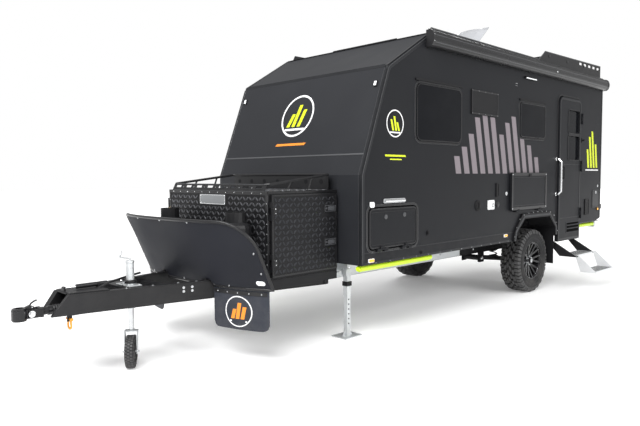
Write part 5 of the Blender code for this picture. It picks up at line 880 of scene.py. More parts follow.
def make_door():
    """Window frames, cross bar, grille, lock, creases and edge band of the door, and the seal round it."""
    x0, x1, z0, z1 = DOOR
    top = rounded(x0 + 0.01, x1 - 0.01, z0 + 0.01, z1 - 0.01, 0.082, 8)
    half = len(top) // 2
    line = [tuple(p) for p in top[:half]] + [(x0 + 0.01, z0 + 0.01), (x1 - 0.01, z0 + 0.01)]
    piece("door_edge_band", frame_slab(line, 0.026, DOOR_FACE - 0.0004, DOOR_FACE + 0.0022, "Y"), "trim",
            "door")
    a0, a1, b0, b1, r = DOOR_PANE
    upper, lower = (a0, a1, 2.043, b1, r), (a0, a1, b0, 2.003, r)
    rims = [frame_slab(grown(rect, 0.014), 0.0135, DOOR_FACE - 0.0004, DOOR_FACE + 0.0055, "Y")
            for rect in (upper, lower)]
    bar_mid = door_slab((a0 + 0.01, a1 - 0.01, 2.008, 2.038, 0.004), 0.0035)
    piece("door_window_frames", rims + [bar_mid], "gasket", "door")
    gx0, gx1, gz0, gz1 = -1.222, -0.819, 0.71, 0.845
    ring = frame_slab((gx0 - 0.014, gx1 + 0.014, gz0 - 0.016, gz1 + 0.002, 0.008), 0.013,
            DOOR_FACE - 0.0004, DOOR_FACE + 0.004, "Y")
    pitch = (gz1 - gz0) / 3
    slats = [strip([(gx0 + 0.002, DOOR_FACE + 0.003, gz0 + pitch * k), (gx1 - 0.002, DOOR_FACE + 0.003,
            gz0 + pitch * k)], 0.015, 0.005, "Y", 0.002) for k in (1, 2)]
    piece("door_grille", [ring] + slats, "front", "door")
    # A flat near-black sheet behind the grille slats: painted shade for the vent opening, which is not cut.
    piece("door_grille_back", door_slab((gx0, gx1, gz0, gz1, 0.006), 0.0008), "void_painted_shade", "door")
    plate = door_slab((-0.688, -0.606, 1.385, 1.635, 0.012), 0.004, 0.002)
    pull = strip(curved([(-0.668, DOOR_FACE + 0.006, 1.425), (-0.66, DOOR_FACE + 0.024, 1.455),
            (-0.632, DOOR_FACE + 0.026, 1.545), (-0.624, DOOR_FACE + 0.006, 1.582)], 8), 0.02, 0.01, "Y",
            0.003)
    piece("door_lock_plate", plate, "plastic", "door")
    piece("door_lock_pull", pull, "black_gloss", "door")
    key = lathe([(0.009, 0), (0.009, 0.004), (0.004, 0.005)], (-0.648, DOOR_FACE + 0.0036, 1.405), "Y", 18)
    piece("door_key_barrel", key, "steel", "door")
    crease = [strip([(x0 + 0.04, DOOR_FACE + 0.0006, z), (x1 - 0.04, DOOR_FACE + 0.0006, z)], 0.006, 0.0022,
            "Y") for z in (0.905, 1.62)]
    piece("door_creases", crease, "trim", "door")
    jamb = rounded(x0 - 0.008 - 0.022, x1 + 0.008 + 0.022, 0.6, z1 + 0.03, 0.105, 8)
    half = len(jamb) // 2
    outer = [tuple(p) for p in jamb[:half]] + [(x0 - 0.03, 0.84), (x1 + 0.03, 0.84)]
    path = np.array(outer)
    path = np.vstack([[(x1 + 0.02, 0.8106)], inset(path, 0.01)[:half], [(x0 - 0.02, 0.8106)]])
    seal = strip([(x, FACE + 0.0012, z) for x, z in path], 0.018, 0.003, "Y")
    piece("door_jamb_strip", seal, "gasket")
    piece("door_jamb_foot", face_slab((x1 + 0.011, x1 + 0.029, 0.703, 0.801, 0.003, 2), 0.0027), "gasket")
    keep = face_slab((-1.34, -1.296, 1.93, 1.99, 0.006), 0.01)
    piece("door_keeper",
            [keep, lathe([(0.012, 0), (0.012, 0.03), (0.009, 0.034)], (-1.318, FACE + 0.009, 1.96), "Y",
            18)], "plastic")


def make_table():
    """The picnic table's raised frame, its corner bolts, latch and the pads behind it."""
    top = HALF_W + 0.005 + 0.025 + 0.0004
    x0, x1, z0, z1 = TABLE[:4]
    frame_out = frame_slab(grown(TABLE, -0.002), 0.034, top - 0.0006, top + 0.004, "Y")
    field = frame_slab(grown(TABLE, -0.052), 0.004, top - 0.0006, top + 0.0012, "Y")
    piece("table_frame", [frame_out, field], "black_gloss", "table")
    bolts = [(x, top + 0.0036, z) for x in (x0 + 0.022, x1 - 0.022) for z in (z0 + 0.022, z1 - 0.022)]
    piece("table_bolts", heads(dome(0.009, 0.004, 14), bolts, "+Y"), "steel", "table")
    latch = slab((0.255, 0.315, z1 - 0.05, z1 - 0.012, 0.008), top + 0.0035, top + 0.012, "Y", 0.003)
    piece("table_latch", latch, "plastic", "table")
    pad = joined([slab((x - 0.02, x + 0.02, z1 - 0.03, z1 - 0.006, 0.004), HALF_W + 0.0004, HALF_W + 0.0046)
            for x in (x0 + 0.06, x1 - 0.06)])
    piece("table_pads", pad, "gasket")


def make_mesh_vent():
    """The mesh vent's rim, screws and fly screen."""
    front = HALF_W + 0.0124
    rim = frame_slab(grown(MESH_VENT, -0.0015), 0.016, front - 0.0006, front + 0.003, "Y")
    piece("mesh_vent_rim", rim, "black_gloss")
    x0, x1, z0, z1 = MESH_VENT[:4]
    screen = slab((x0 + 0.019, x1 - 0.019, z0 + 0.019, z1 - 0.019, 0.004), front - 0.0006, front + 0.0006,
            "Y", 0.0003)
    piece("mesh_vent_screen", screen, "screen")
    places = [(x, front + 0.0026, z) for x in np.linspace(x0 + 0.011, x1 - 0.011, 5)
            for z in (z0 + 0.0095, z1 - 0.0095)]
    piece("mesh_vent_screws", screws(places, 0.0036), "steel")


def make_awning():
    """Ribs, bright lines, cap screws, wall rail and lamp of the wound-in awning."""
    low, high = solid("awning_cassette")
    y0, depth = HALF_W + 0.0003, high[1] - HALF_W - 0.0003
    z0, z1 = low[2] + 0.004, high[2] - 0.004
    mid, half = (z0 + z1) / 2, (z1 - z0) / 2

    def skin(angle, off=0.0):
        """A point of the cassette's section and a small way off it, by the angle round its outer side."""
        a = math.radians(angle)
        return y0 + depth * 0.45 + (depth * 0.55 - 0.004 + off) * math.cos(a), mid + (half
                + off) * math.sin(a)

    x0, x1 = low[0] + 0.036, high[0] - 0.036

    def rib(angle, wide, thick):
        """A flat bar along the cassette, standing square to its skin at an angle."""
        y, z = skin(angle, 0.0004)
        up = (0, math.cos(math.radians(angle)), math.sin(math.radians(angle)))
        return strip([(x0, y, z), (x1, y, z)], wide, thick, up)

    ribs = ((58, 0.01), (38, 0.004), (8, 0.006), (-14, 0.004), (-46, 0.012))
    piece("awning_ribs", [rib(angle, wide, 0.0032) for angle, wide in ribs], "black_gloss")
    piece("awning_bright_lines", [rib(angle, 0.004, 0.0024) for angle in (22, -30)], "edge")
    screw = [(x, high[1] - 0.005, z) for x in (low[0] + 0.018, high[0] - 0.018)
            for z in (mid - 0.03, mid + 0.03)]
    piece("awning_cap_screws", screws(screw, 0.005, 0.003), "steel")
    rail = strip([(x0, FACE + 0.004, z1 + 0.012), (x1, FACE + 0.004, z1 + 0.012)], 0.02, 0.007, "Y", 0.002)
    piece("awning_wall_rail", rail, "trim")
    led = strip([(0.409, FACE + 0.012, 2.642), (0.121, FACE + 0.012, 2.642)], 0.026, 0.022, "Y", 0.007)
    piece("awning_light", led, "black_gloss")
    lens = strip([(0.395, FACE + 0.0215, 2.636), (0.135, FACE + 0.0215, 2.636)], 0.014, 0.006, "Y", 0.002)
    piece("awning_light_lens", lens, "lens")
    dot = lathe([(0.009, 0), (0.009, 0.003), (0.003, 0.004)], (-0.3, high[1] - 0.0055, mid - 0.012), "Y",
            18)
    piece("awning_mark", dot, "white")


def make_graphics():
    """Generic decoration: ringed bars at the front and slanted bars along the side, cut from thin film."""
    def slanted(a0, a1, b0, b1, lean):
        """A bar's outline that leans along as it rises."""
        return [(a0, b0), (a1, b0), (a1 + lean, b1), (a0 + lean, b1)]

    def ringed(radius, centre):
        """A ring with three leaning bars in it: outlines of the white and of the accent parts."""
        a, b = centre
        white = [("ring", circle(a, b, radius, 56), radius * 0.09)]
        accent = [("bar", slanted(a + s - radius * 0.22, a + s - radius * 0.02, b - radius * 0.52, b + h,
                radius * 0.22)) for s, h in ((-radius * 0.34, radius * 0.1), (0.0, radius * 0.52),
                (radius * 0.34, radius * 0.28))]
        white.append(("bar", slanted(a - radius * 0.62, a + radius * 0.62, b - radius * 0.7,
                b - radius * 0.6, 0.0)))
        return white, accent

    def film(items, place, thick=0.0006):
        """Each outline as a thin film drawn flat, then set in its place."""
        shapes = [frame_slab(item[1], item[2], 0, thick, "Z", 0.0001) if item[0] == "ring"
                else slab(item[1], 0, thick, "Z", 0.0001) for item in items]
        return place(shapes)

    white, accent = ringed(0.225, (-0.005, 0.3))

    def nose(shape):
        """The film's place on the leaning front."""
        return on_nose(moved(shape, (0, 0, 0.0004)), 1.8)

    piece("front_film_white", film(white, nose), "white_film")
    piece("front_film_accent", film(accent, nose), "accent")
    piece("front_film_line", film([("bar", slanted(-0.22, 0.2, -0.02, 0.004, 0.02))], nose), "orange_film")
    white, accent = ringed(0.125, (2.88, 1.955))
    piece("side_film_white", both(film(white, on_face)), "white_film")
    accent.append(("bar", slanted(2.72, 3.02, 1.655, 1.672, 0.006)))
    accent.append(("bar", slanted(2.78, 2.95, 1.625, 1.636, 0.004)))
    piece("side_film_accent", both(film(accent, on_face)), "accent")
    heights = (0.2, 0.34, 0.5, 0.66, 0.58, 0.44, 0.62, 0.76, 0.6, 0.42, 0.28, 0.18)
    pitch = (1.93 + 0.02) / len(heights)
    band = [("bar", slanted(pitch * k - 0.02, pitch * (k + 0.62) - 0.02, 1.5, 1.5 + h, h * 0.22))
            for k, h in enumerate(heights)]
    piece("side_band_film", film(band, on_face), "mauve_film")
    rear = [("bar", slanted(-1.9 + 0.1 * k, -1.9 + 0.1 * k + 0.06, 1.58, 1.58 + h, h * 0.16))
            for k, h in enumerate((0.34, 0.52, 0.44, 0.26))]
    piece("rear_band_film", both(film(rear, on_face)), "accent")
    rear = [("bar", slanted(-1.93, -1.47, 1.54, 1.556, 0.0))]
    piece("rear_line_film", both(film(rear, on_face)), "white_film")


# Wheels


def wrapped(points, tread_r=TYRE_R):
    """Points given as distance round the tread, distance across it and radius, laid round the axle."""
    s, a, r = points[..., 0], points[..., 1], points[..., 2]
    angle = s / tread_r
    return np.stack([r * np.sin(angle), a, r * np.cos(angle)], -1)


def tread_block(outline, low, high, edge=0.0022):
    """A tread block: its outline on the tread, carried from one radius to another and cut back."""
    p = np.asarray(outline, float)
    rings = [(p, low), (p, high - edge), (inset(p, edge), high)]
    verts = np.vstack([wrapped(np.column_stack([q, np.full(len(q), r)])) for q, r in rings])
    return verts, ring_faces(len(rings), len(p))


def shoulder_lug(s0, s1, lean, depth):
    """A shoulder lug: the tyre's side profile between two places round it, raised by a depth."""
    outer = np.array([(0.07, 0.3985), (0.1, 0.3975), (0.1185, 0.3925), (0.127, 0.376), (0.1315, 0.345)])
    inner = np.array([(0.07, 0.3795), (0.095, 0.378), (0.106, 0.373), (0.1155, 0.36), (0.122, 0.34)])
    outer = inner + (outer - inner) * depth
    section = np.vstack([outer, inner[::-1]])
    skew = (section[:, 0] - 0.07) * lean
    rings = []
    for s, cut in ((s0, 0.0018), (s0 + 0.002, 0.0), (s1 - 0.002, 0.0), (s1, 0.0018)):
        q = section.copy()
        q[:len(outer), 1] -= cut
        rings.append(wrapped(np.column_stack([s + skew, q])))
    return np.vstack(rings), ring_faces(4, len(section))


def around(shape, count, phase=0.0):
    """Copies of a shape evenly round the axle."""
    turns = [turn_about("Y", 2 * math.pi * (k + phase) / count) for k in range(count)]
    return copies(shape, np.zeros((count, 3)), turns)


def tyre_shapes(blocks):
    """The carcass with its side rings, and the tread: two middle rows, two outer rows and shoulder lugs."""
    profile = [(0.2342, 0.098), (0.2362, 0.112), (0.24, 0.1165), (0.2425, 0.119), (0.2455, 0.119),
            (0.2475, 0.1195), (0.27, 0.1262), (0.273, 0.1278), (0.276, 0.1268), (0.304, 0.13),
            (0.3075, 0.1316), (0.311, 0.1304), (0.34, 0.124), (0.36, 0.117), (0.374, 0.106), (0.379, 0.09),
            (0.3806, 0.06), (0.381, 0.0)]
    turned = profile + [(r, -a) for r, a in profile[-2::-1]]
    carcass = lathe(turned, (0, 0, 0), "Y", 128, True)
    pitch = 2 * math.pi * TYRE_R / blocks
    mid = [(-0.36 * pitch, 0.004), (-0.1 * pitch, 0.002), (0.3 * pitch, 0.006), (0.36 * pitch, 0.024),
            (0.16 * pitch, 0.031), (-0.26 * pitch, 0.027)]
    outer = [(-0.4 * pitch, 0.036), (-0.04 * pitch, 0.034), (0.28 * pitch, 0.04), (0.34 * pitch, 0.058),
            (0.02 * pitch, 0.066), (-0.34 * pitch, 0.06)]
    shape = []
    for sign, phase in ((1, 0.0), (-1, 0.5)):
        flip = lambda pts: [(s, sign * a) for s, a in pts]
        shape.append(around(tread_block(flip(mid), 0.38, 0.3998), blocks, phase))
        shape.append(around(tread_block(flip(outer), 0.3795, 0.3994), blocks, phase + 0.42))
        for part, depth in ((0.0, 1.0), (0.5, 0.78)):
            lug = shoulder_lug(-0.17 * pitch, 0.19 * pitch, 0.12, depth)
            if sign < 0:
                lug = (lug[0] * np.array((1, -1, 1)), lug[1])
            shape.append(around(lug, blocks, phase + part + 0.12))
    return carcass, joined(shape)


def spoke(angle, hub_r, rim_r, hub_a, rim_a, wide, thick):
    """One arm of a split spoke: a bar carried from the hub to the rim, at an angle that opens outwards."""
    t = np.linspace(0, 1, 7)
    r = hub_r + (rim_r - hub_r) * t
    a = hub_a + (rim_a - hub_a) * t ** 1.6
    turn = angle[0] + (angle[1] - angle[0]) * np.minimum(1, t * 1.4)
    path = np.stack([r * np.sin(turn), a, r * np.cos(turn)], -1)
    return strip(path, wide, thick, "Y", 0.0028)


def rim_shapes(spokes):
    """The rim's rolled barrel, its split spokes and hub, and the bright nuts."""
    barrel = [(0.2336, -0.112), (0.2336, 0.1135), (0.231, 0.1145), (0.225, 0.1135), (0.2235, 0.105),
            (0.215, 0.099), (0.212, 0.03), (0.209, -0.05), (0.223, -0.085), (0.225, -0.112)]
    shape = [lathe(barrel, (0, 0, 0), "Y", 96, True)]
    step = 2 * math.pi / spokes
    for k in range(spokes):
        for side in (-1, 1):
            shape.append(spoke((step * k + side * 0.05, step * k + side * step * 0.235), 0.055, 0.2145,
                    0.052, 0.088, 0.027, 0.024))
        shape.append(spoke((step * k, step * k), 0.05, 0.125, 0.046, 0.06, 0.03, 0.03))
    hub = [(0.05, 0.01), (0.072, 0.012), (0.076, 0.036), (0.07, 0.056), (0.04, 0.062), (0.034, 0.07),
            (0.032, 0.0985), (0.027, 0.1025), (0.01, 0.103), (0.01, 0.01)]
    shape.append(lathe(hub, (0, 0, 0), "Y", 48, True))
    nuts = moved(hex_head(0.0105, 0.024), turn=FACING["+Y"])
    turns = full_turn(6)
    places = np.stack([0.055 * np.sin(turns), np.full(6, 0.0585), 0.055 * np.cos(turns)], -1)
    ring_turn = full_turn(spokes * 2) + step / 4
    beads = np.stack([0.2192 * np.sin(ring_turn), np.full(spokes * 2, 0.1015), 0.2192 * np.cos(ring_turn)],
            -1)
    bright = joined([copies(nuts, places), heads(dome(0.0042, 0.0028, 8, 2), beads, "+Y")])
    cap = lathe([(0.0272, 0.1028), (0.0272, 0.105), (0.022, 0.1075), (0.008, 0.108)], (0, 0, 0), "Y", 32)
    return joined(shape), bright, cap


def make_wheels(looks):
    """Tyres with mud tread, black rims with split spokes, wheel nuts, and brake drums behind them."""
    carcass, tread = tyre_shapes(looks.tread_blocks)
    rim, bright, cap = rim_shapes(looks.spokes)
    for side, sign in (("left", 1), ("right", -1)):
        place = np.array((AXLE[0], sign * TYRE_MID_Y, AXLE[2]))
        body = "wheel_" + side

        def set_down(shape):
            """A shape drawn about the left axle, set on this side's."""
            return moved(shape if sign > 0 else other_side(shape), place)

        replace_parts(piece("tyre_carcass_" + side, set_down(carcass), "rubber", body), "tyre_" + side)
        piece("tyre_tread_" + side, set_down(tread), "tread", body, 25)
        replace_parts(piece("rim_alloy_" + side, set_down(rim), "alloy", body), "rim_" + side)
        piece("wheel_nuts_" + side, set_down(bright), "steel", body)
        piece("hub_cap_" + side, set_down(cap), "steel", body)
        drum = [(0.137, -0.192), (0.142, -0.19), (0.142, -0.184), (0.1365, -0.182)]
        piece("drum_ring_" + side, set_down(lathe(drum, (0, 0, 0), "Y", 48, True)), "zinc")


def make_spare(looks):
    """The spare wheel on the rear carrier: the same tyre and rim turned to face backwards."""
    low, high = solid("spare_wheel")
    mid = (low + high) / 2
    carcass, tread = tyre_shapes(looks.tread_blocks)
    rim, bright, cap = rim_shapes(looks.spokes)
    turn = turn_about("Z", math.pi / 2)
    flat = np.array((1.0, 0.993, 1.0))

    def back(shape):
        """The shape with its outer side turned to the rear, a touch narrower than the running wheels."""
        verts, faces = shape
        return moved((verts * flat, faces), mid, turn)

    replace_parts(piece("spare_carcass", back(carcass), "rubber"), "spare_wheel")
    piece("spare_tread", back(tread), "tread", smooth=25)
    piece("spare_rim", back(rim), "alloy")
    piece("spare_nuts", back(bright), "steel")
    piece("spare_cap", back(cap), "steel")


def make_arches():
    """Lips, creases, faces and screws of the wheel arch trims, with the clamps of the rear mud flaps."""
    face = solid("arch_trim_left")[1][1] + 0.0003

    def outwards(by):
        """The arch's outline moved outwards."""
        return inset(ARCH + [(-0.485, 0.6), (0.6, 0.6)], -by)[:6]

    def band(by, off, width, thick):
        """A flat bar that follows the arch."""
        return strip([(x, face + off, z) for x, z in outwards(by)], width, thick, "Y")

    piece("arch_creases", both([band(0.026, 0.0006, 0.006, 0.0026), band(0.0065, 0.0004, 0.01, 0.0034)]),
            "trim")
    piece("arch_faces", both(band(0.0165, 0.0001, 0.028, 0.0022)), "arch")
    path = curved(outwards(0.038), 6)
    run = np.concatenate([[0], np.cumsum(np.linalg.norm(np.diff(path, axis=0), axis=1))])
    s = np.linspace(0.05, run[-1] - 0.05, 13)
    places = [(np.interp(v, run, path[:, 0]), face - 0.0002, np.interp(v, run, path[:, 1])) for v in s]
    piece("arch_screws", both(screws(places, 0.0055, 0.003)), "steel")
    low = -0.467 - 0.008
    piece("rear_flap_clamps", both(box((low - 0.004, 0.76, 0.725), (low + 0.0004, 1.02, 0.765))), "zinc")
    piece("rear_flap_bolts",
            both(heads(hex_head(0.009, 0.007), [(low - 0.0036, y, 0.745) for y in (0.8, 0.89, 0.98)],
            "-X")), "steel")


# Drawbar, coupling and jockey wheel


def bar_y(x):
    """The outer face of the left drawbar rail at a place along the caravan."""
    return 0.137 + BAR_SLOPE * (5.51 - x)


def make_drawbar():
    """Side bolts, edge rounds, weld beads, damper, top bolts and jockey clamp on the drawbar."""
    slope = math.atan(BAR_SLOPE)

    def on_rail(s, z, off=0.0):
        """A place on the left rail's outer face: s is x, z height, off the distance from the face."""
        return (s + off * math.sin(slope), bar_y(s) + off * math.cos(slope), z)

    turn = turn_about("Z", -slope) @ FACING["+Y"]
    bolts = [on_rail(s, z, 0.0002) for s in (4.6, 4.67) for z in (0.6, 0.57)]
    piece("drawbar_side_bolts", both(copies(hex_head(0.008, 0.007), bolts, [turn] * len(bolts))), "steel")
    edge = [strip([on_rail(s, z, -0.0008) for s in (3.4, 5.36)], 0.007, 0.0035,
            (math.sin(slope), math.cos(slope), 0), 0.0012) for z in (0.494, 0.63)]
    piece("drawbar_edge_rounds", both(edge), "black")
    bead = tube([(5.505, y, 0.6375) for y in np.linspace(-0.085, 0.085, 9)], 0.005, 8)
    piece("nose_welds", [bead, tube([(5.445, -0.1, 0.5645), (5.445, 0.1, 0.5645)], 0.0045, 8)], "black")
    z = BAR_TOP + 0.029
    piece("damper_body", [tube([(5.166, 0, z), (5.219, 0, z)], 0.0178, 20),
            tube([(5.244, 0, z), (5.398, 0, z)], 0.0178, 20)], "black_gloss")
    piece("damper_rod", tube([(5.402, 0, z), (5.481, 0, z)], 0.0078, 14), "bright")
    top = [(s, sign * (bar_y(s) - 0.025), BAR_TOP + 0.0002) for s in (4.55, 4.7, 4.9, 5.1)
            for sign in (1, -1)]
    piece("drawbar_top_bolts", heads(hex_head(0.008, 0.006), top, "+Z"), "steel")
    lug = [box((4.965, y0, 0.64), (5.075, y1, 0.648)) for y0, y1 in ((-0.02, 0.07), (0.15, 0.19))]
    lug.append(lathe([(0.0312, 0.6402), (0.0545, 0.6402), (0.0545, 0.6478), (0.0312, 0.6478)], (*JOCKEY, 0),
            "Z", 32, True))
    piece("jockey_clamp_plate", lug, "zinc")
    bolts = [(x, y, 0.6475) for x in (4.98, 5.06) for y in (0.045, 0.175)]
    piece("jockey_clamp_bolts", heads(hex_head(0.009, 0.007), bolts, "+Z"), "steel")


def make_coupling():
    """The coupling's boot, ring, bolt ends and weld, the head's collars and pin, the shackle's pin ends."""
    z = 0.52
    boot = [(0.03, 5.5), (0.0375, 5.505), (0.0375, 5.512), (0.0305, 5.517), (0.0305, 5.521),
            (0.0375, 5.526), (0.0375, 5.533), (0.0305, 5.538), (0.0305, 5.542), (0.0375, 5.547),
            (0.0375, 5.554), (0.028, 5.56)]
    piece("coupling_boot", lathe(boot, (0, 0, z), "X", 28), "gasket")
    ring = lathe([(0.0277, 5.585), (0.034, 5.587), (0.034, 5.61), (0.0277, 5.612)], (0, 0, z), "X", 32)
    piece("coupling_ring", ring, "black_gloss")
    ends = [lathe([(0.02, 0.046), (0.02, 0.06), (0.016, 0.064)], (5.735, 0, z), "Y", 6),
            lathe([(0.0235, 0.0458), (0.0235, 0.049), (0.015, 0.0495)], (5.735, 0, z), "Y", 24)]
    piece("coupling_bolt", both(ends), "bright")
    weld = lathe([(0.027, 5.64), (0.0345, 5.646), (0.033, 5.656), (0.027, 5.657)], (0, 0, z), "X", 28)
    piece("coupling_weld", weld, "black")
    top = lathe([(0.0265, 0.0355), (0.047, 0.0355), (0.045, 0.042), (0.035, 0.047), (0.0265, 0.0475)],
            (COUPLING_EYE, 0, z), "Z", 36, True)
    low = lathe([(0.0265, -0.0355), (0.047, -0.0355), (0.043, -0.0405), (0.0265, -0.0415)],
            (COUPLING_EYE, 0, z), "Z", 36, True)
    piece("head_collars", [top, low], "black_gloss", "tow_head")
    pin = tube([(5.722, -0.0145, z + 0.043), (5.722, 0.0145, z + 0.043)], 0.004, 12)
    piece("head_lock_pin", pin, "bright", "tow_head")
    low, high = solid("safety_shackle")
    y = (low[1] + high[1]) / 2
    lug_z = 0.455 - 0.008 * 1.2
    nuts = [lathe([(0.0125, 0.0353), (0.0125, 0.0405), (0.01, 0.042)], (5.48, y, lug_z), "Y", 20),
            lathe([(0.011, -0.0353), (0.011, -0.042), (0.008, -0.0435)], (5.48, y, lug_z), "Y", 6)]
    piece("shackle_pin_ends", nuts, "orange")


def make_jockey():
    """The jockey wheel's collars, clamp ring and lever, crank knob, washers and ribbed rubber wheel."""
    x, y = JOCKEY
    collars = [lathe([(0.0298, 0.816), (0.0335, 0.818), (0.0335, 0.832), (0.029, 0.8345), (0.01, 0.835)],
            (x, y, 0), "Z", 32),
            lathe([(0.0298, 0.4605), (0.0325, 0.462), (0.0325, 0.474), (0.0298, 0.476)], (x, y, 0), "Z", 32,
            True)]
    piece("jockey_collars", collars, "zinc")
    clamp = lathe([(0.03, 0.6585), (0.047, 0.6595), (0.048, 0.68), (0.044, 0.685), (0.03, 0.6855)],
            (x, y, 0), "Z", 32, True)
    piece("jockey_clamp_ring", clamp, "black")
    lever = curved([(x + 0.045, y + 0.01, 0.672), (x + 0.075, y + 0.03, 0.682),
            (x + 0.105, y + 0.055, 0.7)], 6)
    piece("jockey_clamp_lever", tube(lever, 0.006, 10), "bright")
    knob_at = (x + 0.02, y - 0.12, 0)
    knob = lathe([(0.0158, 0.868), (0.0172, 0.876), (0.0172, 0.9), (0.015, 0.9105), (0.008, 0.9125)],
            knob_at, "Z", 24)
    piece("jockey_crank_knob", knob, "pale")
    turn = turn_about("Z", HEADING)
    mid = np.array((x, y, 0.1275)) + turn @ np.array((-0.035, 0, 0))
    profile = [(0.044, 0.0265), (0.046, 0.03), (0.07, 0.0255), (0.074, 0.022), (0.08, 0.022),
            (0.084, 0.026), (0.088, 0.0322), (0.1, 0.0338), (0.112, 0.0322), (0.12, 0.0285),
            (0.1235, 0.024), (0.1242, 0.012), (0.1244, 0.0)]
    turned = profile + [(r, -a) for r, a in profile[-2::-1]] + [(0.0085, -0.03), (0.0085, 0.03)]
    wheel = lathe(turned, (0, 0, 0), "Y", 72, True)
    blocks = []
    for k, a in enumerate((-0.021, 0.0, 0.021)):
        outline = [(-0.0075, a - 0.0085), (0.0075, a - 0.0085), (0.0095, a + 0.0085), (-0.0055, a + 0.0085)]
        rings = ((outline, 0.1225), (outline, 0.1264), (inset(outline, 0.001), 0.1273))
        verts = np.vstack([wrapped(np.column_stack([q, np.full(4, r)]), 0.1275) for q, r in rings])
        blocks.append(around((verts, ring_faces(3, 4)), 32, 0.5 * (k % 2)))
    ribs = [strip([(0.048 * math.sin(t), 0.0275, 0.048 * math.cos(t)), (0.072 * math.sin(t), 0.0262,
            0.072 * math.cos(t))], 0.006, 0.007, "Y", 0.0015) for t in full_turn(9)]
    ribs += [other_side(rib) for rib in ribs]

    def place(shape):
        """A shape drawn about the axle, set down on it."""
        return moved(shape, mid, turn)

    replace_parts(piece("jockey_tyre", place(wheel), "rubber", "jockey_roller"), "jockey_wheel")
    piece("jockey_tread", place(blocks + ribs), "tread", "jockey_roller", 25)
    washers = [lathe([(0.016, s * 0.0502), (0.016, s * 0.0525), (0.0085, s * 0.0527)], (0, 0, 0), "Y", 20)
            for s in (1, -1)]
    piece("jockey_axle_washers", place(washers), "bright", "jockey_castor")
    edges = [strip([(-0.057, s * 0.0505, 0.286), (0.02, s * 0.0505, 0.286)], 0.006, 0.0024, "Y")
            for s in (1, -1)]
    piece("jockey_fork_edges", moved(edges, (x, y, 0), turn), "zinc", "jockey_castor")


def make_steadies():
    """Sleeves, bands, holes, pins and foot rims of the steady legs."""
    for end in ("front", "rear"):
        low, high = solid(end + "_steady_left")
        if end == "front":
            x, y = (low[0] + high[0]) / 2, (low[1] + high[1]) / 2
            # The holes are thin black discs on the leg: painted shade, as no hole is cut.
            marks = [lathe([(0.0075, 0.0218), (0.0075, 0.0228), (0.0045, 0.0228), (0.004, 0.0222)],
                    (x, y, z), "Y", 16) for z in np.arange(0.12, 0.54, 0.045)]
            pins = [tube([(x, y - 0.03, 0.5), (x, y + 0.03, 0.5)], 0.006, 12),
                    tube([(x, y - 0.027, 0.64), (x, y + 0.027, 0.64)], 0.0095, 14)]
            sleeve = frame_slab([(x - 0.0245, y - 0.0245), (x + 0.0245, y - 0.0245),
                    (x + 0.0245, y + 0.0245), (x - 0.0245, y + 0.0245)], 0.0028, 0.38, 0.615, "Z")
            rim = [frame_slab([(low[0], low[1]), (high[0], low[1]), (high[0], high[1]), (low[0], high[1])],
                    0.004, 0.0078, 0.0105, "Z", 0.0008)]
            square = [(x - 0.031, y - 0.031), (x + 0.031, y - 0.031), (x + 0.031, y + 0.031),
                    (x - 0.031, y + 0.031)]
            band = frame_slab(square, 0.007, 0.47, 0.512, "Z", 0.001)
            cheeks = [slab((x - 0.046, x + 0.046, 0.566, 0.632, 0.016), y + side * 0.0305 - 0.002,
                    y + side * 0.0305 + 0.002, "Y", 0.0008) for side in (-1, 1)]
            rim.append(tube([(x - 0.03, y - 0.036, 0.585), (x - 0.03, y + 0.036, 0.585)], 0.007, 12))
            shapes = (("steady_front_sleeve", joined([sleeve] + rim + cheeks), "zinc"),
                    ("steady_front_band", band, "plastic"), ("steady_front_holes", joined(marks),
                    "plastic"), ("steady_front_pins", joined(pins), "bright"))
        else:
            z, y = (low[2] + high[2]) / 2, (low[1] + high[1]) / 2
            # Thin black discs here too: painted shade for holes that are not cut.
            marks = [lathe([(0.0075, 0.0218), (0.0075, 0.0228), (0.0045, 0.0228), (0.004, 0.0222)],
                    (v, y, z), "Y", 16) for v in np.arange(low[0] + 0.12, high[0] - 0.06, 0.045)]
            pins = [tube([(high[0] - 0.03, y - 0.027, z), (high[0] - 0.03, y + 0.027, z)], 0.0095, 14)]
            shapes = (("steady_rear_holes", joined(marks), "plastic"), ("steady_rear_pins", joined(pins),
                    "bright"))
        for name, shape, mat in shapes:
            for side, turn in SIDES:
                piece(f"{name}_{side}", turn(shape), mat, f"steady_{end}_{side}")


def make_steps():
    """Grip ribs, edge frames and pivot bolts of the two step treads."""
    x0, x1 = -1.2, -0.6
    for body, y0, y1, top in (("upper_step", 1.06, 1.262, 0.43), ("lower_step", 1.33, 1.53, 0.245)):
        ribs = [strip([(x0 + 0.03, y, top - 0.0002), (x1 - 0.03, y, top - 0.0002)], 0.009, 0.0036, "Z",
                0.001) for y in np.linspace(y0 + 0.022, y1 - 0.022, 9)]
        piece(body + "_ribs", ribs, "plastic", body)
        rim = frame_slab([(x0 + 0.004, y0 + 0.0015), (x1 - 0.004, y0 + 0.0015), (x1 - 0.004, y1 - 0.0015),
                (x0 + 0.004, y1 - 0.0015)], 0.01, top - 0.0006, top + 0.0022, "Z", 0.0008)
        piece(body + "_rim", rim, "zinc", body)
    bolts = [heads(dome(0.01, 0.005, 14), [(x + s * 0.0079, 1.285, 0.43)], "+X" if s > 0 else "-X")
            for x, s in ((x1, 1), (x0, -1))]
    piece("step_pivot_bolts", bolts, "steel", "upper_step")


# Toolbox, rack, guard and bottles


def lozenge(length, width, height):
    """A raised tread lozenge: a pointed oval at its foot that shrinks towards a rounded crest."""
    t = np.linspace(-1, 1, 5)
    half = width / 2 * (1 - t ** 2) ** 0.75
    upper = np.column_stack([t * length / 2, half])
    outline = np.vstack([upper, upper[-2:0:-1] * (1, -1)])
    rings = [np.column_stack([outline * share, np.full(len(outline), h)])
            for share, h in ((1.0, -0.0002), (0.86, height * 0.7), (0.55, height))]
    return np.vstack(rings), ring_faces(3, len(outline))


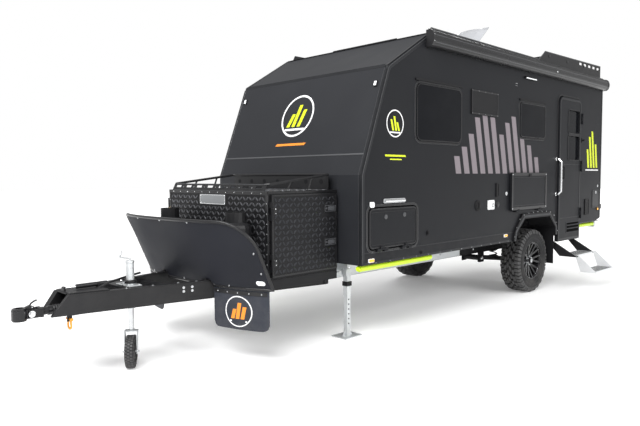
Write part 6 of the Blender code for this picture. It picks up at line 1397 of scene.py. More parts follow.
def tread_field(a0, a1, b0, b1, looks, keep_out=()):
    """Lozenges on a lattice over a rectangle, each turned the other way from its neighbours."""
    na = max(1, int(round((a1 - a0) / looks.tread_pitch)))
    nb = max(1, int(round((b1 - b0) / (looks.tread_pitch * 1.1))))
    a = a0 + (np.arange(na) + 0.5) * (a1 - a0) / na
    b = b0 + (np.arange(nb) + 0.5) * (b1 - b0) / nb
    grid = np.stack(np.meshgrid(a, b, indexing="ij"), -1).reshape(-1, 2)
    parity = (np.add.outer(np.arange(na), np.arange(nb)) % 2).ravel()
    keep = np.ones(len(grid), bool)
    for k0, k1, l0, l1 in keep_out:
        keep &= ~((grid[:, 0] > k0) & (grid[:, 0] < k1) & (grid[:, 1] > l0) & (grid[:, 1] < l1))
    grid, parity = grid[keep], parity[keep]
    shape = lozenge(looks.lozenge_length, looks.lozenge_length * 0.36, 0.0034)
    turns = [turn_about("Z", math.pi / 4 if odd else -math.pi / 4) for odd in parity]
    return copies(shape, np.column_stack([grid, np.zeros(len(grid))]), turns)


def on_front(shape, x):
    """A shape drawn as y, z and height, set on a face that looks forward."""
    verts, faces = shape
    return np.stack([x + verts[:, 2], verts[:, 0], verts[:, 1]], -1), faces


def on_side(shape, y):
    """A shape drawn as x, z and height, set on a face that looks to the left."""
    verts, faces = shape
    return np.stack([verts[:, 0], y + verts[:, 2], verts[:, 1]], -1), faces


def make_toolbox(looks):
    """Tread lozenges, corner angles, rivets, lid lip, blank plate, latches and leaves of the toolbox."""
    high = solid("toolbox")[1]
    front, top, half, z0 = high[0], 1.36, 0.742, 0.637
    dx0, dx1, dz0, dz1, door_y = 3.372, 4.128, 0.66, 1.335, 0.765
    field = tread_field(-half + 0.036, half - 0.036, 0.672, top - 0.04, looks,
            [(-0.235, 0.19, 1.215, 1.345)])
    piece("tread_front", on_front(field, front), "lozenge", smooth=0)
    side = tread_field(dx0 + 0.022, dx1 - 0.022, dz0 + 0.022, dz1 - 0.022, looks,
            [(dx0, dx0 + 0.18, 0.86, 0.95), (dx0, dx0 + 0.18, 1.155, 1.245), (dx1 - 0.06, dx1, 1.16, 1.24),
            (dx1 - 0.06, dx1, 0.74, 0.82)])
    door_side = on_side(side, door_y)
    # The door sides take the darker lozenges: painted shade.
    piece("tread_door_left", door_side, "lozenge_painted_shade", "tool_door_left", 0)
    piece("tread_door_right", other_side(door_side), "lozenge_painted_shade", "tool_door_right", 0)
    lid = tread_field(3.42, front - 0.05, -half + 0.05, half - 0.05, looks)
    piece("tread_lid", (lid[0] + np.array((0, 0, top)), lid[1]), "lozenge", smooth=0)
    corner = [strip([(front + 0.0008, half - 0.015, z0 + 0.004), (front + 0.0008, half - 0.015,
            top - 0.002)], 0.03, 0.003, "X"),
            strip([(front - 0.011, half + 0.0008, z0 + 0.004), (front - 0.011, half + 0.0008, top - 0.002)],
            0.021, 0.003, "Y")]
    piece("toolbox_corner_angles", both(corner), "black_gloss")
    lip = [strip([(front + 0.0016, -half, top - 0.016), (front + 0.0016, half, top - 0.016)], 0.03, 0.004,
            "X"), strip([(front + 0.0012, -half, z0 + 0.014), (front + 0.0012, half, z0 + 0.014)], 0.026,
            0.003, "X")]
    side_lip = strip([(3.356, half + 0.0014, top - 0.011), (front, half + 0.0014, top - 0.011)], 0.021,
            0.0036, "Y")
    piece("toolbox_lid_lip", lip + [both(side_lip)], "black_gloss")
    # Thin bright strips along the top front edge and down the front corners: painted highlights where light
    # catches the edges.
    glint = [strip([(front + 0.0034, -half, top - 0.0025), (front + 0.0034, half, top - 0.0025)], 0.003,
            0.002, "X"),
            both(strip([(front + 0.0026, half - 0.0028, z0 + 0.006), (front + 0.0026, half - 0.0028,
            top - 0.03)], 0.0028, 0.0016, "X"))]
    piece("toolbox_painted_edge_highlights", glint, "edge")
    places = [(front + 0.0022, s * (half - 0.015), z) for s in (1, -1)
            for z in np.arange(z0 + 0.05, top - 0.05, 0.082)]
    places += [(front + 0.0035, y, top - 0.016) for y in np.arange(-0.66, 0.67, 0.12)]
    piece("toolbox_rivets", heads(dome(0.0052, 0.0028, 8, 2), places, "+X"), "steel")
    plate = slab((-0.216, 0.17, 1.235, 1.325, 0.006), front + 0.0002, front + 0.0034, "X", 0.0012)
    piece("toolbox_blank_plate", plate, "plate")
    ring = frame_slab((-0.212, 0.166, 1.239, 1.321, 0.005), 0.004, front + 0.0032, front + 0.0046, "X",
            0.0006)
    piece("toolbox_plate_rim", ring, "bright")
    spots = [(front + 0.0034, y, z) for y in (-0.203, 0.157) for z in (1.248, 1.312)]
    piece("toolbox_plate_rivets", heads(dome(0.0042, 0.0022, 8, 2), spots, "+X"), "bright")
    rim = frame_slab((dx0 + 0.002, dx1 - 0.002, dz0 + 0.002, dz1 - 0.002, 0.006), 0.014, door_y - 0.0006,
            door_y + 0.0022, "Y", 0.0008)
    latch, paddle = [], []
    for z in (0.905, 1.2):
        latch.append(slab((dx0 + 0.014, dx0 + 0.164, z - 0.036, z + 0.036, 0.014), door_y - 0.0006,
                door_y + 0.0045, "Y", 0.0015))
        paddle.append(frame_slab((dx0 + 0.022, dx0 + 0.156, z - 0.028, z + 0.028, 0.01), 0.006,
                door_y + 0.0035, door_y + 0.007, "Y"))
        paddle.append(slab((dx0 + 0.036, dx0 + 0.118, z - 0.018, z + 0.018, 0.008), door_y + 0.004,
                door_y + 0.0085, "Y", 0.003))
        paddle.append(lathe([(0.0085, 0), (0.0085, 0.004), (0.003, 0.005)], (dx0 + 0.136, door_y + 0.004,
                z), "Y", 16))
    leaves = [slab((dx1 - 0.052, dx1 - 0.002, z - 0.03, z + 0.03, 0.005), door_y - 0.0006, door_y + 0.003,
            "Y", 0.001) for z in (0.78, 1.2)]
    leaf_bolts = heads(dome(0.005, 0.0028, 10, 2), [(dx1 - x, door_y + 0.0026, z + s) for x in (0.04, 0.018)
            for z in (0.78, 1.2) for s in (-0.018, 0.018)], "+Y")
    for side_name, turn in SIDES:
        body = "tool_door_" + side_name
        piece("tool_door_rim_" + side_name, turn(rim), "black_gloss", body)
        piece("tool_door_latch_" + side_name, turn(latch), "black_gloss", body)
        piece("tool_door_paddle_" + side_name, turn(paddle), "grey", body)
        piece("tool_door_leaves_" + side_name, turn(leaves), "black_gloss", body)
        piece("tool_door_leaf_bolts_" + side_name, turn(leaf_bolts), "steel", body)


def make_rack():
    """Slot rims, bolts, holes and feet of the toolbox's rack, and bolts, caps and edges of the roof rack."""
    z0, front = 1.3603, 4.146
    pitch = 0.69 * 2 / 8
    run = np.array((-0.03, 0.055))
    run /= np.linalg.norm(run)

    def lean(shape):
        """A shape drawn as y, distance up the leaning strip and height off it."""
        verts, faces = whole(shape)
        x = front + run[0] * verts[:, 1] + run[1] * verts[:, 2]
        z = z0 + run[1] * verts[:, 1] - run[0] * verts[:, 2]
        return np.stack([x, verts[:, 0], z], -1), faces

    rims = [frame_slab((-0.69 + pitch * (k + 0.25) - 0.006, -0.69 + pitch * (k + 0.75) + 0.006, 0.0195,
            0.052, 0.006), 0.0055, -0.0004, 0.0018, "Z", 0.0005) for k in range(8)]
    piece("tray_slot_rims", lean(rims), "black_gloss")
    edge = strip([(-0.688, 0.0625, 0.0006), (0.688, 0.0625, 0.0006)], 0.005, 0.004, "Z")
    piece("tray_top_edge", lean(edge), "edge")
    bolts = lean(heads(dome(0.005, 0.003, 10, 2), [(-0.69 + pitch * k, 0.03, 0.0002) for k in range(1, 8)],
            "+Z"))
    piece("tray_bolts", bolts, "steel")
    # The holes are dark discs on the plate: painted shade, as no hole is cut.
    back = [lathe([(0.022, 0), (0.022, 0.0012), (0.0165, 0.0016), (0.016, 0.0004)], (3.4042, y, 1.433), "X",
            24) for y in np.arange(-0.6, 0.61, 0.2)]
    piece("rack_plate_holes", back, "plastic")
    feet = [box((x - 0.018, 0.68, z0 - 0.0002), (x + 0.018, 0.72, z0 + 0.005)) for x in (3.66, 3.9)]
    piece("rack_feet", both(feet), "black")
    nuts = [(x, y, z0 + 0.0046) for x in (3.652, 3.668, 3.892, 3.908) for y in (0.688, 0.712)]
    piece("rack_foot_bolts", both(heads(hex_head(0.0055, 0.004), nuts, "+Z")), "steel")
    places = [(x, RACK_Y, 2.885) for x in np.arange(-1.95, 2.2, 0.3)]
    piece("roof_rack_bolts", both(heads(hex_head(0.008, 0.005), places, "+Y")), "steel")
    places = [(x, RACK_Y + 0.0002, 2.996) for x in (-0.35, -0.9, -1.45, -1.98)]
    caps = heads(lathe([(0.021, 0), (0.021, 0.003), (0.01, 0.004)], (0, 0, 0), "Z", 20), places, "+Y")
    piece("roof_bar_caps", both(caps), "black_gloss")
    edge = [(2.255, 0.9838, 2.922), (-0.068, 0.9838, 2.922), (-0.232, 0.9838, 3.043),
            (-2.05, 0.9838, 3.0717)]
    piece("roof_rack_edges", both(strip(edge, 0.01, 0.003, "Y")), "edge")


def bow(y):
    """How far forward the guard's foot stands at a y: it goes back with the cube of the distance."""
    return 4.455 - 0.24 * np.abs(y) ** 3


def guard_point(across, up):
    """The guard's surface at shares of its half width and height: bowed back, and leaning forward."""
    past = np.maximum(0.0, (up - 0.58) / 0.42)
    half = 0.7 + 0.23 * np.sqrt(np.maximum(0.0, 1 - past ** 2))
    y = across * half
    return np.stack([bow(y) + 0.24 * up, y, 0.602 + 0.538 * up], -1)


def make_guard():
    """The stone guard: a smooth bowed sheet in a tube frame, with bolts, markers, brackets and stays."""
    across = np.linspace(-1, 1, 97)
    up = 1 - (1 - np.linspace(0, 1, 33)) ** GUARD_POWER
    grid = guard_point(*np.meshgrid(across, up, indexing="ij"))
    normal = np.cross(np.gradient(grid, axis=0), np.gradient(grid, axis=1))
    normal /= np.linalg.norm(normal, axis=2)[..., None] + 1e-12
    verts, faces = thick_sheet(grid + normal * 0.003, grid - normal * 0.003)
    notch = np.abs(np.abs(verts[:, 1]) - 0.333)
    verts[(notch < 0.045) & (verts[:, 2] < BAR_TOP + 0.006), 2] = BAR_TOP + 0.006
    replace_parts(piece("guard_skin", (verts, faces), "guard", smooth=50), "stone_guard")
    side_up = 1 - (1 - np.linspace(0, 1, 24)) ** GUARD_POWER
    bottom = np.array([guard_point(a, 0.0) for a in np.linspace(-1, 1, 72)])
    right = np.array([guard_point(1.0, u) for u in side_up[1:]])
    top = np.array([guard_point(a, 1.0) for a in np.linspace(1, -1, 48)[1:]])
    left = np.array([guard_point(-1.0, u) for u in side_up[::-1][1:-1]])
    loop = np.vstack([bottom, right, top, left])
    lift = (np.abs(np.abs(loop[:, 1]) - 0.333) < 0.047) & (loop[:, 2] < 0.62)
    loop[lift, 2] = BAR_TOP + 0.0135
    piece("guard_tube", tube(loop, 0.0128, 16, closed=True), "black_gloss", smooth=60)
    spots = ((-0.96, 0.25), (-0.96, 0.55), (0.96, 0.25), (0.96, 0.55), (-0.5, 0.975), (0.0, 0.975),
            (0.5, 0.975), (-0.62, 0.03), (0.62, 0.03), (0.0, 0.03))
    places = [guard_point(a, u) + np.array((0.0045, 0, 0)) for a, u in spots]
    piece("guard_bolts", heads(hex_head(0.0075, 0.005), places, "+X"), "steel")
    at = guard_point(0.93, 0.1)
    marker = slab((at[1] - 0.032, at[1] + 0.032, at[2] - 0.018, at[2] + 0.018, 0.016), 0, 0.007, "X", 0.002)
    verts = marker[0] + np.array((at[0] + 0.004, 0, 0))
    verts[:, 0] -= (marker[0][:, 1] - at[1]) * 0.24 * 3 * at[1] ** 2
    verts[:, 0] += (marker[0][:, 2] - at[2]) * 0.446
    piece("guard_markers", both((verts, marker[1])), "lens")
    at = guard_point(0.55, 0.8)
    piece("guard_stays", both(tube([(at[0] - 0.01, at[1], at[2]), (4.1505, at[1], 0.98)], 0.009, 12)),
            "black")
    foot = lathe([(0.02, 0), (0.02, 0.004), (0.012, 0.006)], (4.1502, at[1], 0.98), "X", 20)
    piece("guard_stay_feet", both(foot), "steel")
    piece("guard_brackets", both(box((4.395, 0.288, BAR_TOP), (4.435, 0.388, BAR_TOP + 0.03))), "black")


def make_front_flaps():
    """The front mud flaps with round lower corners, clamp bars, bolts and a generic film badge."""
    y0, y1, low, top, thick = 0.4, 0.9, 0.27, 0.5887, 0.008
    y = np.linspace(y0, y1, 41)
    inward = np.minimum(y - y0, y1 - y)
    foot = low + 0.05 - np.sqrt(np.maximum(0.0, 0.05 ** 2 - np.maximum(0.0, 0.05 - inward) ** 2))
    rows = 9
    t = np.linspace(0, 1, rows)
    z = foot[:, None] + (top - foot[:, None]) * t[None, :]
    yy = np.repeat(y[:, None], rows, 1)
    front = np.stack([bow(yy) - 0.0004, yy, z], -1)
    shape = thick_sheet(front, front - np.array((thick - 0.0008, 0, 0)))
    for side, turn in SIDES:
        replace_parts(piece("mud_flap_" + side, turn(shape), "flap", smooth=50), "front_flap_" + side)
    bar_path = [(bow(v) + 0.003, v, 0.565) for v in np.linspace(y0 + 0.01, y1 - 0.01, 16)]
    piece("mud_flap_clamps", both(strip(bar_path, 0.004, 0.03, "Z", 0.001)), "black")
    bolts = [(bow(v) + 0.0052, v, 0.565) for v in np.linspace(y0 + 0.05, y1 - 0.05, 5)]
    piece("mud_flap_bolts", both(heads(dome(0.007, 0.004, 12), bolts, "+X")), "steel")

    def on_flap(shape):
        """A flat film of y and z laid on the flap's bowed front."""
        verts, faces = shape
        return np.stack([verts[:, 0] + bow(verts[:, 1]), verts[:, 1], verts[:, 2]], -1), faces

    mid = np.array((0.65, 0.415))
    ring = frame_slab(circle(*mid, 0.124, 56), 0.009, 0, 0.0006, "X", 0.0001)
    bars = [on_flap(slab(mid + [(s - 0.024, -0.06), (s + 0.009, -0.06), (s + 0.03, h), (s - 0.003, h)], 0,
            0.0006, "X", 0.0001)) for s, h in ((-0.045, 0.018), (0.0, 0.069), (0.045, 0.039))]
    foot_bar = slab(mid + [(-0.078, -0.084), (0.078, -0.084), (0.078, -0.072), (-0.078, -0.072)], 0, 0.0006,
            "X", 0.0001)
    piece("mud_flap_badge_rings", both([on_flap(ring), on_flap(foot_bar)]), "white_film")
    piece("mud_flap_badge_bars", both(bars), "orange_film")


def make_bottles():
    """The bottles' seams, hold-down straps and buckles, and the valve and hand wheel of the right one."""
    x, y = 4.292, 0.505
    for name, side in (("left", 1), ("right", -1)):
        for part, profile, finish_key in (("seam", [(0.1248, 0.86), (0.1264, 0.862), (0.1264, 0.87),
                (0.1248, 0.872)], "black_gloss"),
                ("strap", [(0.1252, 0.93), (0.1276, 0.931), (0.1276, 0.954), (0.1252, 0.955)], "plastic")):
            piece(f"bottle_{part}_{name}", lathe(profile, (x, side * y, 0), "Z", 48, True), finish_key)
        out = side * (y + 0.1255)
        piece("bottle_buckle_" + name, box((x - 0.02, out - 0.006, 0.926), (x + 0.02, out + 0.006, 0.959)),
                "steel")
    hub = solid("gas_bottle_right")[1][2]
    valve = [lathe([(0.0215, -0.006), (0.0235, -0.004), (0.0235, 0.004), (0.015, 0.006), (0.01, 0.014)],
            (x, -y, hub - 0.001), "Z", 6), lathe([(0.014, 0), (0.014, 0.026), (0.01, 0.03)],
            (x + 0.02, -y, hub - 0.02), "X", 6)]
    piece("bottle_valve", moved(valve, (0, 0, -0.012)), "brass")
    wheel = lathe([(0.024, 0.002), (0.0275, 0.004), (0.0275, 0.012), (0.024, 0.014), (0.008, 0.014)],
            (x, -y, hub - 0.0145), "Z", 10)
    piece("bottle_hand_wheel", wheel, "black_gloss")


# Rear, underside and roof


def rear_slab(outline, proud, edge=0.0015):
    """A flat outline on the rear panel's face."""
    return slab(outline, REAR_X - proud, REAR_X + 0.0004, "X", edge)


def make_rear():
    """Lamps, reflectors, wall vent, panel joints and bolts of the rear."""
    x = REAR_BAR_X - 0.008
    for z, mat in ((1.042, "red"), (1.005, "amber"), (0.968, "lens")):
        part = slab((0.75, 0.97, z - 0.0155, z + 0.0155, 0.012), x - 0.008, x + 0.0004, "X", 0.003)
        piece("rear_lamp_" + mat, both(part), mat)
    rim = frame_slab((0.742, 0.978, 0.937, 1.073, 0.014), 0.007, x - 0.0045, x + 0.0004, "X", 0.001)
    piece("rear_lamp_rims", both(rim), "black_gloss")
    reflector = slab((-0.62, -0.54, 0.99, 1.02, 0.006), REAR_BAR_X - 0.004, REAR_BAR_X + 0.0004, "X", 0.002)
    piece("rear_reflectors", reflector, "red")
    bolts = [(REAR_BAR_X - 0.0004, yy, zz) for yy in (0.475, -0.475) for zz in (0.985, 1.025)]
    piece("rear_bar_bolts", heads(hex_head(0.01, 0.008), bolts, "-X"), "steel")
    ribs = [strip([(REAR_X - 0.0012, yy, 0.9), (REAR_X - 0.0012, yy, 2.8)], 0.02, 0.0022, "X")
            for yy in (-0.58, 0.58)]
    piece("rear_panel_joints", ribs, "trim")
    lamp = [rear_slab((s * 0.9 - 0.03, s * 0.9 + 0.03, 2.7, 2.73, 0.008), 0.01, 0.002) for s in (1, -1)]
    piece("rear_top_markers", lamp, "red")
    piece("rear_high_lamp", rear_slab((-0.18, 0.18, 2.715, 2.745, 0.008), 0.012, 0.003), "red")
    cam = rear_slab((-0.028, 0.028, 2.615, 2.655, 0.01), 0.026, 0.005)
    eye = lathe([(0.012, 0), (0.012, 0.005), (0.006, 0.007)], (0, 0, 0), "Z", 20)
    piece("rear_camera", [cam, moved(eye, (REAR_X - 0.0255, 0, 2.635), FACING["-X"])], "plastic")
    vent = [rear_slab((-0.95, -0.62, zz - 0.006, zz + 0.006, 0.004, 3), 0.007, 0.002)
            for zz in np.arange(1.34, 1.6, 0.026)]
    ring = frame_slab((-0.98, -0.59, 1.31, 1.625, 0.02), 0.018, REAR_X - 0.006, REAR_X + 0.0004, "X", 0.001)
    piece("rear_wall_vent", vent + [ring], "plastic")


def make_under():
    """Bolts and edges of the galvanised frame, the suspension's nuts and the side rails' sleeves."""
    places = [(xx, 0.6002, zz) for xx in (3.18, 2.36, 1.5, 0.8) for zz in (0.585, 0.665)]
    piece("frame_bolts", both(heads(hex_head(0.01, 0.008), places, "+Y")), "steel")
    edge = [strip([(3.3, 0.6004, zz), (-1.2, 0.6004, zz)], 0.006, 0.003, "Y") for zz in (0.5345, 0.7155)]
    piece("frame_edge_rounds", both(edge), "frame")
    piece("arm_pivot_nuts", both(heads(hex_head(0.02, 0.014), [(0.6, 0.6042, 0.46)], "+Y")), "bright")
    sleeves = [lathe([(r - 0.004, x0), (r, x0 + 0.004), (r, x1 - 0.004), (r - 0.004, x1)], (0, y, z), "X",
            28) for r, x0, x1, y, z in ((0.028, -1.952, -1.319, 0.955, 0.752),
            (0.029, 2.25, 3.316, 0.975, 0.668))]
    piece("side_rail_sleeves", both(sleeves), "rail")


def make_roof():
    """Fairing bolts, seam, vent flange, cable entry and solar panels of the roof."""
    spots = [(2.155, yy, 2.8615) for yy in (-0.44, -0.153, 0.153, 0.44)]
    piece("fairing_bolts", heads(hex_head(0.008, 0.005), spots, "+X"), "steel")
    seam = [(2.33, -0.33, ROOF_Z + 0.0012), (REAR_X + 0.03, -0.33, ROOF_Z + 0.0012)]
    piece("roof_seams", strip(seam, 0.03, 0.0022, "Z"), "trim")
    x0, x1, y0, y1 = 0.93 - 0.215, 0.93 + 0.215, 0.6 - 0.215, 0.6 + 0.215
    flange = frame_slab((x0 - 0.022, x1 + 0.022, y0 - 0.022, y1 + 0.022, 0.045), 0.024, ROOF_Z - 0.0002,
            ROOF_Z + 0.005, "Z", 0.0012)
    piece("roof_vent_flange", flange, "white")
    screw = [(a, b, ROOF_Z + 0.0046) for a in np.linspace(x0, x1, 4) for b in (y0 - 0.011, y1 + 0.011)]
    piece("roof_vent_screws", screws(screw, 0.004, 0.002, "+Z"), "steel")
    aerial = lathe([(0.045, 0), (0.045, 0.006), (0.03, 0.016), (0.012, 0.022)], (-0.75, -0.55, ROOF_Z), "Z",
            32)
    piece("roof_cable_entry", aerial, "plastic")
    panels, cells = [], []
    for k in range(2):
        a = -1.55 + 0.86 * k
        panels.append(box((a, -0.3, ROOF_Z + 0.018), (a + 0.8, 0.52, ROOF_Z + 0.048), 0.002))
        cells.append(box((a + 0.02, -0.28, ROOF_Z + 0.0475), (a + 0.78, 0.5, ROOF_Z + 0.0495), 0.001))
    piece("roof_solar_frames", panels, "trim")
    piece("roof_solar_cells", cells, "glass")
    feet = [box((a + xx, yy - 0.02, ROOF_Z), (a + xx + 0.05, yy + 0.02, ROOF_Z + 0.019))
            for a in (-1.55, -0.69) for xx in (0.05, 0.7) for yy in (-0.28, 0.5)]
    piece("roof_solar_feet", feet, "plastic")


# Coats of the solids that are shown as they are


def coat_solids():
    """Give each solid that is shown its finish."""
    plain = {
        "skin": ("picnic_table", "wall_left", "wall_right", "roof_panel", "rear_panel", "entry_door",
                 "boot_hatch_left", "boot_hatch_right"),
        "front": ("front_lower_panel", "front_upper_panel"),
        "glass": ("window_left_front", "window_left_rear", "window_right_front", "window_right_rear",
                  "door_window"),
        "black": ("gas_bottle_left", "gas_bottle_right", "drawbar", "suspension_left", "suspension_right",
                  "roof_rack", "roof_fairing", "toolbox_rack", "rear_bar", "coupling"),
        "black_gloss": ("coupling_head", "awning_cassette"),
        "chequer": ("toolbox", "toolbox_door_left", "toolbox_door_right"),
        "frame": ("chassis_frame",),
        "zinc": ("jockey_tube", "jockey_fork", "front_steady_left", "front_steady_right",
                 "rear_steady_left", "rear_steady_right"),
        "pale": ("step_lower",),
        "bright": ("grab_handle",),
        "steel": ("jockey_leg",),
        "plastic": ("mesh_vent", "floor_pan", "arch_trim_left", "arch_trim_right"),
        "rail": ("side_rail_left", "side_rail_right"),
        "orange": ("safety_shackle",),
        "white": ("roof_vent_frame",),
        "dome": ("roof_vent_lid",),
        "step": ("step_upper",),
        "board": ("furniture",),
    }
    for key, nodes in plain.items():
        for node in nodes:
            mesh = NODES[node].data
            mesh.materials.clear()
            mesh.materials.append(F[key])


# Panel settings


class CARAVAN_PG_looks(bpy.types.PropertyGroup):
    """Sizes and colours of the caravan's trim and finishes."""
    skin_colour: bpy.props.FloatVectorProperty(name="Skin colour",
            description="Paint of the composite walls, roof and door", subtype="COLOR", size=3, min=0.0,
            max=1.0, default=(0.011, 0.0116, 0.0135))
    accent_colour: bpy.props.FloatVectorProperty(name="Accent colour",
            description="Film of the bright motifs", subtype="COLOR", size=3, min=0.0, max=1.0,
            default=(0.62, 0.72, 0.02))
    band_colour: bpy.props.FloatVectorProperty(name="Band colour",
            description="Film of the wide band along the side", subtype="COLOR", size=3, min=0.0, max=1.0,
            default=(0.19, 0.165, 0.18))
    rail_colour: bpy.props.FloatVectorProperty(name="Rail colour",
            description="Paint of the tubes under the skirt", subtype="COLOR", size=3, min=0.0, max=1.0,
            default=(0.6, 0.86, 0.02))
    trim_width: bpy.props.FloatProperty(name="Trim width", description="Width of the corner angles",
            default=0.026, min=0.012, max=0.04, unit="LENGTH")
    seal_width: bpy.props.FloatProperty(name="Seal width", description="Width of the window seals",
            default=0.018, min=0.008, max=0.03, unit="LENGTH")
    tread_pitch: bpy.props.FloatProperty(name="Tread plate pitch",
            description="Distance between the lozenges of the tread plate", default=0.041, min=0.03,
            max=0.08, unit="LENGTH")
    lozenge_length: bpy.props.FloatProperty(name="Lozenge length",
            description="Length of one raised lozenge", default=0.05, min=0.02, max=0.06, unit="LENGTH")
    tread_blocks: bpy.props.IntProperty(name="Tread blocks", description="Blocks in one row round a tyre",
            default=25, min=20, max=48)
    spokes: bpy.props.IntProperty(name="Spokes", description="Split spokes of a rim", default=8, min=5,
            max=12)


class CARAVAN_PG_stage(bpy.types.PropertyGroup):
    """Floor, backdrop, lamps and camera."""
    floor_colour: bpy.props.FloatVectorProperty(name="Floor colour",
            description="Pale floor under the caravan", subtype="COLOR", size=3, min=0.0, max=1.0,
            default=(0.93, 0.93, 0.93))
    key_power: bpy.props.FloatProperty(name="Key lamp",
            description="Power of the large soft lamp over the coupling", default=900.0, min=0.0,
            unit="POWER")
    side_power: bpy.props.FloatProperty(name="Side lamp",
            description="Power of the soft lamp on the door side", default=520.0, min=0.0, unit="POWER")
    lens: bpy.props.FloatProperty(name="Lens", description="Focal length of the camera in millimetres",
            default=33.94, min=20.0, max=90.0)


def stage_material(name, colour, strength):
    """A surface that the camera and mirrors see as plain light, and that takes the caravan's shadow."""
    mat = bpy.data.materials.new(name)
    mat.use_nodes = True
    tree = mat.node_tree
    shader = tree.nodes["Principled BSDF"]
    shader.inputs["Roughness"].default_value = 0.9
    grain = use_group(tree, GROUPS["mottle"], Colour=(*colour, 1), Tint=(*[c * 0.985 for c in colour], 1),
            Roughness=0.9, Amount=0.5, Rough_Amount=0.0, Scale=0.7)
    tree.links.new(grain.outputs["Colour"], shader.inputs["Base Color"])
    rays = tree.nodes.new("ShaderNodeLightPath").outputs
    seen = maths(tree, "MAXIMUM", rays["Is Camera Ray"], rays["Is Glossy Ray"])
    seen = maths(tree, "MAXIMUM", seen, rays["Is Transmission Ray"])
    away = add_node(tree, "ShaderNodeVectorMath", {"operation": "LENGTH"},
            i0=object_place(tree)).outputs["Value"]
    glow = maths(tree, "MULTIPLY", seen, spread(tree, away, 6.5, 16.0, strength, 0.9))
    shader.inputs["Emission Color"].default_value = (1, 1, 1, 1)
    tree.links.new(glow, shader.inputs["Emission Strength"])
    return mat


def lamp(name, at, aim, size, power):
    """A large soft area lamp that looks at a point."""
    data = bpy.data.lights.new(name, "AREA")
    data.shape = "RECTANGLE"
    data.size, data.size_y = size
    data.energy = power
    ob = bpy.data.objects.new(name, data)
    ob.location = np.array(at) + SHIFT
    ob.rotation_euler = (Vector(np.array(aim) + SHIFT) - ob.location).to_track_quat("-Z", "Y").to_euler()
    bpy.context.scene.collection.objects.link(ob)
    return ob


def make_stage(looks):
    """Floor, world, lamps, and the camera at the photograph's place."""
    scene = bpy.context.scene
    mesh = bpy.data.meshes.new("studio_floor")
    reach = 60.0
    corners = [(-reach, -reach, 0), (reach, -reach, 0), (reach, reach, 0), (-reach, reach, 0)]
    mesh.from_pydata(corners, [], [(0, 1, 2, 3)])
    mesh.materials.append(stage_material("studio_floor", looks.floor_colour, 0.17))
    floor = bpy.data.objects.new("studio_floor", mesh)
    scene.collection.objects.link(floor)
    world = bpy.data.worlds.new("studio_world")
    scene.world = world
    world.use_nodes = True
    tree = world.node_tree
    back = tree.nodes["Background"]
    rays = tree.nodes.new("ShaderNodeLightPath").outputs
    seen = maths(tree, "MAXIMUM", rays["Is Camera Ray"], rays["Is Transmission Ray"])
    level = add_node(tree, "ShaderNodeMix", {"data_type": "FLOAT"}, i0=seen, i2=0.62, i3=1.0)
    back.inputs["Color"].default_value = (1, 1, 1, 1)
    tree.links.new(level.outputs[0], back.inputs["Strength"])
    lamps = [lamp("key_lamp", (9.0, 2.0, 7.0), (2.0, 0.0, 1.0), (7.0, 4.0), looks.key_power),
            lamp("side_lamp", (1.0, 9.0, 5.5), (0.5, 0.0, 1.2), (9.0, 4.0), looks.side_power),
            lamp("rear_lamp", (-7.0, -6.0, 6.0), (-1.0, 0.0, 1.2), (6.0, 4.0), looks.side_power)]
    data = bpy.data.cameras.new("camera")
    data.lens = looks.lens
    data.sensor_width = 36.0
    data.clip_end = 300.0
    camera = bpy.data.objects.new("camera", data)
    yaw, pitch, roll = -2.3536, -0.062, -0.0046
    ahead = np.array((math.cos(yaw) * math.cos(pitch), math.sin(yaw) * math.cos(pitch), math.sin(pitch)))
    right = np.array((math.sin(yaw), -math.cos(yaw), 0.0))
    up = np.cross(right, ahead)
    right_r = math.cos(roll) * right + math.sin(roll) * up
    up_r = -math.sin(roll) * right + math.cos(roll) * up
    place = np.eye(4)
    place[:3, 0], place[:3, 1], place[:3, 2] = right_r, up_r, -ahead
    place[:3, 3] = np.array((7.2574, 4.4577, 1.4865)) + SHIFT
    camera.matrix_world = Matrix(place.tolist())
    scene.collection.objects.link(camera)
    scene.camera = camera
    scene.view_settings.view_transform = "Standard"


# Operators: one for each group of pieces


class CARAVAN_OT_finishes(bpy.types.Operator):
    """Make the materials and coat the solids that are shown."""
    bl_idname = "caravan.finishes"
    bl_label = "Finishes"

    def execute(self, context):
        GROUPS.update(mottle=build_mottle(), grain=build_grain(), dust=build_dust())
        F.update(build_finishes(context.scene.caravan_looks))
        coat_solids()
        return {"FINISHED"}


class CARAVAN_OT_trims(bpy.types.Operator):
    """Add the corner angles, belt line, seams and their screws."""
    bl_idname = "caravan.trims"
    bl_label = "Corner trims"

    def execute(self, context):
        make_trims(context.scene.caravan_looks)
        return {"FINISHED"}


class CARAVAN_OT_openings(bpy.types.Operator):
    """Add the seals, beads, rims and rails of the windows, and the frames and locks of the boot hatches."""
    bl_idname = "caravan.openings"
    bl_label = "Windows and hatches"

    def execute(self, context):
        make_windows(context.scene.caravan_looks)
        make_hatches()
        return {"FINISHED"}


class CARAVAN_OT_fittings(bpy.types.Operator):
    """Add lamps, sockets, inlets, markers and catches."""
    bl_idname = "caravan.fittings"
    bl_label = "Wall fittings"

    def execute(self, context):
        make_fittings()
        return {"FINISHED"}


class CARAVAN_OT_door(bpy.types.Operator):
    """Add the door's window frames, grille, lock and strips."""
    bl_idname = "caravan.door"
    bl_label = "Entry door"

    def execute(self, context):
        make_door()
        return {"FINISHED"}


class CARAVAN_OT_table(bpy.types.Operator):
    """Add the table's frame, bolts and latch, and the vent's rim, screen and screws."""
    bl_idname = "caravan.table"
    bl_label = "Table and mesh vent"

    def execute(self, context):
        make_table()
        make_mesh_vent()
        return {"FINISHED"}


class CARAVAN_OT_awning(bpy.types.Operator):
    """Add the awning's ribs, screws, rail and light."""
    bl_idname = "caravan.awning"
    bl_label = "Awning"

    def execute(self, context):
        make_awning()
        return {"FINISHED"}


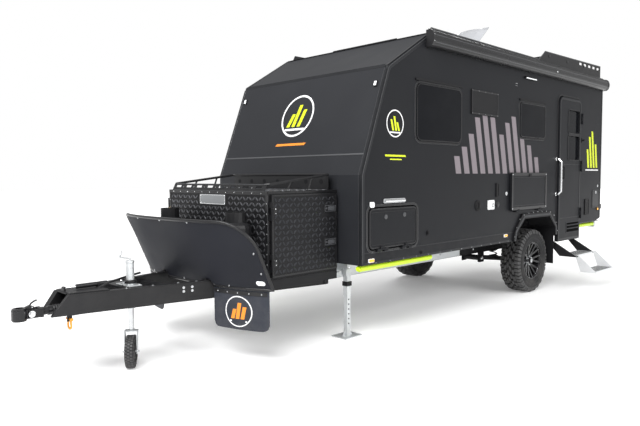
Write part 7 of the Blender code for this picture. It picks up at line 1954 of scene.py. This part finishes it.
class CARAVAN_OT_graphics(bpy.types.Operator):
    """Add the generic film motifs on the walls and the front."""
    bl_idname = "caravan.graphics"
    bl_label = "Film motifs"

    def execute(self, context):
        make_graphics()
        return {"FINISHED"}


class CARAVAN_OT_wheels(bpy.types.Operator):
    """Build the tyres, rims and nuts of the running wheels and the spare, and the trims of the arches."""
    bl_idname = "caravan.wheels"
    bl_label = "Wheels"

    def execute(self, context):
        make_wheels(context.scene.caravan_looks)
        make_spare(context.scene.caravan_looks)
        make_arches()
        return {"FINISHED"}


class CARAVAN_OT_drawbar(bpy.types.Operator):
    """Add the bolts, damper, coupling parts and the jockey wheel's tyre, collars and knob."""
    bl_idname = "caravan.drawbar"
    bl_label = "Drawbar"

    def execute(self, context):
        make_drawbar()
        make_coupling()
        make_jockey()
        return {"FINISHED"}


class CARAVAN_OT_legs(bpy.types.Operator):
    """Add the legs' sleeves, holes and pins, and the treads' ribs, rims and bolts."""
    bl_idname = "caravan.legs"
    bl_label = "Steady legs and steps"

    def execute(self, context):
        make_steadies()
        make_steps()
        return {"FINISHED"}


class CARAVAN_OT_toolbox(bpy.types.Operator):
    """Cover the toolbox with tread plate, and add its angles and latches and the racks' rims and bolts."""
    bl_idname = "caravan.toolbox"
    bl_label = "Toolbox and racks"

    def execute(self, context):
        make_toolbox(context.scene.caravan_looks)
        make_rack()
        return {"FINISHED"}


class CARAVAN_OT_guard(bpy.types.Operator):
    """Build the guard's sheet and tube and the front mud flaps, with their fittings."""
    bl_idname = "caravan.guard"
    bl_label = "Stone guard and flaps"

    def execute(self, context):
        make_guard()
        make_front_flaps()
        return {"FINISHED"}


class CARAVAN_OT_bottles(bpy.types.Operator):
    """Add the valve, straps and seams of the gas bottles."""
    bl_idname = "caravan.bottles"
    bl_label = "Gas bottles"

    def execute(self, context):
        make_bottles()
        return {"FINISHED"}


class CARAVAN_OT_rear(bpy.types.Operator):
    """Add the rear's lamps and joints, the frame's bolts and the roof's seams, vent and panels."""
    bl_idname = "caravan.rear"
    bl_label = "Rear, underside and roof"

    def execute(self, context):
        make_rear()
        make_under()
        make_roof()
        return {"FINISHED"}


class CARAVAN_OT_stage(bpy.types.Operator):
    """Set up the floor, the lamps and the camera."""
    bl_idname = "caravan.stage"
    bl_label = "Stage"

    def execute(self, context):
        make_stage(context.scene.caravan_stage)
        return {"FINISHED"}


PIECES = (
    CARAVAN_OT_finishes, CARAVAN_OT_trims, CARAVAN_OT_openings, CARAVAN_OT_fittings, CARAVAN_OT_door,
    CARAVAN_OT_table, CARAVAN_OT_awning, CARAVAN_OT_graphics, CARAVAN_OT_wheels, CARAVAN_OT_drawbar,
    CARAVAN_OT_legs, CARAVAN_OT_toolbox, CARAVAN_OT_guard, CARAVAN_OT_bottles, CARAVAN_OT_rear,
    CARAVAN_OT_stage,
)


class CARAVAN_PT_panel(bpy.types.Panel):
    """Sizes and colours, with a button for each group of pieces."""
    bl_label = "Hybrid caravan"
    bl_idname = "CARAVAN_PT_panel"
    bl_space_type = "VIEW_3D"
    bl_region_type = "UI"
    bl_category = "Caravan"

    def draw(self, context):
        for group in (context.scene.caravan_looks, context.scene.caravan_stage):
            for key in group.bl_rna.properties.keys():
                if key not in {"rna_type", "name"}:
                    self.layout.prop(group, key)
        for operator in PIECES:
            self.layout.operator(operator.bl_idname)


CLASSES = (CARAVAN_PG_looks, CARAVAN_PG_stage, *PIECES, CARAVAN_PT_panel)


def register():
    """Register the classes and hang the settings on the scene."""
    for cls in CLASSES:
        bpy.utils.register_class(cls)
    bpy.types.Scene.caravan_looks = bpy.props.PointerProperty(type=CARAVAN_PG_looks)
    bpy.types.Scene.caravan_stage = bpy.props.PointerProperty(type=CARAVAN_PG_stage)


def unregister():
    """Take the settings and the classes away again."""
    del bpy.types.Scene.caravan_stage
    del bpy.types.Scene.caravan_looks
    for cls in reversed(CLASSES):
        bpy.utils.unregister_class(cls)


def main():
    """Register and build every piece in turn."""
    register()
    bpy.ops.caravan.finishes()
    bpy.ops.caravan.trims()
    bpy.ops.caravan.openings()
    bpy.ops.caravan.fittings()
    bpy.ops.caravan.door()
    bpy.ops.caravan.table()
    bpy.ops.caravan.awning()
    bpy.ops.caravan.graphics()
    bpy.ops.caravan.wheels()
    bpy.ops.caravan.drawbar()
    bpy.ops.caravan.legs()
    bpy.ops.caravan.toolbox()
    bpy.ops.caravan.guard()
    bpy.ops.caravan.bottles()
    bpy.ops.caravan.rear()
    bpy.ops.caravan.stage()


if __name__ == "__main__":
    main()
